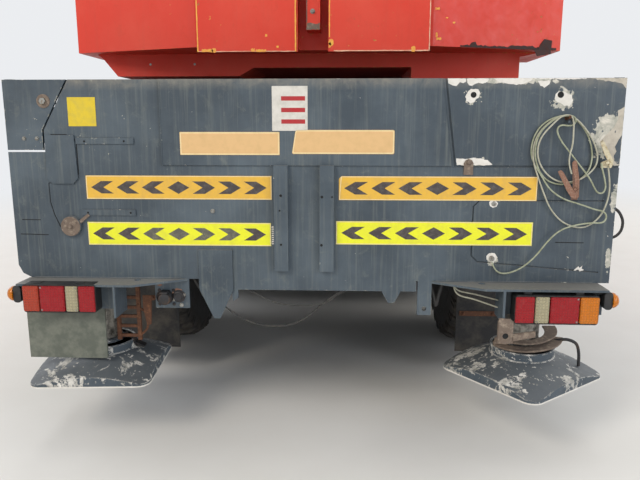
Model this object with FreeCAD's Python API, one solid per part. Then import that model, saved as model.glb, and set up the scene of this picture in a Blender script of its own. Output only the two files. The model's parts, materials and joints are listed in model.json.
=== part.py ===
import FreeCAD, Part
import math
import os

# A four-axle all-terrain mobile crane, parked on its wheels with the boom lowered over the driver's cab.
# Millimetres. X points to the crane's right, Y forward, Z up. The origin is on the ground, in the middle
# of the crane's length and width. Distances along the crane are counted forward from the outer face of
# the rear panel, and on the turning part from the slewing axis.

Vector = FreeCAD.Vector

# Fits and gaps
pin_clearance = 0.3
seat_clearance = 0.3
moving_clearance = 6.0
pane_clearance = 0.3

# Carrier
carrier_width = 2750.0
carrier_length = 10100.0
rear_overhang = 1550.0
rear_axle_spacing = 1650.0
middle_axle_spacing = 2450.0
front_axle_spacing = 1650.0
fender_thickness = 12.0
fender_drop = 300.0
fender_inner = 830.0
fender_half_top = 420.0
fender_half_low = 640.0
deck_top = 1700.0
deck_thickness = 60.0
skirt_depth = 85.0
skirt_thickness = 15.0
skirt_gap = 25.0
frame_width = 900.0
frame_bottom = 980.0
frame_wall = 16.0
engine_bay_start = 5750.0
rail_width = 120.0
cab_rail_bottom = 820.0
cab_rail_rear = 8080.0
cab_rail_front_inset = 420.0

# Tyres and rims: 20.5 R25
tyre_radius = 740.0
tyre_width = 525.0
wheel_side_inset = 10.0
rim_radius = 318.0
rim_barrel_thickness = 22.0
rim_width = 440.0
rim_disc_start = 64.0
rim_disc_thickness = 26.0
rim_hub_radius = 140.0
rim_hub_end = 165.0

# Axles, knuckles and suspension
kingpin_inset = 160.0
kingpin_radius = 70.0
kingpin_half_height = 170.0
spindle_radius = 60.0
spindle_end = 150.0
brake_drum_radius = 205.0
brake_drum_start = -90.0
brake_drum_end = 50.0
yoke_arm_thickness = 45.0
yoke_arm_half_width = 60.0
yoke_arm_end = 38.0
yoke_reach = 200.0
yoke_web_thickness = 55.0
axle_beam_half = 82.0
axle_differential_radius = 190.0
axle_differential_half_width = 130.0
prop_shaft_radius = 45.0
suspension_x = 540.0
suspension_radius = 58.0
suspension_top = 1400.0
suspension_bracket_half = 75.0

# Outriggers
jack_x = 1040.0
jack_inset = 130.0
jack_housing_half = 108.0
rear_beam_inset = 165.0
jack_housing_bottom = 770.0
jack_housing_top = 1600.0
jack_ram_radius = 75.0
jack_ram_top = 1540.0
beam_width = 230.0
beam_height = 340.0
beam_bottom = 1010.0
beam_wall = 14.0
beam_pitch = 275.0
beam_inner_end = 895.0
outrigger_box_half_width = 915.0
outrigger_box_bottom = 960.0
outrigger_box_top = 1600.0
outrigger_box_margin = 25.0
front_outrigger_distance = 4425.0
float_side = 560.0
float_corner_radius = 60.0
float_bottom = 300.0
float_edge = 14.0
float_height = 105.0
float_collar_radius = 150.0
float_collar_height = 40.0
float_turns = {"rear_left": 4.0, "rear_right": 38.0, "front_left": 0.0, "front_right": 0.0}
beam_stroke = 1550.0
jack_stroke = 500.0

# Rear panel with its shelves, ribs and the moving left corner cover
panel_thickness = 14.0
panel_bottom = 740.0
panel_side_bottom = 790.0
panel_centre_half = 500.0
panel_corner_radius = 60.0
overlay_left = -660.0
overlay_bottom = 1322.0
overlay_thickness = 8.0
rib_positions = (-122.0, 86.0)
rib_width = 64.0
rib_depth = 26.0
rib_bottom = 837.0
gusset_x = -432.0
gusset_width = 158.0
gusset_top = 930.0
gusset_tip = 600.0
hatch_left = 603.0
hatch_left_low = 657.0
hatch_bottom = 1319.0
hatch_groove = 9.0
low_hatch_left = 746.0
low_hatch_right = 1320.0
low_hatch_top = 1168.0
low_hatch_bottom = 886.0
low_hatch_bevel = 28.0
cap_x = -1103.0
cap_level = 1038.0
cap_radius = 48.0
tab_outline = ((-1196, 1456), (-1062, 1456), (-1055, 1262), (-1078, 1236), (-1176, 1236), (-1200, 1262))
cover_top_x = 1075.0
cover_low_x = 1200.0
cover_slant_end = 1478.0
cover_bottom = 1379.0
cover_gap = 9.0
shelf_depth = 130.0
shelf_thickness = 10.0
shelf_inner_x = 566.0
shelf_taper_x = 790.0
shelf_outer_x = 1325.0
shelf_hole_radius = 16.0
shelf_hole_x = 795.0
lamp_plate_x = 880.0
lamp_plate_bottom = 634.0
lug_x = 540.0
lug_half = 32.0
lug_bottom = 627.0
lug_hole_radius = 11.0
lug_hole_level = 658.0
socket_left = -726.0
socket_right = -563.0
socket_bottom = 647.0
arm_x = 887.0
arm_top = 632.0
arm_bottom = 540.0
arm_bar_end = 1019.0

# Lamps
lamp_length = 345.0
lamp_height = 130.0
lamp_depth = 62.0
lamp_x = 1116.0
marker_radius = 30.0
marker_length = 26.0
marker_mount_width = 60.0

# Driver's cab
cab_length = 1900.0
cab_width = 2500.0
cab_wall = 40.0
cab_floor = 1000.0
cab_roof = 2800.0
cab_waist = 1780.0
cab_windscreen_top = 2640.0
cab_windscreen_rake = 210.0
cab_roof_bevel = 110.0
door_front_inset = 470.0
door_width = 900.0
door_bottom = 1060.0
door_top = 2640.0
door_window_bottom = 1860.0
window_margin = 90.0
hinge_radius = 14.0
hinge_offset = 20.0
hinge_height = 90.0
hinge_bracket_height = 40.0
hinge_levels = (1250.0, 1720.0)
grille_width = 1300.0
grille_bottom = 1180.0
grille_pitch = 75.0
grille_slot = 40.0
grille_slots = 6
grille_depth = 14.0
mirror_reach = 310.0
mirror_width = 190.0
mirror_depth = 80.0
mirror_bottom = 1900.0
mirror_top = 2350.0
mirror_arm_radius = 16.0
bumper_bottom = 480.0
bumper_depth = 400.0
bumper_half_width = 1300.0
bumper_bevel = 160.0
head_lamp_x = 980.0
head_lamp_width = 420.0
head_lamp_height = 170.0
head_lamp_level = 720.0
pane_thickness = 6.0
seat_width = 480.0
seat_x = 620.0

# Slewing axis and superstructure
slew_distance = 4150.0
slew_ring_radius = 850.0
slew_ring_wall = 130.0
slew_ring_level = 1740.0
slew_plate_bottom = 1830.0
slew_plate_top = 1870.0
pivot_behind = 1300.0
pivot_level = 3100.0
pivot_pin_radius = 90.0
side_plate_inner = 345.0
side_plate_thickness = 40.0
luff_foot_ahead = 250.0
luff_foot_level = 2050.0
luff_lug_inner = 120.0
luff_lug_thickness = 45.0
counterweight_half_width = 1310.0
counterweight_depth = 850.0
counterweight_sweep = 240.0
counterweight_flat_half = 600.0
counterweight_front = 2850.0
counterweight_bottom = 1890.0
counterweight_top = 2760.0
counterweight_recess_half = 82.0
counterweight_recess_depth = 150.0
tail_plate_outer = 580.0
tail_plate_thickness = 40.0
tail_plate_bottom = 1862.0
tail_plate_top = 2640.0
cradle_bottom = 1770.0
box_bottom = 1742.0
winch_behind = 2300.0
winch_level = 2610.0
winch_drum_radius = 215.0
winch_flange_radius = 235.0
housing_inner = 430.0
housing_outer = 1290.0
housing_rear = 2700.0
housing_front = 320.0
housing_bottom = 1885.0
engine_housing_top = 2780.0
oil_tank_top = 2420.0

# Crane cab
crane_cab_inner = 470.0
crane_cab_outer = 1250.0
crane_cab_rear = -60.0
crane_cab_front = 1650.0
crane_cab_bottom = 1900.0
crane_cab_top = 3340.0
crane_cab_wall = 35.0
crane_cab_waist = 2320.0
crane_cab_rake = 330.0
crane_door_width = 760.0
crane_door_offset = 8.0
crane_door_travel = 700.0

# Boom and luffing cylinder
boom_bottom = 2880.0
boom_width = 620.0
boom_height = 800.0
boom_bottom_bevel = 140.0
boom_top_bevel = 50.0
boom_wall = 12.0
section_step = 25.0
boom_tail = 260.0
base_section_reach = 8850.0
section_reach = 200.0
collar_length = 110.0
collar_lip = 22.0
section_start = 250.0
section_start_step = 50.0
section_stroke = 7900.0
head_reach = 300.0
head_axis_drop = 200.0
head_sheave_radius = 240.0
head_sheave_width = 44.0
head_sheave_positions = (-150.0, -50.0, 50.0, 150.0)
head_plate_proud = 6.0
head_plate_thickness = 26.0
head_guard_gap = 20.0
head_guard_radius = 12.0
top_sheave_radius = 150.0
luff_eye_along = 4500.0
luff_eye_drop = 160.0
luff_eye_radius = 120.0
luff_eye_half_width = 126.0
luff_barrel_radius = 170.0
luff_barrel_start = 300.0
luff_gland_gap = 255.0
luff_gland_length = 120.0
luff_gland_lip = 16.0
luff_neck_radius = 100.0
luff_rod_radius = 118.0
luff_rod_inner_end = 340.0
luff_foot_eye_radius = 140.0
luff_foot_pin_radius = 60.0
luff_angle = 80.0

# Hook block
hook_drop = 1150.0
hook_sheave_radius = 200.0
hook_cheek_thickness = 30.0
hook_cheek_half_width = 185.0
rope_radius = 9.0
rope_clearance = 1.5
hook_shank_radius = 45.0
hook_throat_radius = 85.0
hook_thickness = 72.0
hook_belly = 95.0
hook_drop_below = 345.0

# Exhaust beside the engine bay
exhaust_x = 1020.0
exhaust_gap = 275.0
exhaust_radius = 105.0
exhaust_bottom = 1790.0
exhaust_top = 2480.0
exhaust_pipe_radius = 45.0
exhaust_pipe_level = 1500.0

# Hanging cable with two clamps, and a wire under the panel
cable_radius = 3.5
coil_x = 1132.0
coil_level = 1391.0
coil_radius = 152.0
coil_band = 24.0
coil_depth = 18.0
coil_stand_off = 4.0
peg_radius = 5.0
peg_length = 34.0
clamp_depth = 12.0
wire_radius = 4.0


# Places worked out from the driving sizes

def float_reach(turn):
    """How far a turned square float with round corners reaches from its jack's axis."""
    angle = math.radians(turn)
    straight = float_side / 2 - float_corner_radius
    return straight * (math.cos(angle) + math.sin(angle)) + float_corner_radius


rear_reach = max(float_reach(float_turns["rear_left"]), float_reach(float_turns["rear_right"])) - jack_inset
boom_length = base_section_reach + 3 * section_reach + head_reach
head_distance = slew_distance - pivot_behind + boom_length
head_nose = head_sheave_radius + head_guard_gap + 2 * head_guard_radius
overall_length = rear_reach + head_distance + head_nose
rear_face_y = -overall_length / 2 + rear_reach
slew_y = rear_face_y + slew_distance
pivot_y = slew_y - pivot_behind
cab_front_y = rear_face_y + carrier_length
cab_rear_y = cab_front_y - cab_length
deck_bottom = deck_top - deck_thickness
wheel_x = carrier_width / 2 - wheel_side_inset - tyre_width / 2
kingpin_x = wheel_x - kingpin_inset
side_plate_outer = side_plate_inner + side_plate_thickness
counterweight_tail = counterweight_front + counterweight_depth
counterweight_side_tail = counterweight_tail - counterweight_sweep
luff_foot_y = slew_y + luff_foot_ahead
luff_eye_y = pivot_y + luff_eye_along
luff_eye_level = boom_bottom - luff_eye_drop
luff_closed_length = math.hypot(luff_eye_y - luff_foot_y, luff_eye_level - luff_foot_level)
luff_rest_angle = math.degrees(math.atan2(luff_eye_level - luff_foot_level, luff_eye_y - luff_foot_y))
luff_barrel_end = luff_closed_length - luff_eye_radius - luff_gland_gap
head_plate_inner = boom_width / 2 - 3 * section_step + head_plate_proud - head_plate_thickness
head_axis_y = pivot_y + boom_length
head_axis_level = boom_bottom - head_axis_drop

# Axles by number, counted from the front: distance ahead of the rear panel, and whether it steers
axles = {
    "4": {"distance": rear_overhang, "steered": False},
    "3": {"distance": rear_overhang + rear_axle_spacing, "steered": False},
    "2": {"distance": rear_overhang + rear_axle_spacing + middle_axle_spacing, "steered": True},
    "1": {"distance": rear_overhang + rear_axle_spacing + middle_axle_spacing + front_axle_spacing,
          "steered": True},
}
sides = {"left": -1, "right": 1}


def ahead(distance):
    """Y of a place this far forward of the rear panel's outer face."""
    return rear_face_y + distance


# Basic forms

def block(x0, x1, y0, y1, z0, z1):
    return Part.makeBox(x1 - x0, y1 - y0, z1 - z0, Vector(x0, y0, z0))


def bar_x(radius, x0, x1, y, z):
    return Part.makeCylinder(radius, x1 - x0, Vector(x0, y, z), Vector(1, 0, 0))


def bar_y(radius, y0, y1, x, z):
    return Part.makeCylinder(radius, y1 - y0, Vector(x, y0, z), Vector(0, 1, 0))


def bar_z(radius, x, y, z0, z1):
    return Part.makeCylinder(radius, z1 - z0, Vector(x, y, z0), Vector(0, 0, 1))


def bar_between(radius, start, end):
    start, end = Vector(*start), Vector(*end)
    return Part.makeCylinder(radius, (end - start).Length, start, end - start)


def face_of(points):
    corners = [Vector(*p) for p in points]
    return Part.Face(Part.makePolygon(corners + corners[:1]))


def plate_x(outline, x0, x1):
    """A plate across X from an outline of (y, z) corners."""
    return face_of([(x0, y, z) for y, z in outline]).extrude(Vector(x1 - x0, 0, 0))


def plate_y(outline, y0, y1):
    """A plate across Y from an outline of (x, z) corners."""
    return face_of([(x, y0, z) for x, z in outline]).extrude(Vector(0, y1 - y0, 0))


def plate_z(outline, z0, z1):
    """A plate across Z from an outline of (x, y) corners."""
    return face_of([(x, y, z0) for x, y in outline]).extrude(Vector(0, 0, z1 - z0))


def turned_about_x(outline):
    """A ring round the X axis from a closed outline of (x, radius) corners."""
    return face_of([(x, 0, r) for x, r in outline]).revolve(Vector(0, 0, 0), Vector(1, 0, 0), 360)


def joined(shapes):
    shapes = list(shapes)
    whole = shapes[0].fuse(shapes[1:]) if len(shapes) > 1 else shapes[0]
    return whole.removeSplitter()


def mirrored(shape):
    return shape.mirror(Vector(0, 0, 0), Vector(1, 0, 0))


def moved(shape, x=0, y=0, z=0):
    shape = shape.copy()
    shape.translate(Vector(x, y, z))
    return shape


def both_sides(shape):
    return [shape, mirrored(shape)]


def on_side(shape, side):
    """A shape built on the right, put on the side asked for."""
    return shape if sides[side] > 0 else mirrored(shape)


# Wheels

def tyre_form():
    """One tyre about the X axis: straight walls and square shoulders, as wide crane tyres have."""
    half = tyre_width / 2
    bore = rim_radius + seat_clearance
    return turned_about_x([(-half, bore), (-half, tyre_radius), (half, tyre_radius), (half, bore)])


def rim_form():
    """A disc wheel with its outer side towards +X: barrel, recessed disc, hub and bore for the spindle."""
    half, inner = rim_width / 2, rim_radius - rim_barrel_thickness
    bore, bore_end = spindle_radius + pin_clearance, spindle_end + moving_clearance
    disc_end = rim_disc_start + rim_disc_thickness
    outline = [(-half, inner), (-half, rim_radius), (half, rim_radius), (half, inner), (disc_end, inner),
               (disc_end, rim_hub_radius), (rim_hub_end, rim_hub_radius), (rim_hub_end, 0),
               (bore_end, 0), (bore_end, bore), (rim_disc_start, bore), (rim_disc_start, inner)]
    return turned_about_x(outline)


def wheel_nodes():
    nodes = {}
    tyre, rim = tyre_form(), rim_form()
    for axle, place in axles.items():
        for side in sides:
            for name, form in (("tyre", tyre), ("rim", rim)):
                placed = moved(form, wheel_x, ahead(place["distance"]), tyre_radius)
                nodes[f"{name}_{axle}_{side}"] = on_side(placed, side)
    return nodes


# Axles and knuckles

def hub_form():
    """Brake drum and spindle on the right, at a wheel centre on the X axis."""
    return joined([bar_x(brake_drum_radius, brake_drum_start, brake_drum_end, 0, 0),
                   bar_x(spindle_radius, brake_drum_start, spindle_end, 0, 0)])


def knuckle_form():
    """The steered hub: kingpin post, drum and spindle."""
    post = bar_z(kingpin_radius, -kingpin_inset, 0, -kingpin_half_height, kingpin_half_height)
    neck = block(-kingpin_inset, brake_drum_start + 1, -kingpin_radius, kingpin_radius,
                 -kingpin_half_height + 40, kingpin_half_height - 40)
    return joined([hub_form(), post, neck])


def yoke_form():
    """The fork at a steered axle's end that holds the kingpin post from above and below."""
    web = -kingpin_inset - yoke_reach
    low = kingpin_half_height + pin_clearance
    high = low + yoke_arm_thickness
    half = yoke_arm_half_width
    pieces = [block(web, web + yoke_web_thickness, -half, half, -high, high)]
    for z0, z1 in ((low, high), (-high, -low)):
        pieces.append(block(web, -kingpin_inset + yoke_arm_end, -half, half, z0, z1))
    return pieces


def axle_form(steered):
    """A driven axle about the X axis at Y 0 and Z 0: tube, differential, ends and suspension struts."""
    if steered:
        tube_end = wheel_x - kingpin_inset - yoke_reach
        ends = yoke_form()
    else:
        tube_end = wheel_x + brake_drum_start
        ends = [hub_form()]
    pieces = [block(-tube_end, tube_end, -axle_beam_half, axle_beam_half, -axle_beam_half, axle_beam_half),
              bar_x(axle_differential_radius, -axle_differential_half_width, axle_differential_half_width, 0, 0)]
    for end in ends:
        pieces += both_sides(moved(end, wheel_x))
    pieces += both_sides(bar_z(suspension_radius, suspension_x, 0, 0, suspension_top - tyre_radius))
    return pieces


def axles_form():
    """All four axles, with the shafts that run between them."""
    pieces = []
    for place in axles.values():
        pieces += [moved(p, 0, ahead(place["distance"]), tyre_radius) for p in axle_form(place["steered"])]
    pieces.append(bar_y(prop_shaft_radius, ahead(axles["4"]["distance"]), ahead(axles["1"]["distance"]),
                        0, tyre_radius))
    return joined(pieces)


def knuckle_nodes():
    nodes = {}
    for axle, place in axles.items():
        if not place["steered"]:
            continue
        for side in sides:
            placed = moved(knuckle_form(), wheel_x, ahead(place["distance"]), tyre_radius)
            nodes[f"knuckle_{axle}_{side}"] = on_side(placed, side)
    return nodes


# Outriggers. Each box holds two beams side by side: the right one behind, the left one ahead.

outrigger_sets = {
    "rear": {"right_beam": rear_beam_inset, "left_beam": rear_beam_inset + beam_pitch,
             "right_jack": jack_inset, "left_jack": jack_inset},
    "front": {"right_beam": front_outrigger_distance - beam_pitch / 2,
              "left_beam": front_outrigger_distance + beam_pitch / 2,
              "right_jack": front_outrigger_distance - beam_pitch / 2,
              "left_jack": front_outrigger_distance + beam_pitch / 2},
}


def outrigger_box_ends(place):
    """Rear and front faces of one transverse box, as distances from the rear panel."""
    lines = outrigger_sets[place]
    reach = beam_width / 2 + outrigger_box_margin
    rear = panel_thickness + seat_clearance if place == "rear" else lines["right_beam"] - reach
    return rear, lines["left_beam"] + reach


def tunnel_form(place, side):
    """The space that a beam slides in."""
    line = ahead(outrigger_sets[place][f"{side}_beam"])
    half = beam_width / 2 + moving_clearance
    return block(-outrigger_box_half_width - 1, outrigger_box_half_width + 1, line - half, line + half,
                 beam_bottom - seat_clearance, beam_bottom + beam_height + moving_clearance)


def beam_form(place, side):
    """One sliding beam with its jack housing, built on the right."""
    lines = outrigger_sets[place]
    beam_line, jack_line = ahead(lines[f"{side}_beam"]), ahead(lines[f"{side}_jack"])
    half, wall = beam_width / 2, beam_wall
    top = beam_bottom + beam_height
    head_inner, head_outer = jack_x - jack_housing_half, jack_x + jack_housing_half
    beam = block(-beam_inner_end, head_inner, beam_line - half, beam_line + half, beam_bottom, top)
    hollow = block(-beam_inner_end - 1, head_inner - 1, beam_line - half + wall, beam_line + half - wall,
                   beam_bottom + wall, top - wall)
    rear = min(beam_line - half, jack_line - jack_housing_half)
    front = max(beam_line + half, jack_line + jack_housing_half)
    head = block(head_inner, head_outer, rear, front, beam_bottom, top)
    housing = block(head_inner, head_outer, jack_line - jack_housing_half, jack_line + jack_housing_half,
                    jack_housing_bottom, jack_housing_top)
    bore = bar_z(jack_ram_radius + pin_clearance, jack_x, jack_line, jack_housing_bottom - 1, jack_ram_top + 20)
    return joined([beam.cut(hollow), head, housing]).cut(bore)


def corner_cover_form():
    """The cover on the left rear jack housing, in the plane of the rear panel, on its stand-off."""
    outer = carrier_width / 2
    outline = [(-outer, deck_top), (-cover_top_x - cover_gap, deck_top),
               (-cover_low_x - cover_gap, cover_slant_end), (-cover_low_x - cover_gap, cover_bottom + cover_gap),
               (-outer, cover_bottom + cover_gap)]
    cover = plate_y(outline, ahead(0), ahead(panel_thickness))
    low, high = cover_bottom + 40, jack_housing_top - 20
    spacer = block(-outer + 40, -cover_low_x - cover_gap - 10, ahead(panel_thickness) - 1,
                   ahead(jack_inset + 1 - jack_housing_half + 20), low, high)
    arm = block(-outer + 40, -jack_x - jack_housing_half + 1, ahead(panel_thickness + moving_clearance),
                ahead(jack_inset - jack_housing_half + 20), low, high)
    return [cover, spacer, arm]


def beam_nodes():
    nodes = {}
    for place in outrigger_sets:
        for side in sides:
            shape = on_side(beam_form(place, side), side)
            if (place, side) == ("rear", "left"):
                bore = bar_z(jack_ram_radius + pin_clearance, -jack_x, ahead(jack_inset),
                             jack_housing_bottom - 1, jack_ram_top + 20)
                shape = joined([shape] + corner_cover_form()).cut(bore)
            nodes[f"outrigger_{place}_{side}"] = shape
    return nodes


def rounded_square_wire(side, corner, z, turn):
    """A square with round corners, turned about the Z axis."""
    half, inner = side / 2, side / 2 - corner
    edges = []
    for quarter in range(4):
        turn_here = math.radians(turn + 90 * quarter)

        def at(x, y):
            return Vector(x * math.cos(turn_here) - y * math.sin(turn_here),
                          x * math.sin(turn_here) + y * math.cos(turn_here), z)
        diagonal = inner + corner * math.sqrt(0.5)
        edges.append(Part.LineSegment(at(half, -inner), at(half, inner)).toShape())
        edges.append(Part.Arc(at(half, inner), at(diagonal, diagonal), at(inner, half)).toShape())
    return Part.Wire(edges)


def float_form(turn):
    """A dished float at X 0 and Y 0: flat square edge, conical skin up to a round collar."""
    base = Part.Face(rounded_square_wire(float_side, float_corner_radius, 0, turn)).extrude(Vector(0, 0, float_edge))
    prism = Part.Face(rounded_square_wire(float_side, float_corner_radius, 0, turn)).extrude(
        Vector(0, 0, float_height))
    skin = Part.makeCone(float_reach(45), float_collar_radius, float_height - float_edge,
                         Vector(0, 0, float_edge)).common(prism)
    collar = bar_z(float_collar_radius, 0, 0, float_height, float_height + float_collar_height)
    return [base, skin, collar]


def jack_nodes():
    nodes = {}
    for place, lines in outrigger_sets.items():
        for side, sign in sides.items():
            foot = joined(float_form(float_turns[f"{place}_{side}"]))
            foot = moved(foot, sign * jack_x, ahead(lines[f"{side}_jack"]), float_bottom)
            ram = bar_z(jack_ram_radius, sign * jack_x, ahead(lines[f"{side}_jack"]),
                        float_bottom + float_height, jack_ram_top)
            nodes[f"jack_{place}_{side}"] = joined([foot, ram])
    return nodes


# Chassis

def chassis_form():
    """The welded frame: hollow torsion box, engine bay rails, low rails under the cab, outrigger boxes,
    suspension brackets and the pedestal of the slewing ring."""
    half, wall = frame_width / 2, frame_wall
    rear_box_front = ahead(outrigger_box_ends("rear")[1])
    box = block(-half, half, rear_box_front, ahead(engine_bay_start), frame_bottom, deck_bottom)
    hollow = block(-half + wall, half - wall, rear_box_front + wall, ahead(engine_bay_start) - wall,
                   frame_bottom + wall, deck_bottom - wall)
    pieces = [box.cut(hollow)]
    rail_front = cab_front_y - cab_rail_front_inset
    rail = plate_x([(ahead(engine_bay_start) - 1, frame_bottom), (ahead(cab_rail_rear) - 260, frame_bottom),
                    (ahead(cab_rail_rear) - 60, cab_rail_bottom), (rail_front, cab_rail_bottom),
                    (rail_front, cab_floor - seat_clearance),
                    (ahead(cab_rail_rear), cab_floor - seat_clearance),
                    (ahead(cab_rail_rear), deck_bottom), (ahead(engine_bay_start) - 1, deck_bottom)],
                   half - rail_width, half)
    pieces += both_sides(rail)
    pieces.append(block(-half, half, rail_front - wall * 4, rail_front, cab_rail_bottom,
                        cab_floor - seat_clearance))
    for place in outrigger_sets:
        rear, front = outrigger_box_ends(place)
        pieces.append(block(-outrigger_box_half_width, outrigger_box_half_width, ahead(rear), ahead(front),
                            outrigger_box_bottom, outrigger_box_top))
    rear, front = outrigger_box_ends("rear")
    pieces.append(block(-half, half, ahead(rear), ahead(front), outrigger_box_top, deck_bottom))
    for place in axles.values():
        distance = place["distance"]
        bracket = block(half - 1, suspension_x + suspension_bracket_half,
                        ahead(distance) - suspension_bracket_half, ahead(distance) + suspension_bracket_half,
                        suspension_top + seat_clearance, suspension_top + 160)
        pieces += both_sides(bracket)
    pieces.append(bar_z(slew_ring_radius, 0, slew_y, outrigger_box_top - 120, slew_ring_level))
    whole = joined(pieces)
    pit = bar_z(slew_ring_radius - slew_ring_wall, 0, slew_y, deck_bottom - 60, slew_ring_level + 1)
    whole = whole.cut(pit)
    for place in outrigger_sets:
        for side in sides:
            whole = whole.cut(tunnel_form(place, side))
    passage = bar_x(exhaust_pipe_radius + 10, 0, half + 1, cab_rear_y - exhaust_gap, exhaust_pipe_level)
    return whole.cut(passage)


def deck_form():
    """Deck plate over the wheels with its side skirts, open round the slewing ring."""
    half = carrier_width / 2
    front = cab_rear_y - moving_clearance
    rear = ahead(panel_thickness + seat_clearance)
    plate = block(-half, half, rear, front, deck_bottom, deck_top)
    plate = plate.cut(block(-half - 1, -cover_top_x, rear - 1, rear + moving_clearance, deck_bottom - 1, deck_top + 1))
    hole = bar_z(slew_ring_radius + 20, 0, slew_y, deck_bottom - 1, deck_top + 1)
    rear_start = ahead(axles["4"]["distance"]) - tyre_radius - 40
    skirt = block(half - skirt_thickness, half, rear_start, front, deck_bottom - skirt_depth, deck_bottom)
    gap = beam_pitch / 2 + jack_housing_half + skirt_gap
    skirt = skirt.cut(block(half - skirt_thickness - 1, half + 1, ahead(front_outrigger_distance - gap),
                            ahead(front_outrigger_distance + gap), deck_bottom - skirt_depth - 1, deck_bottom))
    hole = joined([hole, bar_z(exhaust_pipe_radius + 10, exhaust_x, cab_rear_y - exhaust_gap, deck_bottom - 1, deck_top + 1)])
    fenders = []
    for place in axles.values():
        for end in (-1, 1):
            top, low = ahead(place["distance"]) + end * fender_half_top, ahead(place["distance"]) + end * fender_half_low
            guard = plate_x([(top, deck_bottom + 1), (top + end * fender_thickness, deck_bottom + 1),
                             (low + end * fender_thickness, deck_bottom - fender_drop), (low, deck_bottom - fender_drop)],
                            fender_inner, half - skirt_thickness + 1)
            fenders += both_sides(guard)
    return joined([plate.cut(hole)] + both_sides(skirt) + fenders)


def rear_panel_outline():
    """The panel seen from behind as (x, z) corners, without the moving left corner."""
    half, centre, bevel = carrier_width / 2, panel_centre_half, panel_corner_radius
    return [(half, deck_top), (-cover_top_x, deck_top), (-cover_low_x, cover_slant_end),
            (-cover_low_x, cover_bottom), (-half, cover_bottom), (-half, panel_side_bottom + bevel),
            (-half + bevel / 3, panel_side_bottom + bevel / 3), (-half + bevel, panel_side_bottom),
            (-centre, panel_side_bottom), (-centre, panel_bottom), (centre, panel_bottom),
            (centre, panel_side_bottom), (half, panel_side_bottom)]


def seam_form(points, width, y0):
    """A groove half the panel's thickness deep, along straight runs between (x, z) corners."""
    cutters = []
    for start, end in zip(points, points[1:]):
        length = math.hypot(end[0] - start[0], end[1] - start[1])
        along = ((end[0] - start[0]) / length, (end[1] - start[1]) / length)
        shift_x, shift_z = -along[1] * width / 2, along[0] * width / 2
        corners = [(start[0] - along[0] * width / 2 + shift_x, start[1] - along[1] * width / 2 + shift_z),
                   (end[0] + along[0] * width / 2 + shift_x, end[1] + along[1] * width / 2 + shift_z),
                   (end[0] + along[0] * width / 2 - shift_x, end[1] + along[1] * width / 2 - shift_z),
                   (start[0] - along[0] * width / 2 - shift_x, start[1] - along[1] * width / 2 - shift_z)]
        cutters.append(plate_y(corners, y0 - overlay_thickness - 1, y0 + panel_thickness / 2))
    return Part.makeCompound(cutters)


def panel_attachments(y0, y1):
    """What is welded on the panel: gussets, tab, cap, lugs, socket plate, locking arm and the cable's peg."""
    gusset = [(gusset_x - gusset_width / 2, gusset_top), (gusset_x - gusset_width / 2, panel_bottom),
              (gusset_x - 15, gusset_tip), (gusset_x + 15, gusset_tip), (gusset_x + gusset_width / 2, panel_bottom),
              (gusset_x + gusset_width / 2, gusset_top)]
    pieces = [plate_y(gusset, y0 - overlay_thickness, y0),
              block(gusset_x - 20, gusset_x + 20, y0 - 1, y1, gusset_tip + 30, panel_bottom + 20),
              plate_y([(-366, 760), (-331, 760), (-331, 700), (-356, 684)], y0, y1),
              plate_y([(344, 760), (427, 760), (427, 733), (400, 684), (372, 684), (344, 733)], y0, y1),
              plate_y(tab_outline, y0 - overlay_thickness, y0 + 1),
              bar_y(cap_radius, y0 - 14, y0 + 1, cap_x, cap_level),
              bar_y(peg_radius, y0 - peg_length, y0 + 1, coil_x, coil_level + coil_radius - coil_band - peg_radius)]
    lug = plate_y([(lug_x - lug_half, panel_side_bottom + 20), (lug_x + lug_half, panel_side_bottom + 20),
                   (lug_x + lug_half, lug_bottom), (lug_x - lug_half, lug_bottom)], y0, y1 + 8)
    pieces.append(lug.cut(bar_y(lug_hole_radius, y0 - 1, y1 + 9, lug_x, lug_hole_level)))
    pieces.append(block(socket_left, socket_right, y0, y0 + 10, socket_bottom, panel_side_bottom + 20))
    y = y0 - shelf_depth
    arm = block(arm_x - 34, arm_x + 34, y, y + 12, arm_bottom, lamp_plate_bottom + 10)
    arm = arm.cut(bar_y(14, y - 1, y + 13, arm_x - 2, (arm_top + arm_bottom) / 2))
    pieces.append(arm)
    pieces.append(plate_y([(arm_x + 33, 552), (arm_bar_end, 572), (arm_bar_end, 598), (arm_x + 33, 584)], y + 1, y + 11))
    return pieces


def shelf_forms(y0):
    """The two shelves over the lamps, with their back plates, inner plates and holes."""
    pieces = []
    for sign in (-1, 1):
        shelf = [(sign * shelf_inner_x, y0 + 1), (sign * shelf_taper_x, y0 - shelf_depth),
                 (sign * shelf_outer_x, y0 - shelf_depth), (sign * shelf_outer_x, y0 + 1)]
        plate = plate_z(shelf, panel_side_bottom - shelf_thickness, panel_side_bottom)
        pieces.append(plate.cut(bar_z(shelf_hole_radius, sign * shelf_hole_x, y0 - 32, 0, deck_top)))
        x0, x1 = sorted((sign * lamp_plate_x, sign * (lamp_plate_x - shelf_thickness)))
        pieces.append(block(x0, x1, y0 - shelf_depth, y0 + panel_thickness, lamp_plate_bottom, panel_side_bottom))
        x0, x1 = sorted((sign * lamp_plate_x, sign * shelf_outer_x))
        pieces.append(block(x0, x1, y0 - shelf_depth + lamp_depth, y0 - shelf_depth + lamp_depth + shelf_thickness,
                            panel_side_bottom - lamp_height, panel_side_bottom))
    return pieces


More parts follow.
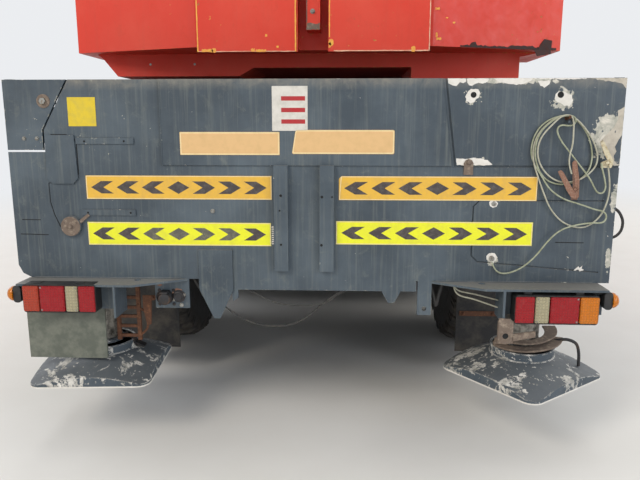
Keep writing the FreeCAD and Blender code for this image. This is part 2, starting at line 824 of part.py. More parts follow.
def rear_panel_form():
    """The rear panel: plate with the left corner cut away, overlay, ribs, seams, shelves and attachments."""
    half = carrier_width / 2
    y0, y1 = ahead(0), ahead(panel_thickness)
    pieces = [plate_y(rear_panel_outline(), y0, y1)]
    overlay = [(overlay_left, overlay_bottom), (hatch_left_low - 16, overlay_bottom), (hatch_left - 16, deck_top),
               (overlay_left, deck_top)]
    pieces.append(plate_y(overlay, y0 - overlay_thickness, y0 + 1))
    for x in rib_positions:
        pieces.append(block(x - rib_width / 2, x + rib_width / 2, y0 - rib_depth, y0 + 1, rib_bottom, overlay_bottom))
    pieces += panel_attachments(y0, y1) + shelf_forms(y0)
    whole = joined(pieces)
    bevel = low_hatch_bevel
    seams = [seam_form([(hatch_left, deck_top + 5), (hatch_left_low, hatch_bottom), (half + 5, hatch_bottom)], hatch_groove, y0),
             seam_form([(low_hatch_right, low_hatch_top), (low_hatch_left + bevel, low_hatch_top),
                        (low_hatch_left, low_hatch_top - bevel), (low_hatch_left, low_hatch_bottom + bevel),
                        (low_hatch_left + bevel, low_hatch_bottom), (low_hatch_right, low_hatch_bottom - 45)], 6, y0)]
    for seam in seams:
        whole = whole.cut(seam)
    return whole


def tail_lamp_forms():
    """Both tail lamp bodies and the side marker lamps at the shelves' ends."""
    y0 = ahead(0) - shelf_depth
    top = panel_side_bottom - shelf_thickness - seat_clearance
    lamp = block(lamp_x - lamp_length / 2, lamp_x + lamp_length / 2, y0 - 12, y0 + lamp_depth - seat_clearance,
                 top - lamp_height, top)
    corners = [e for e in lamp.Edges if abs(e.Vertexes[0].Y - e.Vertexes[-1].Y) > 1]
    lamp = lamp.makeFillet(14, corners)
    mount = block(shelf_outer_x - marker_mount_width, shelf_outer_x, y0 + 5, y0 + lamp_depth - seat_clearance,
                  top - 80, top)
    marker = bar_x(marker_radius, shelf_outer_x, shelf_outer_x + marker_length, y0 + lamp_depth / 2, top - 42)
    return both_sides(lamp) + both_sides(joined([mount, marker]))


def mud_flap_form():
    """Rubber flaps behind the rearmost wheels, and the square flap under the left tail lamp."""
    line = ahead(axles["4"]["distance"]) - tyre_radius - 70
    pieces = both_sides(block(fender_inner, carrier_width / 2 - 60, line, line + 10, 170, deck_bottom - seat_clearance))
    y0 = ahead(0) - shelf_depth + lamp_depth + shelf_thickness + seat_clearance
    top = panel_side_bottom - shelf_thickness - seat_clearance
    pieces.append(block(-shelf_outer_x, -lamp_plate_x - 72, y0, y0 + 10, 412, top))
    return Part.makeCompound(pieces)


# Driver's cab

def cab_profile(inset):
    """Side outline of the cab as (y, z) corners, moved inwards by inset."""
    front, rear = cab_front_y - inset, cab_rear_y + inset
    top = cab_roof - inset
    windscreen_top = front - cab_windscreen_rake
    return [(rear, cab_floor + inset), (front, cab_floor + inset), (front, cab_waist),
            (windscreen_top, cab_windscreen_top), (windscreen_top - cab_roof_bevel * 0.7, top), (rear, top)]


def cab_door_outline(gap):
    """Door outline as (y, z) corners, grown by gap."""
    front = cab_front_y - door_front_inset + gap
    rear = front - door_width - 2 * gap
    return [(rear, door_bottom - gap), (front, door_bottom - gap), (front, door_top + gap), (rear, door_top + gap)]


def cab_door_window(gap):
    """The door's window outline as (y, z) corners, shrunk by gap."""
    front = cab_front_y - door_front_inset - window_margin - gap
    rear = cab_front_y - door_front_inset - door_width + window_margin + gap
    return [(rear, door_window_bottom + gap), (front, door_window_bottom + gap),
            (front, door_top - window_margin - gap), (rear, door_top - window_margin - gap)]


def windscreen_cutter(gap):
    """The windscreen's opening seen from the front, shrunk by gap, as a plate across Y."""
    half = cab_width / 2 - window_margin - gap
    low, high = cab_waist + 40 + gap, cab_windscreen_top - 60 - gap
    return plate_y([(-half, low), (half, low), (half - 60, high), (-half + 60, high)],
                   cab_front_y - cab_windscreen_rake - 100, cab_front_y + 50)


def cab_rear_window(gap):
    half = 480 - gap
    return block(-half, half, cab_rear_y - 1, cab_rear_y + cab_wall + 1, 1950 + gap, 2500 - gap)


def hinge_pin_place():
    """X and Y of the right door's hinge axis."""
    return cab_width / 2 + hinge_offset, cab_front_y - door_front_inset


def front_grooves():
    """The cab front's cooling grille, as a row of shallow slots."""
    half = grille_width / 2
    slots = [block(-half, half, cab_front_y - grille_depth, cab_front_y + 1, z, z + grille_slot)
             for z in (grille_bottom + i * grille_pitch for i in range(grille_slots))]
    return Part.makeCompound(slots)


def cab_shell_form():
    """The driver's cab: floor, walls and roof as one shell with its door and window openings, and mirrors."""
    half = cab_width / 2
    outer = plate_x(cab_profile(0), -half, half)
    inner = plate_x(cab_profile(cab_wall), -half + cab_wall, half - cab_wall)
    shell = outer.cut(inner)
    shell = shell.cut(plate_x(cab_door_outline(moving_clearance), -half - 1, half + 1))
    shell = shell.cut(windscreen_cutter(0)).cut(cab_rear_window(0))
    additions = []
    x, y = hinge_pin_place()
    for level in hinge_levels:
        z1 = level - hinge_height / 2 - pin_clearance
        z0 = z1 - hinge_bracket_height
        additions.append(bar_z(hinge_radius, x, y, z0, z1))
        additions.append(block(half - 1, x, y + hinge_radius + 4, y + hinge_radius + 44, z0, z1))
        additions.append(block(x - hinge_radius, x, y, y + hinge_radius + 44, z0, z1))
    mirror_outer = half + mirror_reach
    mirror_y = cab_front_y - 160
    additions.append(block(mirror_outer - mirror_width, mirror_outer, mirror_y - mirror_depth, mirror_y,
                           mirror_bottom, mirror_top))
    for z in (mirror_bottom + 60, mirror_top - 60):
        additions.append(bar_x(mirror_arm_radius, half - cab_wall / 2, mirror_outer - mirror_width / 2,
                               mirror_y - mirror_depth / 2, z))
    return joined([shell] + additions + [mirrored(a) for a in additions]).cut(front_grooves())


def cab_door_form():
    """The right cab door as thick as the wall, with its window cut and two hinge barrels."""
    half = cab_width / 2
    door = plate_x(cab_door_outline(0), half - cab_wall, half)
    door = door.cut(plate_x(cab_door_window(0), half - cab_wall - 1, half + 1))
    x, y = hinge_pin_place()
    pieces = [door]
    for level in hinge_levels:
        z0, z1 = level - hinge_height / 2, level + hinge_height / 2
        pieces.append(bar_z(hinge_radius, x, y, z0, z1))
        pieces.append(block(half - 2, x, y - 50, y - 1, z0, z1))
        pieces.append(block(x - 8, x + 2, y - 50, y, z0, z1))
    return joined(pieces)


def cab_glass_form():
    """Windscreen and rear window panes, seated in their openings."""
    half = cab_width / 2
    front = [(y, z) for y, z in cab_profile(12)][2:4]
    back = [(y - pane_thickness, z) for y, z in front][::-1]
    sheet = plate_x(front + back, -half, half)
    windscreen = sheet.common(windscreen_cutter(pane_clearance))
    middle = cab_rear_y + cab_wall / 2
    rear = cab_rear_window(pane_clearance).common(
        block(-half, half, middle - pane_thickness / 2, middle + pane_thickness / 2, cab_floor, cab_roof))
    return Part.makeCompound([windscreen, rear])


def cab_interior_form():
    """Seats, dashboard and steering column that show through the glass, joined by the floor mat."""
    floor = cab_floor + cab_wall + seat_clearance
    pieces = [block(-900, 900, cab_rear_y + 300, cab_front_y - 120, floor, floor + 20)]
    for x in (-seat_x, seat_x):
        seat_y = cab_rear_y + 420
        pieces.append(block(x - 150, x + 150, seat_y + 60, seat_y + 380, floor + 10, floor + 380))
        pieces.append(block(x - seat_width / 2, x + seat_width / 2, seat_y, seat_y + 480, floor + 370, floor + 490))
        pieces.append(plate_x([(seat_y + 20, floor + 400), (seat_y + 140, floor + 400),
                               (seat_y + 20, floor + 1130), (seat_y - 80, floor + 1130)],
                              x - seat_width / 2, x + seat_width / 2))
    dash_rear = cab_front_y - 420
    pieces.append(plate_x([(dash_rear + 60, floor + 10), (cab_front_y - 120, floor + 10), (cab_front_y - 120, floor + 640),
                           (dash_rear + 80, floor + 700), (dash_rear, floor + 620)], -1000, 1000))
    pieces.append(bar_between(28, (-seat_x, dash_rear + 60, floor + 600), (-seat_x, dash_rear - 130, floor + 760)))
    centre, lean = (-seat_x, dash_rear - 112, floor + 745), Vector(0, -190, 160)
    wheel = Part.makeCylinder(225, 26, Vector(*centre), lean).cut(Part.makeCylinder(196, 28, Vector(*centre), lean))
    spoke = block(-seat_x - 205, -seat_x + 205, centre[1] - 18, centre[1] + 6, centre[2] - 8, centre[2] + 20)
    pieces += [wheel, spoke]
    return joined(pieces)


def front_bumper_form():
    """Bumper with bevelled corners and head lamp pockets, and the step boxes under the cab."""
    front, rear = cab_front_y, cab_front_y - bumper_depth
    half, bevel = bumper_half_width, bumper_bevel
    top = cab_floor - seat_clearance
    outline = [(-half, rear), (half, rear), (half, front - bevel), (half - bevel, front),
               (-half + bevel, front), (-half, front - bevel)]
    bumper = plate_z(outline, bumper_bottom, top)
    inner = block(-half + 60, half - 60, rear - 1, front - bevel - 40, bumper_bottom - 1, top - 60)
    bumper = bumper.cut(inner)
    for sign in (-1, 1):
        x0, x1 = sign * head_lamp_x - head_lamp_width / 2, sign * head_lamp_x + head_lamp_width / 2
        bumper = bumper.cut(block(x0, x1, front - 40, front + 1, head_lamp_level - head_lamp_height / 2,
                                  head_lamp_level + head_lamp_height / 2))
    side_box = block(frame_width / 2 + 250, half - 60, cab_rear_y, rear + 1, 560, top)
    steps = [side_box]
    for z in (600, 800):
        steps.append(block(half - 61, half, cab_rear_y + 110, rear + 1, z, z + 40))
    return joined([bumper] + [s for step in steps for s in both_sides(step)])


def head_lamp_forms():
    """Head lamp units in the bumper's pockets."""
    front = cab_front_y
    lamps = []
    for sign in (-1, 1):
        x0, x1 = sign * head_lamp_x - head_lamp_width / 2, sign * head_lamp_x + head_lamp_width / 2
        lamps.append(block(x0 + 4, x1 - 4, front - 40 + seat_clearance, front - 6,
                           head_lamp_level - head_lamp_height / 2 + seat_clearance,
                           head_lamp_level + head_lamp_height / 2 - 4))
    return lamps


def engine_form():
    """The carrier's engine as one block between the rails, with its exhaust pipe and upright silencer."""
    half = frame_width / 2 - rail_width - seat_clearance
    front = ahead(axles["1"]["distance"]) - 300
    y, z = cab_rear_y - exhaust_gap, exhaust_pipe_level
    radius = exhaust_pipe_radius
    pieces = [block(-half, half, ahead(engine_bay_start) + 270, front, frame_bottom + 40, deck_bottom - 90),
              bar_y(radius, front - 1, y, half / 2, z),
              bar_x(radius, half / 2, exhaust_x, y, z),
              bar_z(radius, exhaust_x, y, z, exhaust_bottom + 1),
              bar_z(exhaust_radius, exhaust_x, y, exhaust_bottom, exhaust_top),
              bar_z(radius, exhaust_x, y, exhaust_top - 1, exhaust_top + 120)]
    elbows = [Part.makeSphere(radius, Vector(x, y, z)) for x in (half / 2, exhaust_x)]
    return joined(pieces + elbows)


# Superstructure

def slew_frame_form():
    """Slewing ring, platform, boom side plates with pivot bores, luffing cylinder lugs and cross plates."""
    ring = bar_z(slew_ring_radius, 0, slew_y, slew_ring_level + seat_clearance, slew_plate_bottom + 1)
    ring = ring.cut(bar_z(slew_ring_radius - slew_ring_wall, 0, slew_y, slew_ring_level - 1, slew_plate_bottom))
    platform = plate_z([(-housing_outer, slew_y - housing_rear), (housing_outer, slew_y - housing_rear),
                        (housing_outer, slew_y - housing_front), (slew_ring_radius, slew_y + 60),
                        (slew_ring_radius, slew_y + 700), (600, slew_y + 1000), (-600, slew_y + 1000),
                        (-crane_cab_outer, slew_y + 700), (-crane_cab_outer, slew_y - housing_front)],
                       slew_plate_bottom, slew_plate_top)
    side_outline = [(1000, 1869), (1000, 2080), (520, 2360), (-900, 3180), (-1130, 3330), (-1480, 3330),
                    (-1700, 3120), (-1980, 2800), (-winch_behind - 260, 2800), (-counterweight_front, 2480),
                    (-counterweight_front, 1869)]
    side = plate_x([(slew_y + y, z) for y, z in side_outline], side_plate_inner, side_plate_outer)
    pieces = [ring, platform] + both_sides(side)
    lug_outline = [(-260, 1869), (260, 1869), (150, 2170), (-150, 2170)]
    lug = plate_x([(luff_foot_y + y, z) for y, z in lug_outline], luff_lug_inner, luff_lug_inner + luff_lug_thickness)
    pieces += both_sides(lug)
    pieces.append(block(-side_plate_inner - 1, side_plate_inner + 1, slew_y + 940, slew_y + 980, 1869, 2000))
    back = slew_y - counterweight_front
    pieces.append(block(-side_plate_inner - 1, side_plate_inner + 1, back, back + 40, 1869, 2420))
    whole = joined(pieces)
    whole = whole.cut(bar_x(pivot_pin_radius + pin_clearance, -side_plate_outer - 1, side_plate_outer + 1,
                            pivot_y, pivot_level))
    reach = luff_lug_inner + luff_lug_thickness
    return whole.cut(bar_x(luff_foot_pin_radius + pin_clearance, -reach - 1, reach + 1, luff_foot_y, luff_foot_level))


def counterweight_form():
    """Cast counterweight: swept tail, middle recess, two tail plates, and the cradle under it."""
    half, flat = counterweight_half_width, counterweight_flat_half
    tail, side_tail = slew_y - counterweight_tail, slew_y - counterweight_side_tail
    front = slew_y - counterweight_front - seat_clearance
    outline = [(half, front), (half, side_tail), (flat, tail), (-flat, tail), (-half, side_tail), (-half, front)]
    body = plate_z(outline, counterweight_bottom, counterweight_top)
    recess = counterweight_recess_half
    body = body.cut(block(-recess, recess, tail - 1, tail + counterweight_recess_depth,
                          counterweight_bottom - 1, counterweight_top + 1))
    plate = block(recess, tail_plate_outer, tail - tail_plate_thickness, tail + 1, tail_plate_bottom, tail_plate_top)
    middle = counterweight_bottom - 75
    cradle_outline = [(-1230, counterweight_bottom + 1), (-1200, 1868), (-1120, cradle_bottom),
                      (-430, cradle_bottom), (-350, middle), (527, middle), (527, box_bottom), (1116, box_bottom),
                      (1116, 1866), (1230, counterweight_bottom + 1)]
    cradle = plate_y(cradle_outline, side_tail + 60, front)
    hanger = block(-35, 35, tail + 20, tail + counterweight_recess_depth + 1, 1975, 2500)
    return joined([body, cradle, hanger] + both_sides(plate))


def winch_form():
    """Hoist winch across the side plates: drum, rope layers and flanges."""
    y = slew_y - winch_behind
    reach = side_plate_inner - seat_clearance
    drum = bar_x(winch_drum_radius, -reach, reach, y, winch_level)
    flanges = both_sides(bar_x(winch_flange_radius, reach - 40, reach, y, winch_level))
    return joined([drum] + flanges)


def housings_form():
    """Superstructure engine housing on the right and the oil tank on the left, sheet metal boxes."""
    rear, front = slew_y - housing_rear + 20, slew_y - housing_front
    wall, bevel = 25.0, 120.0
    shapes = []
    for x0, x1, top in ((housing_inner, housing_outer, engine_housing_top), (-housing_outer, -housing_inner, oil_tank_top)):
        outer_x = x1 if x0 > 0 else x0
        inner_x = x0 if x0 > 0 else x1
        sign = 1 if x0 > 0 else -1

        def outline(inset):
            return [(inner_x + sign * inset, slew_plate_top + inset), (outer_x - sign * inset, slew_plate_top + inset),
                    (outer_x - sign * inset, top - bevel), (outer_x - sign * bevel, top - inset),
                    (inner_x + sign * inset, top - inset)]
        shapes.append(plate_y(outline(0), rear, front).cut(plate_y(outline(wall), rear + wall, front - wall)))
    return Part.makeCompound(shapes)


def crane_cab_profile(inset):
    """Side outline of the crane cab as (y, z) corners relative to the slewing axis."""
    front, rear = crane_cab_front - inset, crane_cab_rear + inset
    top = crane_cab_top - inset
    return [(slew_y + y, z) for y, z in
            [(rear, crane_cab_bottom + inset), (front - 180, crane_cab_bottom + inset), (front, crane_cab_waist),
             (front - crane_cab_rake, top - 60), (front - crane_cab_rake - 80, top), (rear, top)]]


def crane_door_outline(gap):
    """The doorway as (y, z) corners, shrunk by gap."""
    rear = slew_y + 560
    return [(rear + gap, crane_cab_bottom + 80 + gap), (rear + crane_door_width - gap, crane_cab_bottom + 80 + gap),
            (rear + crane_door_width - gap, crane_cab_top - 130 - gap), (rear + gap, crane_cab_top - 130 - gap)]


def crane_windscreen_cutter(gap):
    x0, x1 = -crane_cab_outer + 60 + gap, -crane_cab_inner - 60 - gap
    return block(x0, x1, slew_y + crane_cab_front - crane_cab_rake - 130, slew_y + crane_cab_front + 10,
                 crane_cab_waist + 30 + gap, crane_cab_top - 120 - gap)


def crane_side_window(gap):
    """The window in the inner side wall as (y, z) corners."""
    return [(slew_y + 120 + gap, crane_cab_waist + 120 + gap), (slew_y + 1180 - gap, crane_cab_waist + 120 + gap),
            (slew_y + 1130 - gap, crane_cab_top - 130 - gap), (slew_y + 120 + gap, crane_cab_top - 130 - gap)]


def crane_cab_form():
    """The crane cab: one shell with doorway, windscreen and side window openings, door rails and mounts."""
    x0, x1, wall = -crane_cab_outer, -crane_cab_inner, crane_cab_wall
    shell = plate_x(crane_cab_profile(0), x0, x1).cut(plate_x(crane_cab_profile(wall), x0 + wall, x1 - wall))
    shell = shell.cut(plate_x(crane_door_outline(0), x0 - 1, x0 + wall + 1))
    shell = shell.cut(plate_x(crane_side_window(0), x1 - wall - 1, x1 + 1))
    shell = shell.cut(crane_windscreen_cutter(0))
    door_rear, door_low, door_high = slew_y + 560, crane_cab_bottom + 80, crane_cab_top - 130
    rail_x = x0 - crane_door_offset - wall
    rails = []
    for z in (door_low - 20 - seat_clearance - 18, door_high + 20 + seat_clearance):
        rails.append(block(rail_x, x0 + 1, slew_y + crane_cab_rear, door_rear + crane_door_width + 20, z, z + 18))
    mounts = [block(x0 + 60, x1 - 60, slew_y + y, slew_y + y + 120, slew_plate_top, crane_cab_bottom + 1)
              for y in (0, 560)]
    return joined([shell] + rails + mounts)


def crane_cab_door_form():
    """The sliding door that runs back outside the cab's left wall, with its window cut."""
    x1 = -crane_cab_outer - crane_door_offset
    x0 = x1 - crane_cab_wall
    door = plate_x(crane_door_outline(-20), x0, x1)
    window = crane_door_outline(70)
    window = [(y, max(z, crane_cab_waist + 40)) for y, z in window]
    return door.cut(plate_x(window, x0 - 1, x1 + 1))


def crane_cab_glass_form():
    """Windscreen and inner side window of the crane cab."""
    x0, x1, wall = -crane_cab_outer, -crane_cab_inner, crane_cab_wall
    front = crane_cab_profile(12)[2:4]
    back = [(y - pane_thickness, z) for y, z in front][::-1]
    windscreen = plate_x(front + back, x0, x1).common(crane_windscreen_cutter(pane_clearance))
    middle = x1 - wall / 2
    side = plate_x(crane_side_window(pane_clearance), middle - pane_thickness / 2, middle + pane_thickness / 2)
    return Part.makeCompound([windscreen, side])


# Boom

def boom_profile(step, grow=0.0):
    """Cross-section of a boom section as (x, z) corners. Each step is one section further in."""
    shrink = step * section_step - grow
    half, low, high = boom_width / 2 - shrink, boom_bottom + shrink, boom_bottom + boom_height - shrink
    low_bevel, high_bevel = boom_bottom_bevel - shrink * 0.4, boom_top_bevel
    return [(-half + low_bevel, low), (half - low_bevel, low), (half, low + low_bevel), (half, high - high_bevel),
            (half - high_bevel, high), (-half + high_bevel, high), (-half, high - high_bevel), (-half, low + low_bevel)]


def section_form(step):
    """One hollow boom section with the collar that carries the next one."""
    start = pivot_y - boom_tail if step == 0 else pivot_y + section_start + section_start_step * step
    end = pivot_y + base_section_reach + section_reach * step
    tube = plate_y(boom_profile(step), start, end)
    tube = tube.cut(plate_y(boom_profile(step, -boom_wall), start - 1, end + 1))
    collar = plate_y(boom_profile(step, collar_lip), end - collar_length, end)
    collar = collar.cut(plate_y(boom_profile(step + 1, seat_clearance), end - collar_length - 1, end + 1))
    return [tube, collar]


def boom_base_form():
    """Base section with its foot plates, pivot pin and the lugs for the luffing cylinder."""
    pieces = section_form(0)
    half = boom_width / 2
    plate_outline = [(-boom_tail, -160), (500, -200), (700, 150), (500, 420), (-boom_tail, 420)]
    foot = plate_x([(pivot_y + y, pivot_level + z) for y, z in plate_outline], half - 1, side_plate_inner - 5)
    pieces += both_sides(foot)
    pieces.append(bar_x(pivot_pin_radius, -side_plate_outer - 8, side_plate_outer + 8, pivot_y, pivot_level))
    inner = luff_eye_half_width + moving_clearance
    lug_outline = [(-420, boom_bottom - luff_eye_level + 1), (-90, -110), (90, -110),
                   (420, boom_bottom - luff_eye_level + 1)]
    lug = plate_x([(luff_eye_y + y, luff_eye_level + z) for y, z in lug_outline], inner, inner + 34)
    boss = bar_x(95, inner + 33, inner + 60, luff_eye_y, luff_eye_level)
    pieces += both_sides(joined([lug, boss]))
    return joined(pieces)


def boom_head_form():
    """The innermost section with its head plates and the sheaves on their axles."""
    step = 3
    start = pivot_y + section_start + section_start_step * step
    end = pivot_y + base_section_reach + section_reach * step
    tube = plate_y(boom_profile(step), start, end).cut(plate_y(boom_profile(step, -boom_wall), start - 1, end - 30))
    rear = end - section_reach + moving_clearance
    outline = [(rear, boom_bottom + 600), (rear, boom_bottom + 200), (head_axis_y - 190, head_axis_level - 60),
               (head_axis_y - 110, head_axis_level - 110),
               (head_axis_y + 110, head_axis_level - 110), (head_axis_y + 270, head_axis_level + 20),
               (head_axis_y + 270, head_axis_level + 110),
               (head_axis_y + 60, boom_bottom + 520), (head_axis_y - 60, boom_bottom + boom_height - 20),
               (end - 60, boom_bottom + boom_height - 20), (end - 60, boom_bottom + 600)]
    plate = plate_x(outline, head_plate_inner, head_plate_inner + head_plate_thickness)
    pieces = [tube] + both_sides(plate)
    reach = head_plate_inner + head_plate_thickness + 25
    pieces.append(bar_x(55, -reach, reach, head_axis_y, head_axis_level))
    guard_y = head_axis_y + head_sheave_radius + head_guard_gap + head_guard_radius
    pieces.append(bar_x(head_guard_radius, -head_plate_inner - 1, head_plate_inner + 1, guard_y, head_axis_level + 65))
    top_y, top_z = head_axis_y - 30, boom_bottom + boom_height - 110
    pieces.append(bar_x(40, -reach, reach, top_y, top_z))
    for x in head_sheave_positions:
        pieces.append(bar_x(head_sheave_radius, x - head_sheave_width / 2, x + head_sheave_width / 2,
                            head_axis_y, head_axis_level))
    for x in head_sheave_positions[1:3]:
        pieces.append(bar_x(top_sheave_radius, x - head_sheave_width / 2, x + head_sheave_width / 2, top_y, top_z))
    return joined(pieces)


def luff_place(shape):
    """Puts a piece built from the foot pin along +Y at the cylinder's rest angle."""
    shape = shape.copy()
    shape.rotate(Vector(0, 0, 0), Vector(1, 0, 0), luff_rest_angle)
    shape.translate(Vector(0, luff_foot_y, luff_foot_level))
    return shape


def luff_barrel_form():
    """Luffing cylinder barrel with its foot eye and pin, bored for the rod."""
    reach = luff_lug_inner - 5
    pieces = [bar_y(luff_neck_radius, 0, luff_barrel_start + 1, 0, 0),
              bar_y(luff_barrel_radius, luff_barrel_start, luff_barrel_end, 0, 0),
              bar_y(luff_barrel_radius + luff_gland_lip, luff_barrel_end - luff_gland_length, luff_barrel_end, 0, 0),
              bar_x(luff_foot_eye_radius, -reach, reach, 0, 0),
              bar_x(luff_foot_pin_radius, -luff_lug_inner - luff_lug_thickness - 10,
                    luff_lug_inner + luff_lug_thickness + 10, 0, 0)]
    bore = bar_y(luff_rod_radius + pin_clearance, luff_rod_inner_end - 10, luff_barrel_end + 1, 0, 0)
    trimmed = joined(pieces).cut(bore)
    return luff_place(trimmed)


def luff_rod_form():
    """Luffing cylinder rod with the eye at its end."""
    rod = bar_y(luff_rod_radius, luff_rod_inner_end, luff_closed_length - 20, 0, 0)
    eye = bar_x(luff_eye_radius, -luff_eye_half_width, luff_eye_half_width, luff_closed_length, 0)
    return luff_place(joined([rod, eye]))


def hook_block_form():
    """Hook block on its rope falls: cheeks, sheaves, shank and hook."""
    y, z = head_axis_y, head_axis_level - hook_drop
    half = hook_cheek_half_width
    cheek_outline = [(-130, 240), (130, 240), (215, 60), (215, -90), (80, -330), (-80, -330), (-215, -90), (-215, 60)]
    cheek = plate_x([(y + a, z + b) for a, b in cheek_outline], half - hook_cheek_thickness, half)
    pieces = both_sides(cheek)
    for x in head_sheave_positions:
        pieces.append(bar_x(hook_sheave_radius, x - head_sheave_width / 2, x + head_sheave_width / 2, y, z))
    pieces.append(bar_x(50, -half - 20, half + 20, y, z))
    pieces.append(bar_x(40, -half, half, y, z - 260))
    for index, x in enumerate(head_sheave_positions):
        sign = 1 if index % 2 else -1
        top = head_sheave_radius + rope_radius + rope_clearance
        low = hook_sheave_radius - rope_radius
        pieces.append(bar_between(rope_radius, (x, y + sign * low, z), (x, y + sign * top, head_axis_level)))
    pieces.append(hook_form(y, z - 260))
    return joined(pieces)


def hook_form(y, level):
    """A forged single hook as a thick plate: shank, round throat and a tip turned up in front."""
    throat, belly, low = hook_throat_radius, hook_belly, level - hook_drop_below
    outer, middle = throat + belly, throat + belly / 2

    def at(radius, degrees):
        angle = math.radians(degrees)
        return Vector(-hook_thickness / 2, y + radius * math.cos(angle), low + radius * math.sin(angle))
    shank_rear = Vector(-hook_thickness / 2, y - hook_shank_radius, level)
    shank_front = Vector(-hook_thickness / 2, y + hook_shank_radius, level)
    tip = at(middle, 35)
    edges = [Part.LineSegment(shank_rear, at(outer, 150)), Part.Arc(at(outer, 150), at(outer, 270), at(outer, 5)),
             Part.LineSegment(at(outer, 5), tip), Part.LineSegment(tip, at(throat, 0)),
             Part.Arc(at(throat, 0), at(throat, 270), at(throat, 115)),
             Part.LineSegment(at(throat, 115), shank_front), Part.LineSegment(shank_front, shank_rear)]
    return Part.Face(Part.Wire([e.toShape() for e in edges])).extrude(Vector(hook_thickness, 0, 0))


# Hanging cable and wire. Their lines are (x, distance ahead of the panel, z) corners in millimetres.

cable_loop_line = ((1026, -13, 1288), (1046, -13, 1212), (1084, -13, 1128), (1150, -13, 1062), (1240, -13, 1042),
                   (1310, -13, 1098), (1337, -13, 1187), (1332, -18, 1262), (1314, -28, 1324))
cable_tail_line = ((1035, -22, 1276), (1068, -28, 1222), (1130, -30, 1178), (1208, -30, 1156), (1275, -30, 1132),
                   (1310, -30, 1122), (1321, -30, 1106), (1318.4, -30, 1086.6), (1303.7, -30, 1073.8),
                   (1266, -30, 1076), (1195, -30, 1064), (1125, -30, 1040), (1072, -29, 983), (1030, -27, 918),
                   (968, -22, 858), (898, -17, 830), (853, -9, 845), (841, -3.8, 885))
wire_line = ((-414, 18.3, 664), (-352, 18.3, 610), (-262, 18.3, 567), (-155, 18.3, 552), (-52, 18.3, 572),
             (32, 18.3, 636), (112, 18.3, 712), (200, 18.3, 757))


def line_points(line):
    return [Vector(x, ahead(distance), z) for x, distance, z in line]


def tube_form(name, radius, line):
    """An eight-sided cable along straight runs joined by tangent arcs. Prints the arcs' radii."""
    points = line_points(line)
    start, edges, radii = points[0], [], []
    for before, corner, after in zip(points, points[1:], points[2:]):
        into, out = (corner - before), (after - corner)
        short = min(into.Length, out.Length)
        turn = into.getAngle(out)
        into, out = into.normalize(), out.normalize()
        cut = 0.45 * short
        radii.append(round(cut / math.tan(turn / 2), 1))
        first, last = corner - into * cut, corner + out * cut
        bisector = (out - into).normalize()
        arc_radius = cut / math.tan(turn / 2)
        middle = corner + bisector * (arc_radius / math.cos(turn / 2) - arc_radius)
        edges.append(Part.LineSegment(start, first).toShape())
        edges.append(Part.Arc(first, middle, last).toShape())
        start = last
    edges.append(Part.LineSegment(start, points[-1]).toShape())
    path = Part.Wire(edges)
    along = (points[1] - points[0]).normalize()
    aside = along.cross(Vector(0, 1, 0)).normalize()
    across = along.cross(aside)
    corners = [points[0] + aside * (radius * math.cos(math.radians(45 * i))) + across * (radius * math.sin(math.radians(45 * i)))
               for i in range(8)]
    profile = Part.makePolygon(corners + corners[:1])
    tube = path.makePipeShell([profile], True, False)
    expected = 2 * math.sqrt(2) * radius ** 2 * path.Length
    print(f"{name}: length {path.Length:.1f} mm, radii {radii}, volume {tube.Volume:.0f} of {expected:.0f} mm3")
    return tube


def cable_coil_form():
    """The coil's outer shape: a flat ring hung over its peg."""
    y1 = ahead(0) - coil_stand_off
    ring = bar_y(coil_radius, y1 - coil_depth, y1, coil_x, coil_level)
    return ring.cut(bar_y(coil_radius - coil_band, y1 - coil_depth - 1, y1 + 1, coil_x, coil_level))


def clamps_form():
    """Two open spring clamps on the cable's ends, lying on the coil's face."""
    y1 = ahead(0) - coil_stand_off - coil_depth
    y0 = y1 - clamp_depth
    left = [(1099, 1299), (1117, 1304), (1152, 1250), (1178, 1214), (1176, 1262), (1160, 1338), (1176, 1348),
            (1196, 1263), (1200, 1190), (1184, 1178), (1167, 1182), (1144, 1216)]
    right = [(1272, 1424), (1287, 1430), (1304, 1396), (1334, 1350), (1326, 1316), (1284, 1316), (1284, 1340),
             (1306, 1346), (1290, 1376)]
    return Part.makeCompound([plate_y(left, y0, y1), plate_y(right, y0, y1)])


def all_nodes():
    nodes = {
        "chassis_frame": chassis_form(),
        "deck": deck_form(),
        "rear_panel": rear_panel_form(),
        "lamps": Part.makeCompound(tail_lamp_forms() + head_lamp_forms()),
        "mud_flaps": mud_flap_form(),
        "axles": axles_form(),
        "engine": engine_form(),
        "cab_shell": cab_shell_form(),
        "cab_glass": cab_glass_form(),
        "cab_interior": cab_interior_form(),
        "front_bumper": front_bumper_form(),
        "slew_frame": slew_frame_form(),
        "counterweight": counterweight_form(),
        "winch": winch_form(),
        "housings": housings_form(),
        "crane_cab": crane_cab_form(),
        "crane_cab_door": crane_cab_door_form(),
        "crane_cab_glass": crane_cab_glass_form(),
        "boom_base": boom_base_form(),
        "boom_section_2": joined(section_form(1)),
        "boom_section_3": joined(section_form(2)),
        "boom_section_4": boom_head_form(),
        "luff_barrel": luff_barrel_form(),
        "luff_rod": luff_rod_form(),
        "hook_block": hook_block_form(),
        "cable_coil": cable_coil_form(),
        "cable_loop": tube_form("cable_loop", cable_radius, cable_loop_line),
        "cable_tail": tube_form("cable_tail", cable_radius, cable_tail_line),
        "clamps": clamps_form(),
        "under_wire": tube_form("under_wire", wire_radius, wire_line),
    }
    for side in sides:
        nodes[f"cab_door_{side}"] = on_side(cab_door_form(), side)
    nodes.update(wheel_nodes())
    nodes.update(knuckle_nodes())
    nodes.update(beam_nodes())
    nodes.update(jack_nodes())
    return nodes


def main():
    os.makedirs("parts", exist_ok=True)
    for name, shape in all_nodes().items():
        shape.exportStep(f"parts/{name}.step")


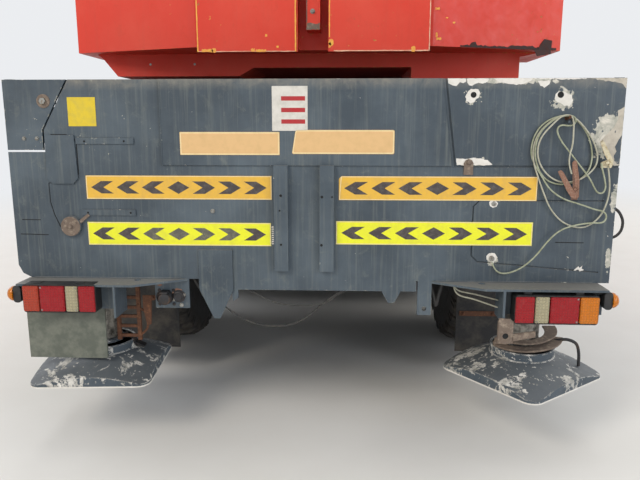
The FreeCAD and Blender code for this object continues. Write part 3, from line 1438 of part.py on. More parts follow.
if __name__ == "__main__":
    main()
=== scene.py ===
"""Looks of a four-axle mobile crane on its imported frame: paint, rubber, glass, cables and small fittings."""
import json
import math
import random
import sys

import bmesh
import bpy
from mathutils import Matrix, Vector
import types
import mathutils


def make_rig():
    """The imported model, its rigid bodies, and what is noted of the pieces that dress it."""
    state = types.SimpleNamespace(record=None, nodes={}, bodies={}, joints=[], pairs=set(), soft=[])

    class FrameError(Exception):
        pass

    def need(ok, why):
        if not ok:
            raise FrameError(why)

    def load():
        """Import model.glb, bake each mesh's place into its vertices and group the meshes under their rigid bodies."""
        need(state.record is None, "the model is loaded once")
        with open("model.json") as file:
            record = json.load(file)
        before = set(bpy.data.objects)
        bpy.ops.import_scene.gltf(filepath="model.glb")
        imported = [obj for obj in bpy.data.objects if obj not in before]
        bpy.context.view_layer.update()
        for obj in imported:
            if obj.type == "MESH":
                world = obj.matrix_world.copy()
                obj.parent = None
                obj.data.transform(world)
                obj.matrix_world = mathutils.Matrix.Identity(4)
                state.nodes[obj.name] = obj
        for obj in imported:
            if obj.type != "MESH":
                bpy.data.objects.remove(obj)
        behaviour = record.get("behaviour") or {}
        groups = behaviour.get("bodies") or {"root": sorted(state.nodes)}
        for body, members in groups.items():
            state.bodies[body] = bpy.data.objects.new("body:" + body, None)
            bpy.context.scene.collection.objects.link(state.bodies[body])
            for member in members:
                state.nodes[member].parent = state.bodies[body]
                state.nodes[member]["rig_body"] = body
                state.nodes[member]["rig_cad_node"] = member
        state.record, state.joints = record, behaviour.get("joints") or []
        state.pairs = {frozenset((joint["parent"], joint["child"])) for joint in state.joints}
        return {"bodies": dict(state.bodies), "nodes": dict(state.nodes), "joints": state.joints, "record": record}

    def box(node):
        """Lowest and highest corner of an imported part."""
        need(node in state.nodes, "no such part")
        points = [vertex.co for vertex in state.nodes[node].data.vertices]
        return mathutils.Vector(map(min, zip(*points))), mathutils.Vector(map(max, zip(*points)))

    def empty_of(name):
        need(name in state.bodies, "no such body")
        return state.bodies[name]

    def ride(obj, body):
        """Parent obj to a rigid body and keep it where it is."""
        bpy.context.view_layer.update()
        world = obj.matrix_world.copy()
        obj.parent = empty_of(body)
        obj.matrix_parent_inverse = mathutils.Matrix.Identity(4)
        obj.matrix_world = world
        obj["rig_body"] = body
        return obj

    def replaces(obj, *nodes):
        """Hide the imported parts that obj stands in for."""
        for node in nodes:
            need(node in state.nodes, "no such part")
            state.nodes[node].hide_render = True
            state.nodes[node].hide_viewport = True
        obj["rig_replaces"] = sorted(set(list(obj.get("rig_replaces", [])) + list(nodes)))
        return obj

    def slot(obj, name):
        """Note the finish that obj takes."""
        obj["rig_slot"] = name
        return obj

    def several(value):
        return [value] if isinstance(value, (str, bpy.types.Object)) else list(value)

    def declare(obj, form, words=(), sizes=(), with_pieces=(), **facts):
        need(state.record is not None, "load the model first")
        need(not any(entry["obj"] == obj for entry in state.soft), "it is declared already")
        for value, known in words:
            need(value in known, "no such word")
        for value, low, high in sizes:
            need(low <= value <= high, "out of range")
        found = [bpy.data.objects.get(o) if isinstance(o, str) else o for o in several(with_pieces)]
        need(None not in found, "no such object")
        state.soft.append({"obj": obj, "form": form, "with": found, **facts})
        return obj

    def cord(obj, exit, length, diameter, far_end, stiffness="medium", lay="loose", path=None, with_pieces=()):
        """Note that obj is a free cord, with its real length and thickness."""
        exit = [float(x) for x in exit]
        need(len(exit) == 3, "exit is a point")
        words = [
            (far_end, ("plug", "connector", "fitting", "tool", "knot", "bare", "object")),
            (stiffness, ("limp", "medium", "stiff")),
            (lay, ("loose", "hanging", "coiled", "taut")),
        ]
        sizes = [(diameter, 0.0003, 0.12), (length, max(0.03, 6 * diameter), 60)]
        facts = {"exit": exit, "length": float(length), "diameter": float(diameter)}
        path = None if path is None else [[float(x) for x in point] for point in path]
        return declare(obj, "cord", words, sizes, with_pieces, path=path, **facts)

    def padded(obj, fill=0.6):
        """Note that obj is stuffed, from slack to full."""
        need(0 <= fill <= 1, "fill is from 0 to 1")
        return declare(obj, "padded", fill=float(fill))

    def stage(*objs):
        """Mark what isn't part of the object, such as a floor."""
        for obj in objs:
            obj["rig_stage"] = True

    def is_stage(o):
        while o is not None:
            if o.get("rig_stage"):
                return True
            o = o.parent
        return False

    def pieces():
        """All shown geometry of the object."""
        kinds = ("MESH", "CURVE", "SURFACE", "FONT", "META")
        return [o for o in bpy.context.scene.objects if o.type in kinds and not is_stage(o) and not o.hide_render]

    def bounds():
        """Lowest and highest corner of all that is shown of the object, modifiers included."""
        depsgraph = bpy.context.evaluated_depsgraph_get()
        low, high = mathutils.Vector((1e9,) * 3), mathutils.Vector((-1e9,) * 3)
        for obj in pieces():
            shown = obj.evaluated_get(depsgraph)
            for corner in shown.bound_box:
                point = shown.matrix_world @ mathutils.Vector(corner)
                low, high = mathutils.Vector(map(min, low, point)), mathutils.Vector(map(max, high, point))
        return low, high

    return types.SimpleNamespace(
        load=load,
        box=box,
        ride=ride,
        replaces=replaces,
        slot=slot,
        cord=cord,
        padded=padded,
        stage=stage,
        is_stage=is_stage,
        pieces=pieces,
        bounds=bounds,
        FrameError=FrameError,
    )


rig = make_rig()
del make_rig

bl_info = {
    "name": "Mobile crane looks",
    "version": (1, 0, 0),
    "blender": (4, 5, 0),
    "location": "View3D > Sidebar > Crane",
    "description": "Builds the finishes and fittings of a mobile crane on its frame, with a stage and a camera",
    "category": "Object",
}

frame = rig.load()
nodes = frame["nodes"]
CAD_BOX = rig.bounds()

# Places along the crane, in metres: outer face of the rear panel, slewing axis, boom pivot, cab front
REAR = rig.box("rear_panel")[0].y + 0.130
SLEW = REAR + 4.150
PIVOT = SLEW - 1.300
FRONT = REAR + 10.100
CAB_REAR = FRONT - 1.900
HEAD = PIVOT + 9.750
AXLES = {"4": REAR + 1.550, "3": REAR + 3.200, "2": REAR + 5.650, "1": REAR + 7.300}
WHEEL_X = 1.1025
WHEEL_Z = 0.740
SIDES = {"left": -1, "right": 1}


def linear(code):
    """A colour written as sRGB hex, in the linear values that Blender's sockets hold."""
    channels = [int(code[i:i + 2], 16) / 255 for i in (1, 3, 5)]
    return tuple(c / 12.92 if c <= 0.04045 else ((c + 0.055) / 1.055) ** 2.4 for c in channels) + (1.0,)


def add(tree, kind, inputs=None, **settings):
    """Adds a shader node. An input, by name or number, takes a value or another node's output."""
    node = tree.nodes.new("ShaderNode" + kind)
    for name, value in settings.items():
        setattr(node, name, value)
    for key, value in (inputs or {}).items():
        if isinstance(value, bpy.types.NodeSocket):
            tree.links.new(value, node.inputs[key])
        else:
            node.inputs[key].default_value = value
    return node


def blank(name):
    """A new material with its node tree, and the place on the object in metres."""
    material = bpy.data.materials.new(name)
    material.use_nodes = True
    tree = material.node_tree
    tree.nodes.clear()
    return material, tree, add(tree, "TexCoord").outputs["Object"]


def close(tree, inputs):
    """Ends a material with one surface shader."""
    shader = add(tree, "BsdfPrincipled", inputs)
    add(tree, "OutputMaterial", {"Surface": shader.outputs[0]})
    return shader


# Forms drawn into a mesh

def draw_plate(bm, outline, lift):
    """A flat plate: an outline of corners, thickened along the vector lift."""
    lift = Vector(lift)
    low = [bm.verts.new(p) for p in outline]
    high = [bm.verts.new(Vector(p) + lift) for p in outline]
    bm.faces.new(low[::-1])
    bm.faces.new(high)
    for i in range(len(low)):
        j = (i + 1) % len(low)
        bm.faces.new((low[i], low[j], high[j], high[i]))


def draw_box(bm, low, high):
    x0, y0, z0 = low
    x1, y1, z1 = high
    draw_plate(bm, [(x0, y0, z0), (x1, y0, z0), (x1, y1, z0), (x0, y1, z0)], (0, 0, z1 - z0))


def draw_band(bm, outer, inner, lift):
    """A flat ring between two outlines with as many corners each, thickened along lift."""
    lift = Vector(lift)
    rings = []
    for outline in (outer, inner):
        low = [bm.verts.new(p) for p in outline]
        rings.append((low, [bm.verts.new(Vector(p) + lift) for p in outline]))
    (a, b), (c, d) = rings
    for i in range(len(a)):
        j = (i + 1) % len(a)
        bm.faces.new((a[j], a[i], c[i], c[j]))
        bm.faces.new((b[i], b[j], d[j], d[i]))
        bm.faces.new((a[i], a[j], b[j], b[i]))
        bm.faces.new((c[j], c[i], d[i], d[j]))


def draw_lathe(bm, centre, axis, profile, segments=32, closed=False):
    """A turned form: (along, radius) corners turned about an axis through centre."""
    turn = Vector((0, 0, 1)).rotation_difference(Vector(axis))
    rings = []
    for along, radius in profile:
        if radius < 1e-6:
            rings.append([bm.verts.new(Vector(centre) + turn @ Vector((0, 0, along)))])
            continue
        ring = []
        for i in range(segments):
            a = 2 * math.pi * i / segments
            ring.append(bm.verts.new(Vector(centre) + turn @ Vector((radius * math.cos(a), radius * math.sin(a), along))))
        rings.append(ring)
    pairs = list(zip(rings, rings[1:]))
    if closed:
        pairs.append((rings[-1], rings[0]))
    for a, b in pairs:
        for i in range(segments):
            j = (i + 1) % segments
            corners = [a[i % len(a)], a[j % len(a)], b[j % len(b)], b[i % len(b)]]
            if len(a) == 1:
                corners = [a[0], b[j], b[i]]
            if len(b) == 1:
                corners = [a[i], a[j], b[0]]
            bm.faces.new(corners)
    if not closed:
        for ring in (rings[0], rings[-1]):
            if len(ring) > 1:
                bm.faces.new(ring)


def draw_tube(bm, points, radius, segments=10, squash=1.0):
    """A round bar along points, with its ends closed."""
    points = [Vector(p) for p in points]
    along = (points[1] - points[0]).normalized()
    side = along.orthogonal().normalized()
    rings = []
    for i, p in enumerate(points):
        before, after = points[max(i - 1, 0)], points[min(i + 1, len(points) - 1)]
        now = (after - before).normalized()
        side = (along.rotation_difference(now) @ side).normalized()
        along = now
        up = along.cross(side)
        rings.append([bm.verts.new(p + radius * (math.cos(a) * side + squash * math.sin(a) * up))
                      for a in (2 * math.pi * k / segments for k in range(segments))])
    for a, b in zip(rings, rings[1:]):
        for i in range(segments):
            j = (i + 1) % segments
            bm.faces.new((a[i], a[j], b[j], b[i]))
    bm.faces.new(rings[0])
    bm.faces.new(rings[-1])


def draw_bolt(bm, centre, axis, size, thread=0.0):
    """A hex head on its washer. Size is the thread's diameter; thread is how far it stands out of the nut."""
    across = size * 0.92
    draw_lathe(bm, centre, axis, [(0, size * 1.15), (size * 0.18, size * 1.15)], 16)
    draw_lathe(bm, centre, axis, [(size * 0.18, across), (size * 0.78, across), (size * 0.88, across * 0.86)], 6)
    if thread:
        draw_lathe(bm, centre, axis, [(size * 0.88, size * 0.5), (size * 0.88 + thread, size * 0.46)], 10)


def eased(points, steps=6):
    """Points on a smooth line through the given ones, for bent rods and pipes."""
    points = [Vector(p) for p in points]
    line = []
    for i in range(len(points) - 1):
        a, b = points[max(i - 1, 0)], points[i]
        c, d = points[i + 1], points[min(i + 2, len(points) - 1)]
        for k in range(steps):
            t = k / steps
            line.append(0.5 * (2 * b + (c - a) * t + (2 * a - 5 * b + 4 * c - d) * t ** 2 + (3 * b - a - 3 * c + d) * t ** 3))
    return line + [points[-1]]


def round_corners(x0, x1, z0, z1, radius, steps=4):
    """A rectangle with round corners, as (x, z) pairs."""
    places = []
    for cx, cz, first in ((x1 - radius, z1 - radius, 0), (x0 + radius, z1 - radius, 90),
                          (x0 + radius, z0 + radius, 180), (x1 - radius, z0 + radius, 270)):
        for k in range(steps + 1):
            a = math.radians(first + 90 * k / steps)
            places.append((cx + radius * math.cos(a), cz + radius * math.sin(a)))
    return places


def inset_outline(outline, by):
    """An outline of (a, b) corners moved inwards by a width; outwards where it is negative."""
    area = sum(p[0] * q[1] - q[0] * p[1] for p, q in zip(outline, outline[1:] + outline[:1]))
    sense = 1 if area > 0 else -1
    moved = []
    for before, corner, after in zip(outline[-1:] + outline[:-1], outline, outline[1:] + outline[:1]):
        ax, az = corner[0] - before[0], corner[1] - before[1]
        bx, bz = after[0] - corner[0], after[1] - corner[1]
        la, lb = math.hypot(ax, az), math.hypot(bx, bz)
        nx, nz = -az / la * sense, ax / la * sense
        mx, mz = -bz / lb * sense, bx / lb * sense
        scale = by / max(1 + nx * mx + nz * mz, 0.2)
        moved.append((corner[0] + (nx + mx) * scale, corner[1] + (nz + mz) * scale))
    return moved


def rounded(outline, radius, steps=3):
    """An outline of corners with each one rounded."""
    places = []
    for before, corner, after in zip(outline[-1:] + outline[:-1], outline, outline[1:] + outline[:1]):
        start = Vector(before) - Vector(corner)
        end = Vector(after) - Vector(corner)
        cut = min(radius, start.length * 0.45, end.length * 0.45)
        a, b = Vector(corner) + start.normalized() * cut, Vector(corner) + end.normalized() * cut
        for k in range(steps + 1):
            t = k / steps
            p = a * (1 - t) ** 2 + 2 * Vector(corner) * t * (1 - t) + b * t ** 2
            places.append((p.x, p.y))
    return places


def upright(outline, y):
    """(x, z) corners as points in a plane across the crane."""
    return [(x, y, z) for x, z in outline]


def sideways(outline, x):
    """(y, z) corners as points in a plane along the crane."""
    return [(x, y, z) for y, z in outline]


def piece(name, body, material, draw, slot=None, soft=0.0, angle=32, at=None):
    """Makes one piece from what draw puts into a mesh. It rides on a body; soft is the width of its eased edges."""
    bm = bmesh.new()
    draw(bm)
    bmesh.ops.recalc_face_normals(bm, faces=bm.faces)
    if soft:
        sharp = [e for e in bm.edges if len(e.link_faces) == 2 and e.calc_face_angle(0) > math.radians(40)]
        bmesh.ops.bevel(bm, geom=sharp, offset=soft, segments=2, affect="EDGES", clamp_overlap=True)
    mesh = bpy.data.meshes.new(name)
    bm.to_mesh(mesh)
    bm.free()
    mesh.polygons.foreach_set("use_smooth", [True] * len(mesh.polygons))
    mesh.set_sharp_from_angle(angle=math.radians(angle))
    mesh.materials.append(material)
    return placed(name, mesh, body, slot, at)


def placed(name, mesh, body, slot=None, at=None):
    """An object of a mesh, which pieces alike may share, riding on a body."""
    obj = bpy.data.objects.new(name, mesh)
    bpy.context.scene.collection.objects.link(obj)
    if at is not None:
        obj.matrix_world = at
    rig.ride(obj, body)
    if slot:
        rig.slot(obj, slot)
    return obj


# Finishes

def mark_field(tree, place, marks, depth):
    """How near a point is to any of the worn spots (x, z, half width, half height), 1 at a spot's middle."""
    nearest = None
    for x, z, half_width, half_height in marks:
        local = add(tree, "Mapping", {"Vector": place, "Location": (x, REAR, z),
                                      "Scale": (half_width, depth, half_height)}, vector_type="TEXTURE")
        away = add(tree, "VectorMath", {0: local.outputs[0]}, operation="LENGTH").outputs["Value"]
        if nearest is None:
            nearest = away
        else:
            nearest = add(tree, "Math", {0: nearest, 1: away}, operation="MINIMUM").outputs[0]
    return add(tree, "MapRange", {0: nearest, 1: 1.15, 2: 0.35}).outputs[0]


def worn_paint(name, paint, faded, bare, grime, rough=0.42, chips=0.745, edges=0.3, runs=0.4, dust=0.35,
               marks=(), scratches=0.0, peel=0.00005, dents=0.0016, streak=(28.0, 28.0, 1.8), top=0.0):
    """Brushed or sprayed enamel on steel, weathered outdoors. It dulls in clouds, rain draws it down in runs,
    it chips to primer where it is knocked and along edges, and dust lies on what faces up."""
    material, tree, place = blank(name)
    facing = tree.nodes[0].outputs["Normal"]
    cloud = add(tree, "TexNoise", {"Vector": place, "Scale": 2.1, "Detail": 7.0, "Roughness": 0.62})
    cloudy = add(tree, "MapRange", {0: cloud.outputs[0], 1: 0.40, 2: 0.70}).outputs[0]
    body = add(tree, "Mix", {0: cloudy, 6: paint, 7: linear(faded)}, data_type="RGBA")
    # Rain runs 15 to 35 mm apart and half a metre long
    drawn = add(tree, "Mapping", {"Vector": place, "Scale": streak})
    run = add(tree, "TexNoise", {"Vector": drawn.outputs[0], "Scale": 1.0, "Detail": 6.0, "Roughness": 0.72})
    run_step = add(tree, "MapRange", {0: run.outputs[0], 1: 0.50, 2: 0.82, 4: runs}).outputs[0]
    run_tint = add(tree, "Mix", {0: run_step, 6: body.outputs[2], 7: linear(grime)}, data_type="RGBA")
    # Smears of dirt 10 to 60 mm across
    smear = add(tree, "TexNoise", {"Vector": place, "Scale": 17.0, "Detail": 8.0, "Roughness": 0.75, "Distortion": 0.6})
    smear_step = add(tree, "MapRange", {0: smear.outputs[0], 1: 0.56, 2: 0.78, 4: 0.55 * runs + 0.12}).outputs[0]
    smeared = add(tree, "Mix", {0: smear_step, 6: run_tint.outputs[2], 7: linear(grime)}, data_type="RGBA")
    # Dust lies where the surface faces up
    axes = add(tree, "SeparateXYZ", {0: facing})
    dust_step = add(tree, "MapRange", {0: axes.outputs[2], 1: 0.55, 2: 0.95, 4: dust}).outputs[0]
    dusty = add(tree, "Mix", {0: dust_step, 6: smeared.outputs[2], 7: linear("#9A948A")}, data_type="RGBA")
    if top:
        # Sandy dust has baked on just under the top edge
        heights = add(tree, "SeparateXYZ", {0: place})
        under = add(tree, "MapRange", {0: heights.outputs[2], 1: top - 0.050, 2: top, 4: 0.75}).outputs[0]
        patchy = add(tree, "MapRange", {0: smear.outputs[0], 1: 0.30, 2: 0.62}).outputs[0]
        baked = add(tree, "Math", {0: under, 1: patchy}, operation="MULTIPLY").outputs[0]
        dusty = add(tree, "Mix", {0: baked, 6: dusty.outputs[2], 7: linear("#8F8A7E")}, data_type="RGBA")
    # Chips 5 to 30 mm across, thicker in some places, along edges and at the marks
    chip = add(tree, "TexNoise", {"Vector": place, "Scale": 42.0, "Detail": 5.0, "Roughness": 0.6})
    thick = add(tree, "TexNoise", {"Vector": place, "Scale": 1.7, "Detail": 3.0})
    total = add(tree, "Math", {0: thick.outputs[0], 1: 0.32, 2: chip.outputs[0]}, operation="MULTIPLY_ADD").outputs[0]
    if edges:
        bevel = add(tree, "Bevel", {"Radius": 0.009}, samples=4)
        true_normal = add(tree, "NewGeometry").outputs["Normal"]
        flat = add(tree, "VectorMath", {0: bevel.outputs[0], 1: true_normal}, operation="DOT_PRODUCT").outputs["Value"]
        near_edge = add(tree, "MapRange", {0: flat, 1: 0.985, 2: 0.80, 4: edges}).outputs[0]
        total = add(tree, "Math", {0: total, 1: near_edge}, operation="ADD").outputs[0]
    if marks:
        total = add(tree, "Math", {0: mark_field(tree, place, marks, 0.35), 1: 0.42, 2: total},
                    operation="MULTIPLY_ADD").outputs[0]
    chipped = add(tree, "MapRange", {0: total, 1: chips + 0.16, 2: chips + 0.175}).outputs[0]
    if scratches:
        # Scrapes: ragged patches 30 to 90 mm across, broken up by finer noise
        bent = add(tree, "TexNoise", {"Vector": place, "Scale": 8.0, "Detail": 10.0, "Roughness": 0.70, "Distortion": 0.5})
        scrape = add(tree, "MapRange", {0: bent.outputs[0], 1: 0.60 - 0.02 * scratches, 2: 0.612 - 0.02 * scratches}).outputs[0]
        broken = add(tree, "MapRange", {0: chip.outputs[0], 1: 0.40, 2: 0.46}).outputs[0]
        scrape = add(tree, "Math", {0: scrape, 1: broken}, operation="MULTIPLY").outputs[0]
        chipped = add(tree, "Math", {0: chipped, 1: scrape}, operation="MAXIMUM").outputs[0]
    flake = add(tree, "MapRange", {0: smear.outputs[0], 1: 0.36, 2: 0.62}).outputs[0]
    bare_tone = add(tree, "Mix", {0: flake, 6: linear(bare), 7: linear(grime)}, data_type="RGBA")
    colour = add(tree, "Mix", {0: chipped, 6: dusty.outputs[2], 7: bare_tone.outputs[2]}, data_type="RGBA")
    dull = add(tree, "MapRange", {0: smear.outputs[0], 1: 0.3, 2: 0.75, 3: rough - 0.08, 4: rough + 0.22}).outputs[0]
    rougher = add(tree, "Math", {0: chipped, 1: 0.25, 2: dull}, operation="MULTIPLY_ADD").outputs[0]
    fine = add(tree, "TexNoise", {"Vector": place, "Scale": 260.0, "Detail": 2.0})
    low = add(tree, "Math", {0: chipped, 1: -0.0004, 2: 0.0}, operation="MULTIPLY_ADD").outputs[0]
    skin = add(tree, "Math", {0: fine.outputs[0], 1: peel, 2: low}, operation="MULTIPLY_ADD").outputs[0]
    height = add(tree, "Math", {0: cloud.outputs[0], 1: dents, 2: skin}, operation="MULTIPLY_ADD").outputs[0]
    bump = add(tree, "Bump", {"Height": height, "Strength": 0.8, "Distance": 1.0})
    close(tree, {"Base Color": colour.outputs[2], "Roughness": rougher, "Normal": bump.outputs[0], "IOR": 1.5})
    return material


def bare_metal(name, colour, stain, rough=0.35, metallic=1.0, scale=60.0, stain_from=0.5, grain=0.00006, drawn=1.0):
    """Metal with stains: cast, rolled or turned, by its grain. Drawn above 1 stretches the grain along X."""
    material, tree, place = blank(name)
    along = add(tree, "Mapping", {"Vector": place, "Scale": (1.0 / drawn, 1.0, 1.0)})
    spot = add(tree, "TexNoise", {"Vector": along.outputs[0], "Scale": scale, "Detail": 6.0, "Roughness": 0.68})
    step = add(tree, "MapRange", {0: spot.outputs[0], 1: stain_from, 2: stain_from + 0.18}).outputs[0]
    tone = add(tree, "Mix", {0: step, 6: linear(colour), 7: linear(stain)}, data_type="RGBA")
    dull = add(tree, "MapRange", {0: step, 3: rough, 4: min(rough + 0.35, 0.95)}).outputs[0]
    shine = add(tree, "MapRange", {0: step, 3: metallic, 4: metallic * 0.25}).outputs[0]
    grit = add(tree, "TexNoise", {"Vector": along.outputs[0], "Scale": scale * 5, "Detail": 3.0})
    bump = add(tree, "Bump", {"Height": grit.outputs[0], "Distance": grain, "Strength": 1.0})
    close(tree, {"Base Color": tone.outputs[2], "Roughness": dull, "Metallic": shine, "Normal": bump.outputs[0]})
    return material


def moulded(name, colour, dirt, rough=0.5, scale=40.0, grain=0.0001, dirt_share=0.5, coat=0.0, sheen=0.0, through=0.0):
    """Moulded rubber, plastic or cable sheath with a fine skin and some dirt in patches."""
    material, tree, place = blank(name)
    patch = add(tree, "TexNoise", {"Vector": place, "Scale": scale, "Detail": 6.0, "Roughness": 0.65})
    step = add(tree, "MapRange", {0: patch.outputs[0], 1: 0.42, 2: 0.75, 4: dirt_share}).outputs[0]
    tone = add(tree, "Mix", {0: step, 6: colour, 7: linear(dirt)}, data_type="RGBA")
    dull = add(tree, "MapRange", {0: patch.outputs[0], 1: 0.3, 2: 0.7, 3: rough - 0.06, 4: rough + 0.14}).outputs[0]
    skin = add(tree, "TexNoise", {"Vector": place, "Scale": scale * 8, "Detail": 3.0})
    bump = add(tree, "Bump", {"Height": skin.outputs[0], "Distance": grain, "Strength": 1.0})
    inputs = {"Base Color": tone.outputs[2], "Roughness": dull, "Normal": bump.outputs[0], "IOR": 1.5}
    if coat:
        inputs.update({"Coat Weight": coat, "Coat Roughness": 0.12})
    if sheen:
        inputs.update({"Sheen Weight": sheen, "Sheen Roughness": 0.6})
    if through:
        inputs["Transmission Weight"] = through
    close(tree, inputs)
    return material


def ribbed_lens(name, colour, pitch, glow=0.35):
    """Moulded acrylic lamp lens with upright flutes inside, one every pitch metres; painted shade darkens its colour in
    the grooves between the flutes.
    """
    material, tree, place = blank(name)
    flute = add(tree, "TexWave", {"Vector": place, "Scale": 1.0 / (3.14 * pitch)}, bands_direction="X")
    cross = add(tree, "TexWave", {"Vector": place, "Scale": 1.0 / (3.14 * pitch)}, bands_direction="Z")
    weave = add(tree, "Math", {0: flute.outputs[1], 1: cross.outputs[1]}, operation="MULTIPLY").outputs[0]
    film = add(tree, "TexNoise", {"Vector": place, "Scale": 30.0, "Detail": 6.0})
    dusted = add(tree, "MapRange", {0: film.outputs[0], 1: 0.55, 2: 0.85, 4: 0.16}).outputs[0]
    tone = add(tree, "Mix", {0: dusted, 6: linear(colour), 7: linear("#A39484")}, data_type="RGBA")
    # Painted shade: near-black is mixed into the lens colour in the flutes' grooves
    shade = add(tree, "MapRange", {0: weave, 3: 0.72, 4: 1.0}).outputs[0]
    lit = add(tree, "Mix", {0: shade, 6: (0.02, 0.02, 0.02, 1.0), 7: tone.outputs[2]}, data_type="RGBA")
    dull = add(tree, "MapRange", {0: film.outputs[0], 1: 0.3, 2: 0.7, 3: 0.12, 4: 0.4}).outputs[0]
    bump = add(tree, "Bump", {"Height": weave, "Distance": 0.0006, "Strength": 0.7})
    close(tree, {"Base Color": lit.outputs[2], "Roughness": dull, "Normal": bump.outputs[0],
                 "Transmission Weight": glow, "IOR": 1.49, "Specular IOR Level": 0.3, "Coat Weight": 0.12, "Coat Roughness": 0.08})
    return material


def board_film(name, colour, faded, scale=26.0, cell=0.004):
    """Retroreflective film on a flat board: small sealed cells under a clear skin, rubbed and dusty."""
    material, tree, place = blank(name)
    rub = add(tree, "TexNoise", {"Vector": place, "Scale": scale, "Detail": 7.0, "Roughness": 0.7})
    worn = add(tree, "MapRange", {0: rub.outputs[0], 1: 0.45, 2: 0.75, 4: 0.7}).outputs[0]
    tone = add(tree, "Mix", {0: worn, 6: colour, 7: linear(faded)}, data_type="RGBA")
    cells = add(tree, "TexVoronoi", {"Vector": place, "Scale": 1.0 / cell}, feature="DISTANCE_TO_EDGE")
    bump = add(tree, "Bump", {"Height": cells.outputs[0], "Distance": 0.00015, "Strength": 0.5})
    dull = add(tree, "MapRange", {0: rub.outputs[0], 1: 0.3, 2: 0.7, 3: 0.28, 4: 0.5}).outputs[0]
    close(tree, {"Base Color": tone.outputs[2], "Roughness": dull, "Normal": bump.outputs[0],
                 "Coat Weight": 0.4, "Coat Roughness": 0.15, "IOR": 1.5})
    return material


def pane(name, tint, rough=0.015):
    """Laminated glass with a light film of dust in patches."""
    material, tree, place = blank(name)
    film = add(tree, "TexNoise", {"Vector": place, "Scale": 5.0, "Detail": 6.0})
    hazy = add(tree, "MapRange", {0: film.outputs[0], 1: 0.45, 2: 0.8, 3: rough, 4: rough + 0.12}).outputs[0]
    tone = add(tree, "MapRange", {0: film.outputs[0], 1: 0.4, 2: 0.8}).outputs[0]
    colour = add(tree, "Mix", {0: tone, 6: linear(tint), 7: linear("#B9C4C2")}, data_type="RGBA")
    close(tree, {"Base Color": colour.outputs[2], "Roughness": hazy, "Transmission Weight": 1.0, "IOR": 1.5})
    return material


def tread_rubber(name):
    """Vulcanised tyre rubber, greyed by dust: thick on the tread and the shoulders, thin on the walls."""
    material, tree, place = blank(name)
    axes = add(tree, "SeparateXYZ", {0: place})
    high = add(tree, "Math", {0: axes.outputs[2], 1: axes.outputs[2]}, operation="MULTIPLY").outputs[0]
    square = add(tree, "Math", {0: axes.outputs[1], 1: axes.outputs[1], 2: high}, operation="MULTIPLY_ADD").outputs[0]
    radius = add(tree, "Math", {0: square}, operation="SQRT").outputs[0]
    outward = add(tree, "MapRange", {0: radius, 1: 0.62, 2: 0.73, 3: 0.12, 4: 0.75}).outputs[0]
    mottle = add(tree, "TexNoise", {"Vector": place, "Scale": 14.0, "Detail": 8.0, "Roughness": 0.7})
    patchy = add(tree, "MapRange", {0: mottle.outputs[0], 1: 0.38, 2: 0.68}).outputs[0]
    dusty = add(tree, "Math", {0: outward, 1: patchy}, operation="MULTIPLY").outputs[0]
    colour = add(tree, "Mix", {0: dusty, 6: linear("#222224"), 7: linear("#6F675B")}, data_type="RGBA")
    fine = add(tree, "TexNoise", {"Vector": place, "Scale": 180.0, "Detail": 4.0})
    bump = add(tree, "Bump", {"Height": fine.outputs[0], "Distance": 0.0004, "Strength": 0.8})
    dull = add(tree, "MapRange", {0: mottle.outputs[0], 1: 0.3, 2: 0.7, 3: 0.62, 4: 0.88}).outputs[0]
    close(tree, {"Base Color": colour.outputs[2], "Roughness": dull, "Normal": bump.outputs[0], "IOR": 1.5})
    return material


def checker_plate(name, paint, faded, bare, grime):
    """Rolled tread plate, painted and walked on: raised bars in pairs, bright where the paint has gone."""
    material, tree, place = blank(name)
    bars = []
    for turn in (45.0, -45.0):
        turned = add(tree, "Mapping", {"Vector": place, "Rotation": (0.0, 0.0, math.radians(turn)), "Scale": (36.0, 12.0, 12.0)})
        cell = add(tree, "TexVoronoi", {"Vector": turned.outputs[0], "Scale": 1.0, "Randomness": 0.0}, voronoi_dimensions="2D")
        bars.append(add(tree, "MapRange", {0: cell.outputs[0], 1: 0.30, 2: 0.22}).outputs[0])
    raised = add(tree, "Math", {0: bars[0], 1: bars[1]}, operation="MAXIMUM").outputs[0]
    cloud = add(tree, "TexNoise", {"Vector": place, "Scale": 2.4, "Detail": 8.0, "Roughness": 0.66})
    trodden = add(tree, "MapRange", {0: cloud.outputs[0], 1: 0.5, 2: 0.62}).outputs[0]
    worn = add(tree, "Math", {0: raised, 1: trodden}, operation="MULTIPLY").outputs[0]
    base = add(tree, "Mix", {0: cloud.outputs[0], 6: paint, 7: linear(faded)}, data_type="RGBA")
    dirt = add(tree, "MapRange", {0: cloud.outputs[0], 1: 0.42, 2: 0.62, 3: 0.7, 4: 0.15}).outputs[0]
    dirty = add(tree, "Mix", {0: dirt, 6: base.outputs[2], 7: linear(grime)}, data_type="RGBA")
    colour = add(tree, "Mix", {0: worn, 6: dirty.outputs[2], 7: linear(bare)}, data_type="RGBA")
    bump = add(tree, "Bump", {"Height": raised, "Distance": 0.002, "Strength": 0.8})
    dull = add(tree, "MapRange", {0: cloud.outputs[0], 1: 0.3, 2: 0.7, 3: 0.75, 4: 0.5}).outputs[0]
    close(tree, {"Base Color": colour.outputs[2], "Roughness": dull, "Normal": bump.outputs[0]})
    return material


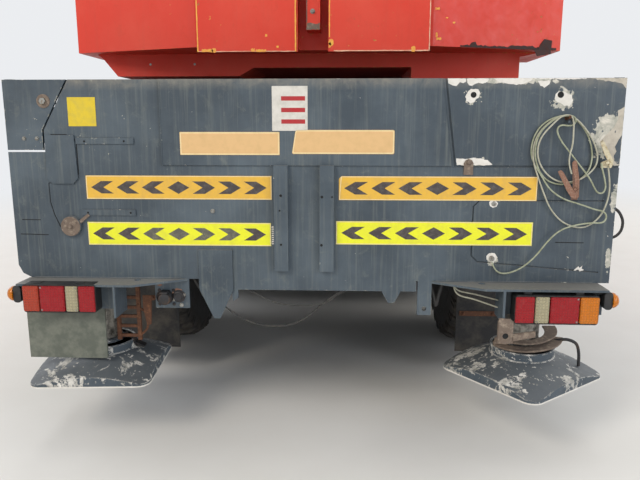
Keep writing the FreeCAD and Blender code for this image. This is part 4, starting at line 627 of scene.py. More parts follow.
def rope_lay(name):
    """Greased steel wire rope. Its outer wires, 1 mm thick, slant across each strand."""
    material, tree, place = blank(name)
    slant = add(tree, "Mapping", {"Vector": place, "Rotation": (0.3, 0.5, 0.6)})
    wires = add(tree, "TexWave", {"Vector": slant.outputs[0], "Scale": 95.0, "Distortion": 0.5}, bands_direction="Z")
    grease = add(tree, "TexNoise", {"Vector": place, "Scale": 20.0, "Detail": 5.0})
    step = add(tree, "MapRange", {0: grease.outputs[0], 1: 0.4, 2: 0.65}).outputs[0]
    tone = add(tree, "Mix", {0: step, 6: linear("#7C7A74"), 7: linear("#2E2B27")}, data_type="RGBA")
    bump = add(tree, "Bump", {"Height": wires.outputs[1], "Distance": 0.0006, "Strength": 0.8})
    dull = add(tree, "MapRange", {0: step, 3: 0.38, 4: 0.62}).outputs[0]
    close(tree, {"Base Color": tone.outputs[2], "Roughness": dull, "Metallic": 0.8, "Normal": bump.outputs[0]})
    return material


def seat_cloth(name):
    """Woven seat cloth, threads 2 mm apart drawn coarse enough to show, with a soft sheen."""
    material, tree, place = blank(name)
    warp = add(tree, "TexWave", {"Vector": place, "Scale": 160.0}, bands_direction="X")
    weft = add(tree, "TexWave", {"Vector": place, "Scale": 160.0}, bands_direction="Z")
    weave = add(tree, "Math", {0: warp.outputs[1], 1: weft.outputs[1]}, operation="MULTIPLY").outputs[0]
    soil = add(tree, "TexNoise", {"Vector": place, "Scale": 9.0, "Detail": 5.0})
    step = add(tree, "MapRange", {0: soil.outputs[0], 1: 0.4, 2: 0.7}).outputs[0]
    base = add(tree, "Mix", {0: step, 6: linear("#2C2F36"), 7: linear("#454640")}, data_type="RGBA")
    tone = add(tree, "Mix", {0: weave, 6: linear("#17181B"), 7: base.outputs[2]}, data_type="RGBA")
    bump = add(tree, "Bump", {"Height": weave, "Distance": 0.0006, "Strength": 0.6})
    close(tree, {"Base Color": tone.outputs[2], "Roughness": 0.9, "Normal": bump.outputs[0],
                 "Sheen Weight": 0.3, "Sheen Roughness": 0.5})
    return material


# Spots on the rear panel where the enamel is knocked off: x, z and half sizes, in metres
PANEL_MARKS = (
    (0.720, 1.620, 0.050, 0.050), (1.115, 1.610, 0.060, 0.060), (0.900, 1.690, 0.240, 0.020),
    (1.310, 1.450, 0.090, 0.150), (0.740, 1.340, 0.080, 0.030), (1.365, 1.180, 0.020, 0.080),
    (1.362, 0.900, 0.016, 0.070), (0.840, 0.895, 0.028, 0.034), (0.837, 1.155, 0.018, 0.020),
)

FINISHES = {}


def finish(name):
    """The finish of this name, made when it is first asked for."""
    if name not in FINISHES:
        FINISHES[name] = MAKERS[name]()
    return FINISHES[name]


MAKERS = {
    # Carrier enamel: blue-grey brush paint over sand-coloured filler and primer, chalky in the sun
    "panel": lambda: worn_paint("Carrier enamel, rear panel", colour_of("carrier"), "#55616A", "#D9D4C8", "#8E9287",
                                rough=0.46, chips=0.735, edges=0.09, runs=0.42, dust=0.5, marks=PANEL_MARKS,
                                streak=(62.0, 62.0, 1.6), top=1.700),
    "carrier": lambda: worn_paint("Carrier enamel", colour_of("carrier"), "#55616A", "#C9C4B8", "#7F837B", rough=0.45,
                                  chips=0.70, edges=0.14, runs=0.42, dust=0.45),
    "float": lambda: worn_paint("Float enamel, scraped", colour_of("carrier"), "#4D5862", "#E4E1DA", "#8B8B84", rough=0.5,
                                chips=0.64, edges=0.22, runs=0.15, dust=0.15, scratches=3.3),
    # Crane enamel: two-pack orange-red over ochre primer, its edges rubbed through
    "crane": lambda: worn_paint("Crane enamel", colour_of("crane"), "#DA4A35", "#E0A848", "#9C4A38", rough=0.46,
                                chips=0.715, edges=0.16, runs=0.18, dust=0.35, dents=0.003),
    "boom": lambda: worn_paint("Boom enamel", colour_of("boom"), "#D94A36", "#C98F3A", "#94503F", rough=0.42,
                               chips=0.735, edges=0.10, runs=0.20, dust=0.30, dents=0.0008),
    "hook": lambda: worn_paint("Hook block enamel", colour_of("hook"), "#C98F2B", "#4A3A2C", "#5B5140", rough=0.42,
                               chips=0.67, edges=0.18, runs=0.3, dust=0.3),
    "stripe": lambda: worn_paint("Black stripe enamel", linear("#1C1D1F"), "#2C2D2F", "#D9A441", "#55524C", rough=0.45,
                                 chips=0.69, edges=0.12, runs=0.2, dust=0.3),
    "chassis": lambda: worn_paint("Chassis enamel, dirty", linear("#2B2F33"), "#3A3E41", "#7A5A3E", "#6B6459", rough=0.6,
                                  chips=0.68, edges=0.10, runs=0.6, dust=0.6),
    "wheel": lambda: worn_paint("Wheel enamel", colour_of("wheel"), "#BDBEB9", "#6B4A33", "#77706A", rough=0.48,
                                chips=0.69, edges=0.10, runs=0.6, dust=0.3),
    "iron": lambda: bare_metal("Cast steel, oiled", "#3A3A3C", "#5A4638", rough=0.5, metallic=0.6, scale=25.0),
    "zinc": lambda: bare_metal("Zinc-plated bolt steel", "#9A9A94", "#6E5642", rough=0.38, scale=120.0),
    "rubbed": lambda: moulded("Primer at a rubbed edge, ochre", linear("#F0B44A"), "#E0704A", rough=0.6, scale=60.0,
                              dirt_share=0.7),
    "rubbed_pale": lambda: moulded("Primer at a rubbed edge, pale", linear("#E8BFA0"), "#D8604A", rough=0.6, scale=50.0,
                                   dirt_share=0.8),
    # Dark finish of the counterweight's bent flap and lower edge strip; in the strip's notches the dark is painted
    # shade
    "dark_edge_and_notch_shade": lambda: moulded("Sheared edge, oily rust", linear("#2B1712"), "#5A2A1E", rough=0.7, scale=50.0),
    "rust": lambda: bare_metal("Rusty mild steel", "#5B3A28", "#7E563B", rough=0.75, metallic=0.15, scale=70.0,
                               grain=0.0005),
    "chrome": lambda: bare_metal("Hard-chromed rod", "#C9CBCC", "#8D8A84", rough=0.09, scale=8.0, stain_from=0.62,
                                 grain=0.00001),
    "greasy_rod": lambda: bare_metal("Piston rod, greasy and dusty", "#8E8B84", "#3E3A33", rough=0.34, metallic=0.8,
                                     scale=26.0, stain_from=0.44),
    "flap_sheet": lambda: moulded("Galvanised sheet flap, oxidised", linear("#5C6158"), "#8A8C80", rough=0.66, scale=13.0,
                                  grain=0.0003, dirt_share=0.8),
    "machined": lambda: bare_metal("Turned steel", "#8C8C8A", "#5C5650", rough=0.32, scale=40.0, drawn=0.2),
    "exhaust": lambda: bare_metal("Aluminised exhaust steel", "#8B8780", "#7A5638", rough=0.45, scale=9.0,
                                  stain_from=0.44),
    "aluminium": lambda: bare_metal("Brushed aluminium sheet", "#B4B5B4", "#8A8984", rough=0.34, scale=30.0,
                                    drawn=6.0),
    "mirror": lambda: bare_metal("Mirror glass", "#D5D9DB", "#B9BCBD", rough=0.03, scale=3.0, stain_from=0.7,
                                 grain=0.000001),
    "tyre": lambda: tread_rubber("Tyre rubber"),
    "flap": lambda: moulded("Sheet rubber", linear("#1F1F20"), "#5E584F", rough=0.72, scale=9.0, grain=0.0004,
                            dirt_share=0.75),
    "seal": lambda: moulded("Extruded rubber seal", linear("#161617"), "#3C3A37", rough=0.6, scale=30.0),
    "black": lambda: moulded("Moulded black plastic", linear("#1B1C1E"), "#4A4843", rough=0.45, scale=22.0),
    "trim": lambda: moulded("Grained trim plastic", linear("#33353A"), "#4C4B48", rough=0.62, scale=14.0, grain=0.0003),
    "sheath": lambda: moulded("Cable sheath, weathered", colour_of("sheath"), "#6F7355", rough=0.62, scale=55.0,
                              grain=0.0002, dirt_share=0.8),
    "sheath_pale": lambda: moulded("Cable sheath, sun-bleached", linear("#B9B8A6"), "#86826C", rough=0.62, scale=48.0,
                                   grain=0.0002, dirt_share=0.7),
    "sheath_dark": lambda: moulded("Cable sheath, dark", linear("#2A2B2B"), "#6A665C", rough=0.58, scale=45.0,
                                   dirt_share=0.6),
    "hose": lambda: moulded("Hydraulic hose rubber", linear("#18191A"), "#4B4740", rough=0.55, scale=40.0),
    "tape": lambda: moulded("Glossy sticker film, yellow", linear("#DDC22E"), "#A79C55", rough=0.38, scale=30.0,
                            dirt_share=0.45),
    "paper": lambda: moulded("Glossy sticker film, white", linear("#DAD7CF"), "#A9A69B", rough=0.38, scale=24.0,
                             dirt_share=0.55),
    "red_film": lambda: moulded("Glossy sticker film, red", linear("#B3262C"), "#8C4A46", rough=0.36, scale=24.0),
    "amber_film": lambda: board_film("Reflective film, amber", colour_of("upper_board"), "#C9A052"),
    "lime_film": lambda: board_film("Reflective film, yellow-green", colour_of("lower_board"), "#D5D23E"),
    "black_film": lambda: board_film("Overprint ink, brown-black", linear("#3A3230"), "#6F6963", scale=34.0),
    "primer": lambda: moulded("Primer laid bare, chalky", linear("#E4E1DA"), "#A9A498", rough=0.75, scale=38.0,
                              grain=0.0003, dirt_share=0.35),
    "filler": lambda: moulded("Filler laid bare, sandy", linear("#C2BBAD"), "#8F887B", rough=0.8, scale=30.0,
                              grain=0.0006, dirt_share=0.6),
    # Near-black painted shade for holes and the lock's slot; also the colour of dark hairline joints
    "hole": lambda: moulded("Soot and grease in a hole", linear("#0E0F10"), "#1C1B19", rough=0.8, scale=60.0),
    "sign_film": lambda: board_film("Reflective film, faded amber", linear("#E0B880"), "#D2AC74"),
    "pale_film": lambda: board_film("Reflective film, pale edge", linear("#EFD9A6"), "#D8BE84"),
    "grey_film": lambda: board_film("Overprint ink, rubbed grey", linear("#55534A"), "#8A8A6A", scale=60.0),
    "red_lens": lambda: ribbed_lens("Lamp lens, red", "#C00016", 0.012),
    "amber_lens": lambda: ribbed_lens("Lamp lens, amber", "#F8900C", 0.012),
    "faded_lens": lambda: ribbed_lens("Lamp lens, amber gone pale red", "#D2492A", 0.012),
    "clear_lens": lambda: ribbed_lens("Lamp lens, clear", "#CFC6A2", 0.014),
    "glass": lambda: pane("Laminated glass", "#DCE8E4"),
    "rope": lambda: rope_lay("Steel wire rope"),
    "cloth": lambda: seat_cloth("Woven seat cloth"),
    "deck": lambda: checker_plate("Tread plate, painted", colour_of("carrier"), "#4E5A63", "#A6A59F", "#716C62"),
    "dusty_rust": lambda: bare_metal("Rusty mild steel, dusty", "#75675C", "#9C8E7E", rough=0.82, metallic=0.1, scale=45.0,
                                     grain=0.0004),
    "clamp": lambda: bare_metal("Spring clamp steel, rusty", "#8B6654", "#AC9280", rough=0.7, metallic=0.2,
                                scale=160.0, grain=0.0003),
    "jaw": lambda: bare_metal("Spring clamp steel, plated", "#C9BFA2", "#9C8458", rough=0.5, metallic=0.35,
                              scale=120.0),
}
# What a user would change

class CraneColours(bpy.types.PropertyGroup):
    """Colours of the crane's enamels and films"""
    carrier: bpy.props.FloatVectorProperty(name="Carrier enamel", description="Paint of the panel, deck and floats",
                                           subtype="COLOR", size=4, min=0.0, max=1.0, default=linear("#3B464F"))
    crane: bpy.props.FloatVectorProperty(name="Crane enamel", description="Paint of the superstructure",
                                         subtype="COLOR", size=4, min=0.0, max=1.0, default=linear("#D6351F"))
    boom: bpy.props.FloatVectorProperty(name="Boom enamel", description="Paint of the telescopic boom",
                                        subtype="COLOR", size=4, min=0.0, max=1.0, default=linear("#D43820"))
    hook: bpy.props.FloatVectorProperty(name="Hook block enamel", description="Paint of the hook block",
                                        subtype="COLOR", size=4, min=0.0, max=1.0, default=linear("#E0A21C"))
    wheel: bpy.props.FloatVectorProperty(name="Wheel enamel", description="Paint of the wheel discs and rims",
                                         subtype="COLOR", size=4, min=0.0, max=1.0, default=linear("#A9ABA8"))
    upper_board: bpy.props.FloatVectorProperty(name="Upper boards", description="Film of the two upper striped boards",
                                               subtype="COLOR", size=4, min=0.0, max=1.0, default=linear("#E6B63A"))
    lower_board: bpy.props.FloatVectorProperty(name="Lower boards", description="Film of the two lower striped boards",
                                               subtype="COLOR", size=4, min=0.0, max=1.0, default=linear("#ECEE14"))
    sheath: bpy.props.FloatVectorProperty(name="Cable sheath", description="Sheath of the hanging charging cables",
                                          subtype="COLOR", size=4, min=0.0, max=1.0, default=linear("#A9AE96"))


class CraneSizes(bpy.types.PropertyGroup):
    """Sizes of the fittings that aren't in the frame"""
    cable: bpy.props.FloatProperty(name="Cable thickness", description="Diameter of the hanging cables",
                                   default=0.007, min=0.005, max=0.009, subtype="DISTANCE", unit="LENGTH")
    board_length: bpy.props.FloatProperty(name="Board length", description="Length of a striped board",
                                          default=0.857, min=0.6, max=0.9, subtype="DISTANCE", unit="LENGTH")
    board_height: bpy.props.FloatProperty(name="Board height", description="Height of a striped board",
                                          default=0.108, min=0.08, max=0.13, subtype="DISTANCE", unit="LENGTH")
    lug_height: bpy.props.FloatProperty(name="Tread depth", description="Depth of the tyre tread's grooves",
                                        default=0.020, min=0.008, max=0.026, subtype="DISTANCE", unit="LENGTH")
    wheel_nut: bpy.props.FloatProperty(name="Wheel nut", description="Thread diameter of the wheel nuts",
                                       default=0.022, min=0.018, max=0.028, subtype="DISTANCE", unit="LENGTH")
    rope: bpy.props.FloatProperty(name="Hoist rope", description="Diameter of the hoist rope on the winch",
                                  default=0.018, min=0.014, max=0.022, subtype="DISTANCE", unit="LENGTH")
    seal: bpy.props.FloatProperty(name="Window seal", description="Width of the rubber round a pane",
                                  default=0.034, min=0.02, max=0.05, subtype="DISTANCE", unit="LENGTH")


def colour_of(name):
    """A user's colour, already linear."""
    return tuple(getattr(bpy.context.scene.crane_colours, name))


def size_of(name):
    return getattr(bpy.context.scene.crane_sizes, name)


# Stage

class CRANE_OT_stage(bpy.types.Operator):
    """Pale floor, soft lamps, world and the camera close behind the crane"""
    bl_idname = "crane.stage"
    bl_label = "Stage and camera"

    def execute(self, context):
        scene = context.scene
        scene.view_settings.view_transform = "Standard"
        material, tree, place = blank("Studio floor, matt")
        mottle = add(tree, "TexNoise", {"Vector": place, "Scale": 3.0, "Detail": 4.0})
        tone = add(tree, "Mix", {0: mottle.outputs[0], 6: linear("#DEDCD7"), 7: linear("#E6E5E1")}, data_type="RGBA")
        matt = add(tree, "BsdfPrincipled", {"Base Color": tone.outputs[2], "Roughness": 0.9})
        # Away from the crane the floor fades into the pale backdrop, for whoever looks at it
        ray = add(tree, "LightPath").outputs
        looked_at = add(tree, "Math", {0: ray["Is Camera Ray"], 1: ray["Is Transmission Ray"]}, operation="MAXIMUM")
        mirrored = add(tree, "Math", {0: looked_at.outputs[0], 1: ray["Is Glossy Ray"]}, operation="MAXIMUM")
        around = add(tree, "Mapping", {"Vector": place, "Scale": (1.0, 0.62, 0.0)})
        away = add(tree, "VectorMath", {0: around.outputs[0]}, operation="LENGTH").outputs["Value"]
        fading = add(tree, "MapRange", {0: away, 1: 3.6, 2: 8.5}, interpolation_type="SMOOTHSTEP").outputs[0]
        share = add(tree, "Math", {0: fading, 1: mirrored.outputs[0]}, operation="MULTIPLY").outputs[0]
        pale = add(tree, "Emission", {"Color": linear("#F3F5F8"), "Strength": 0.93})
        mixed = add(tree, "MixShader", {0: share, 1: matt.outputs[0], 2: pale.outputs[0]})
        add(tree, "OutputMaterial", {"Surface": mixed.outputs[0]})
        bm = bmesh.new()
        draw_plate(bm, [(-60, -60, -0.02), (60, -60, -0.02), (60, 60, -0.02), (-60, 60, -0.02)], (0, 0, 0.0185))
        mesh = bpy.data.meshes.new("studio_floor")
        bm.to_mesh(mesh)
        bm.free()
        mesh.materials.append(material)
        floor = bpy.data.objects.new("studio_floor", mesh)
        scene.collection.objects.link(floor)
        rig.stage(floor)
        world = bpy.data.worlds.new("Soft studio")
        scene.world = world
        world.use_nodes = True
        sky = world.node_tree
        sky.nodes.clear()
        rays = add(sky, "LightPath").outputs
        seen = add(sky, "Math", {0: rays["Is Camera Ray"], 1: rays["Is Transmission Ray"]}, operation="MAXIMUM")
        plain = add(sky, "Math", {0: seen.outputs[0], 1: rays["Is Glossy Ray"]}, operation="MAXIMUM")
        level = add(sky, "MapRange", {0: plain.outputs[0], 3: 0.50, 4: 0.93})
        dome = add(sky, "Background", {"Color": linear("#F3F5F8"), "Strength": level.outputs[0]})
        add(sky, "OutputWorld", {"Surface": dome.outputs[0]})
        # Name, place, aimed at, width, watts, colour
        lamps = (("key", (-7.5, REAR - 9.0, 9.5), (0, REAR, 1.4), 6.0, 960, "#FFF6EA"),
                 ("fill", (8.5, REAR - 7.0, 4.5), (0, REAR, 1.4), 6.0, 450, "#F1F5FF"),
                 ("side_left", (-12.0, REAR + 6.0, 7.0), (0, REAR + 5, 1.5), 7.0, 430, "#F6F8FF"),
                 ("side_right", (12.0, REAR + 6.0, 7.0), (0, REAR + 5, 1.5), 7.0, 430, "#FFFAF2"),
                 ("top", (0.0, REAR + 5.0, 13.0), (0, REAR + 5, 2.0), 10.0, 640, "#FFFFFF"),
                 ("front", (4.0, FRONT + 12.0, 7.5), (0, FRONT, 1.8), 7.0, 540, "#FFF8EE"))
        for name, where, target, width, watts, colour in lamps:
            light = bpy.data.lights.new(name, "AREA")
            light.size = width
            light.energy = watts
            light.color = linear(colour)[:3]
            lamp = bpy.data.objects.new(name, light)
            lamp.location = where
            lamp.rotation_euler = (Vector(target) - Vector(where)).to_track_quat("-Z", "Y").to_euler()
            # The windscreen would mirror the front lamp as a white sheet
            lamp.visible_glossy = name != "front"
            scene.collection.objects.link(lamp)
        lens = bpy.data.cameras.new("rear_camera")
        lens.lens = 34.2
        lens.sensor_width = 36.0
        lens.clip_end = 300.0
        camera = bpy.data.objects.new("rear_camera", lens)
        camera.location = (0.172, REAR - 2.747, 1.500)
        camera.rotation_euler = (math.radians(90.0 - 10.7), 0.0, math.radians(2.45))
        scene.collection.objects.link(camera)
        scene.camera = camera
        return {"FINISHED"}


# Finishes on the frame's own solids

PLAIN_FINISHES = {
    "carrier_paint": "carrier", "crane_paint": "crane", "boom_paint": "boom", "tyre_rubber": "tyre",
    "flap_rubber": "flap", "rim_paint": "wheel", "axle_steel": "chassis", "dark_steel": "iron",
    "rod_chrome": "chrome", "window_glass": "glass", "lamp_plastic": "red_lens", "cable_rubber": "sheath",
    "clamp_steel": "clamp", "interior_plastic": "trim", "rope_steel": "rope", "hook_paint": "hook",
}
OWN_FINISHES = {"rear_panel": "panel", "engine": "iron", "axles": "chassis", "chassis_frame": "chassis"}


def face_finishes(name, finishes, choose):
    """Gives a frame solid several finishes; choose tells from a face's middle and normal which one it takes."""
    mesh = nodes[name].data
    mesh.materials.clear()
    for each in finishes:
        mesh.materials.append(finish(each))
    for face in mesh.polygons:
        face.material_index = choose(face.center, face.normal)


class CRANE_OT_finishes(bpy.types.Operator):
    """Paint, rubber, glass and steel on the frame's own solids"""
    bl_idname = "crane.finishes"
    bl_label = "Finishes on the frame"

    def execute(self, context):
        for name, obj in nodes.items():
            slots = [s.name for s in obj.data.materials if s]
            wanted = OWN_FINISHES.get(name)
            kinds = [wanted or next((v for k, v in PLAIN_FINISHES.items() if s.startswith(k)), "carrier")
                     for s in slots] or [wanted or "carrier"]
            obj.data.materials.clear()
            for kind in kinds:
                obj.data.materials.append(finish(kind))
        face_finishes("deck", ("carrier", "deck"), lambda c, n: int(n.z > 0.9 and c.z > 1.69))
        face_finishes("mud_flaps", ("flap", "flap_sheet"), lambda c, n: int(c.y < REAR))
        # The rusty arm beside the lamp's right bracket
        face_finishes("rear_panel", ("panel", "dusty_rust"), lambda c, n: int(
            abs(c.x - 0.936) < 0.09 and c.z < 0.66 and c.y < REAR - 0.11))
        # Bare steel sheaves between the painted head plates
        face_finishes("boom_section_4", ("boom", "iron"), lambda c, n: int(
            (abs(c.x) < 0.178 and 0.1 < math.hypot(c.y - HEAD, c.z - 2.680) < 0.243) or
            (abs(c.x) < 0.078 and 0.06 < math.hypot(c.y - HEAD + 0.030, c.z - 3.570) < 0.153)))
        for place in ("rear", "front"):
            for side, sign in SIDES.items():
                # The jack's ram is bright chrome above the float's collar
                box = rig.box(f"jack_{place}_{side}")
                ram_x, ram_y = sign * 1.040, (box[0].y + box[1].y) / 2
                face_finishes(f"jack_{place}_{side}", ("float", "greasy_rod"),
                              lambda c, n, x=ram_x, y=ram_y: int(math.hypot(c.x - x, c.y - y) < 0.078 and c.z > 0.446))
        return {"FINISHED"}


# Cables

# Charging cable's first lead: from the lock hole up the coil, twice round, over the hook and down to a clamp.
# Each point is x, distance ahead of the rear panel and z, in metres.
FIRST_LEAD = (
    (0.841, -0.0038, 0.885), (0.853, -0.009, 0.845), (0.898, -0.017, 0.830), (0.968, -0.022, 0.858),
    (1.030, -0.027, 0.918), (1.072, -0.029, 0.983), (1.125, -0.030, 1.040), (1.195, -0.030, 1.064),
    (1.266, -0.030, 1.074), (1.3037, -0.030, 1.0718), (1.3230, -0.030, 1.0836), (1.326, -0.030, 1.108),
    (1.310, -0.030, 1.126), (1.275, -0.030, 1.132), (1.208, -0.030, 1.156), (1.130, -0.030, 1.178),
    (1.068, -0.028, 1.222), (1.035, -0.022, 1.276), (1.014, -0.014, 1.310), (0.998, -0.009, 1.340),
    (0.986, -0.008, 1.370), (0.985, -0.008, 1.408), (0.993, -0.008, 1.448), (1.012, -0.008, 1.487),
    (1.042, -0.008, 1.515), (1.073, -0.008, 1.531), (1.104, -0.008, 1.540), (1.136, -0.008, 1.541),
    (1.169, -0.008, 1.525), (1.200, -0.008, 1.494), (1.225, -0.008, 1.459), (1.243, -0.008, 1.412),
    (1.252, -0.008, 1.365), (1.247, -0.008, 1.318), (1.228, -0.008, 1.282), (1.194, -0.008, 1.256),
    (1.148, -0.008, 1.241), (1.101, -0.008, 1.243), (1.060, -0.009, 1.259), (1.029, -0.013, 1.292),
    (1.010, -0.018, 1.331), (0.999, -0.021, 1.369), (0.998, -0.023, 1.405), (1.005, -0.023, 1.446),
    (1.022, -0.023, 1.480), (1.049, -0.023, 1.508), (1.079, -0.023, 1.527), (1.104, -0.023, 1.537),
    (1.122, -0.023, 1.541), (1.141, -0.023, 1.541), (1.160, -0.023, 1.533), (1.164, -0.023, 1.514),
    (1.153, -0.023, 1.499), (1.131, -0.023, 1.497), (1.110, -0.023, 1.501), (1.093, -0.023, 1.496),
    (1.086, -0.022, 1.480), (1.093, -0.021, 1.456), (1.116, -0.020, 1.421), (1.148, -0.020, 1.384),
    (1.183, -0.021, 1.341), (1.228, -0.025, 1.287), (1.250, -0.026, 1.256), (1.264, -0.027, 1.228),
    (1.280, -0.028, 1.205), (1.304, -0.028, 1.205), (1.313, -0.028, 1.230), (1.305, -0.028, 1.268), (1.291, -0.028, 1.310),
    (1.284, -0.028, 1.337),
)
# The second lead starts at the pale clamp's heel, and ends in the rusty clamp inside the coil.
SECOND_LEAD = (
    (1.314, -0.028, 1.324), (1.332, -0.018, 1.262), (1.337, -0.013, 1.187), (1.310, -0.013, 1.098),
    (1.240, -0.013, 1.042), (1.150, -0.013, 1.062), (1.084, -0.013, 1.128), (1.046, -0.013, 1.212),
    (1.020, -0.014, 1.276), (1.003, -0.015, 1.318), (0.993, -0.0155, 1.358), (0.991, -0.0155, 1.397),
    (0.998, -0.0155, 1.437), (1.016, -0.0155, 1.473), (1.042, -0.0155, 1.502), (1.074, -0.0155, 1.527),
    (1.108, -0.0155, 1.541), (1.148, -0.0155, 1.538), (1.181, -0.0155, 1.516), (1.212, -0.0155, 1.483),
    (1.241, -0.0155, 1.444), (1.262, -0.0155, 1.402), (1.273, -0.0155, 1.362), (1.268, -0.0155, 1.324),
    (1.242, -0.0155, 1.290), (1.202, -0.0155, 1.263), (1.159, -0.0155, 1.251), (1.116, -0.0155, 1.253),
    (1.077, -0.016, 1.270), (1.043, -0.019, 1.301), (1.020, -0.024, 1.335), (1.007, -0.028, 1.373),
    (1.007, -0.030, 1.411), (1.017, -0.030, 1.446), (1.038, -0.030, 1.476), (1.062, -0.030, 1.502),
    (1.083, -0.030, 1.524), (1.103, -0.030, 1.540), (1.127, -0.030, 1.544), (1.146, -0.030, 1.534),
    (1.153, -0.030, 1.510), (1.154, -0.030, 1.476), (1.156, -0.029, 1.438), (1.154, -0.028, 1.406),
    (1.147, -0.028, 1.379), (1.145, -0.028, 1.341), (1.152, -0.028, 1.312), (1.160, -0.028, 1.290),
)
UNDER_WIRE = (
    (-0.414, 0.0183, 0.664), (-0.352, 0.0183, 0.610), (-0.262, 0.0183, 0.567), (-0.155, 0.0183, 0.552),
    (-0.052, 0.0183, 0.572), (0.032, 0.0183, 0.636), (0.112, 0.0183, 0.712), (0.200, 0.0183, 0.757),
)
# A thinner wire hangs above it, passes in front of it and runs up beside it behind the panel's edge.
THIN_WIRE = (
    (-0.352, 0.0178, 0.778), (-0.331, 0.0178, 0.763), (-0.277, 0.0178, 0.733), (-0.217, 0.0178, 0.698),
    (-0.168, 0.0178, 0.676), (-0.117, 0.0178, 0.664), (-0.046, 0.0165, 0.660), (0.010, 0.0130, 0.6625),
    (0.060, 0.0115, 0.670), (0.098, 0.0125, 0.685), (0.126, 0.0165, 0.7075), (0.1665, 0.0183, 0.7315),
    (0.212, 0.0183, 0.757),
)


def lead(name, points, diameter, material, body="carrier"):
    """A cable as a smooth curve through its route."""
    curve = bpy.data.curves.new(name, "CURVE")
    curve.dimensions = "3D"
    curve.bevel_depth = diameter / 2
    curve.bevel_resolution = 4
    curve.resolution_u = 8
    curve.use_fill_caps = True
    spline = curve.splines.new("NURBS")
    spline.points.add(len(points) - 1)
    for point, (x, d, z) in zip(spline.points, points):
        point.co = (x, REAR + d, z, 1.0)
    spline.order_u = 3
    spline.use_endpoint_u = True
    curve.materials.append(material)
    obj = bpy.data.objects.new(name, curve)
    bpy.context.scene.collection.objects.link(obj)
    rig.ride(obj, body)
    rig.slot(obj, "cable_rubber")
    return obj


def route_length(obj):
    """Length of a lead, measured along its own line."""
    bare = obj.data.copy()
    bare.bevel_depth = 0
    probe = bpy.data.objects.new("probe", bare)
    mesh = bpy.data.meshes.new_from_object(probe)
    total = sum((mesh.vertices[e.vertices[0]].co - mesh.vertices[e.vertices[1]].co).length for e in mesh.edges)
    bpy.data.objects.remove(probe)
    bpy.data.meshes.remove(mesh)
    bpy.data.curves.remove(bare)
    return round(total, 3)


def draw_jaw(bm, outline, near, far):
    """One bent arm of a spring clamp: a flanged strip between two depths ahead of the panel."""
    draw_plate(bm, [(x, REAR + near, z) for x, z in outline], (0, far - near, 0))


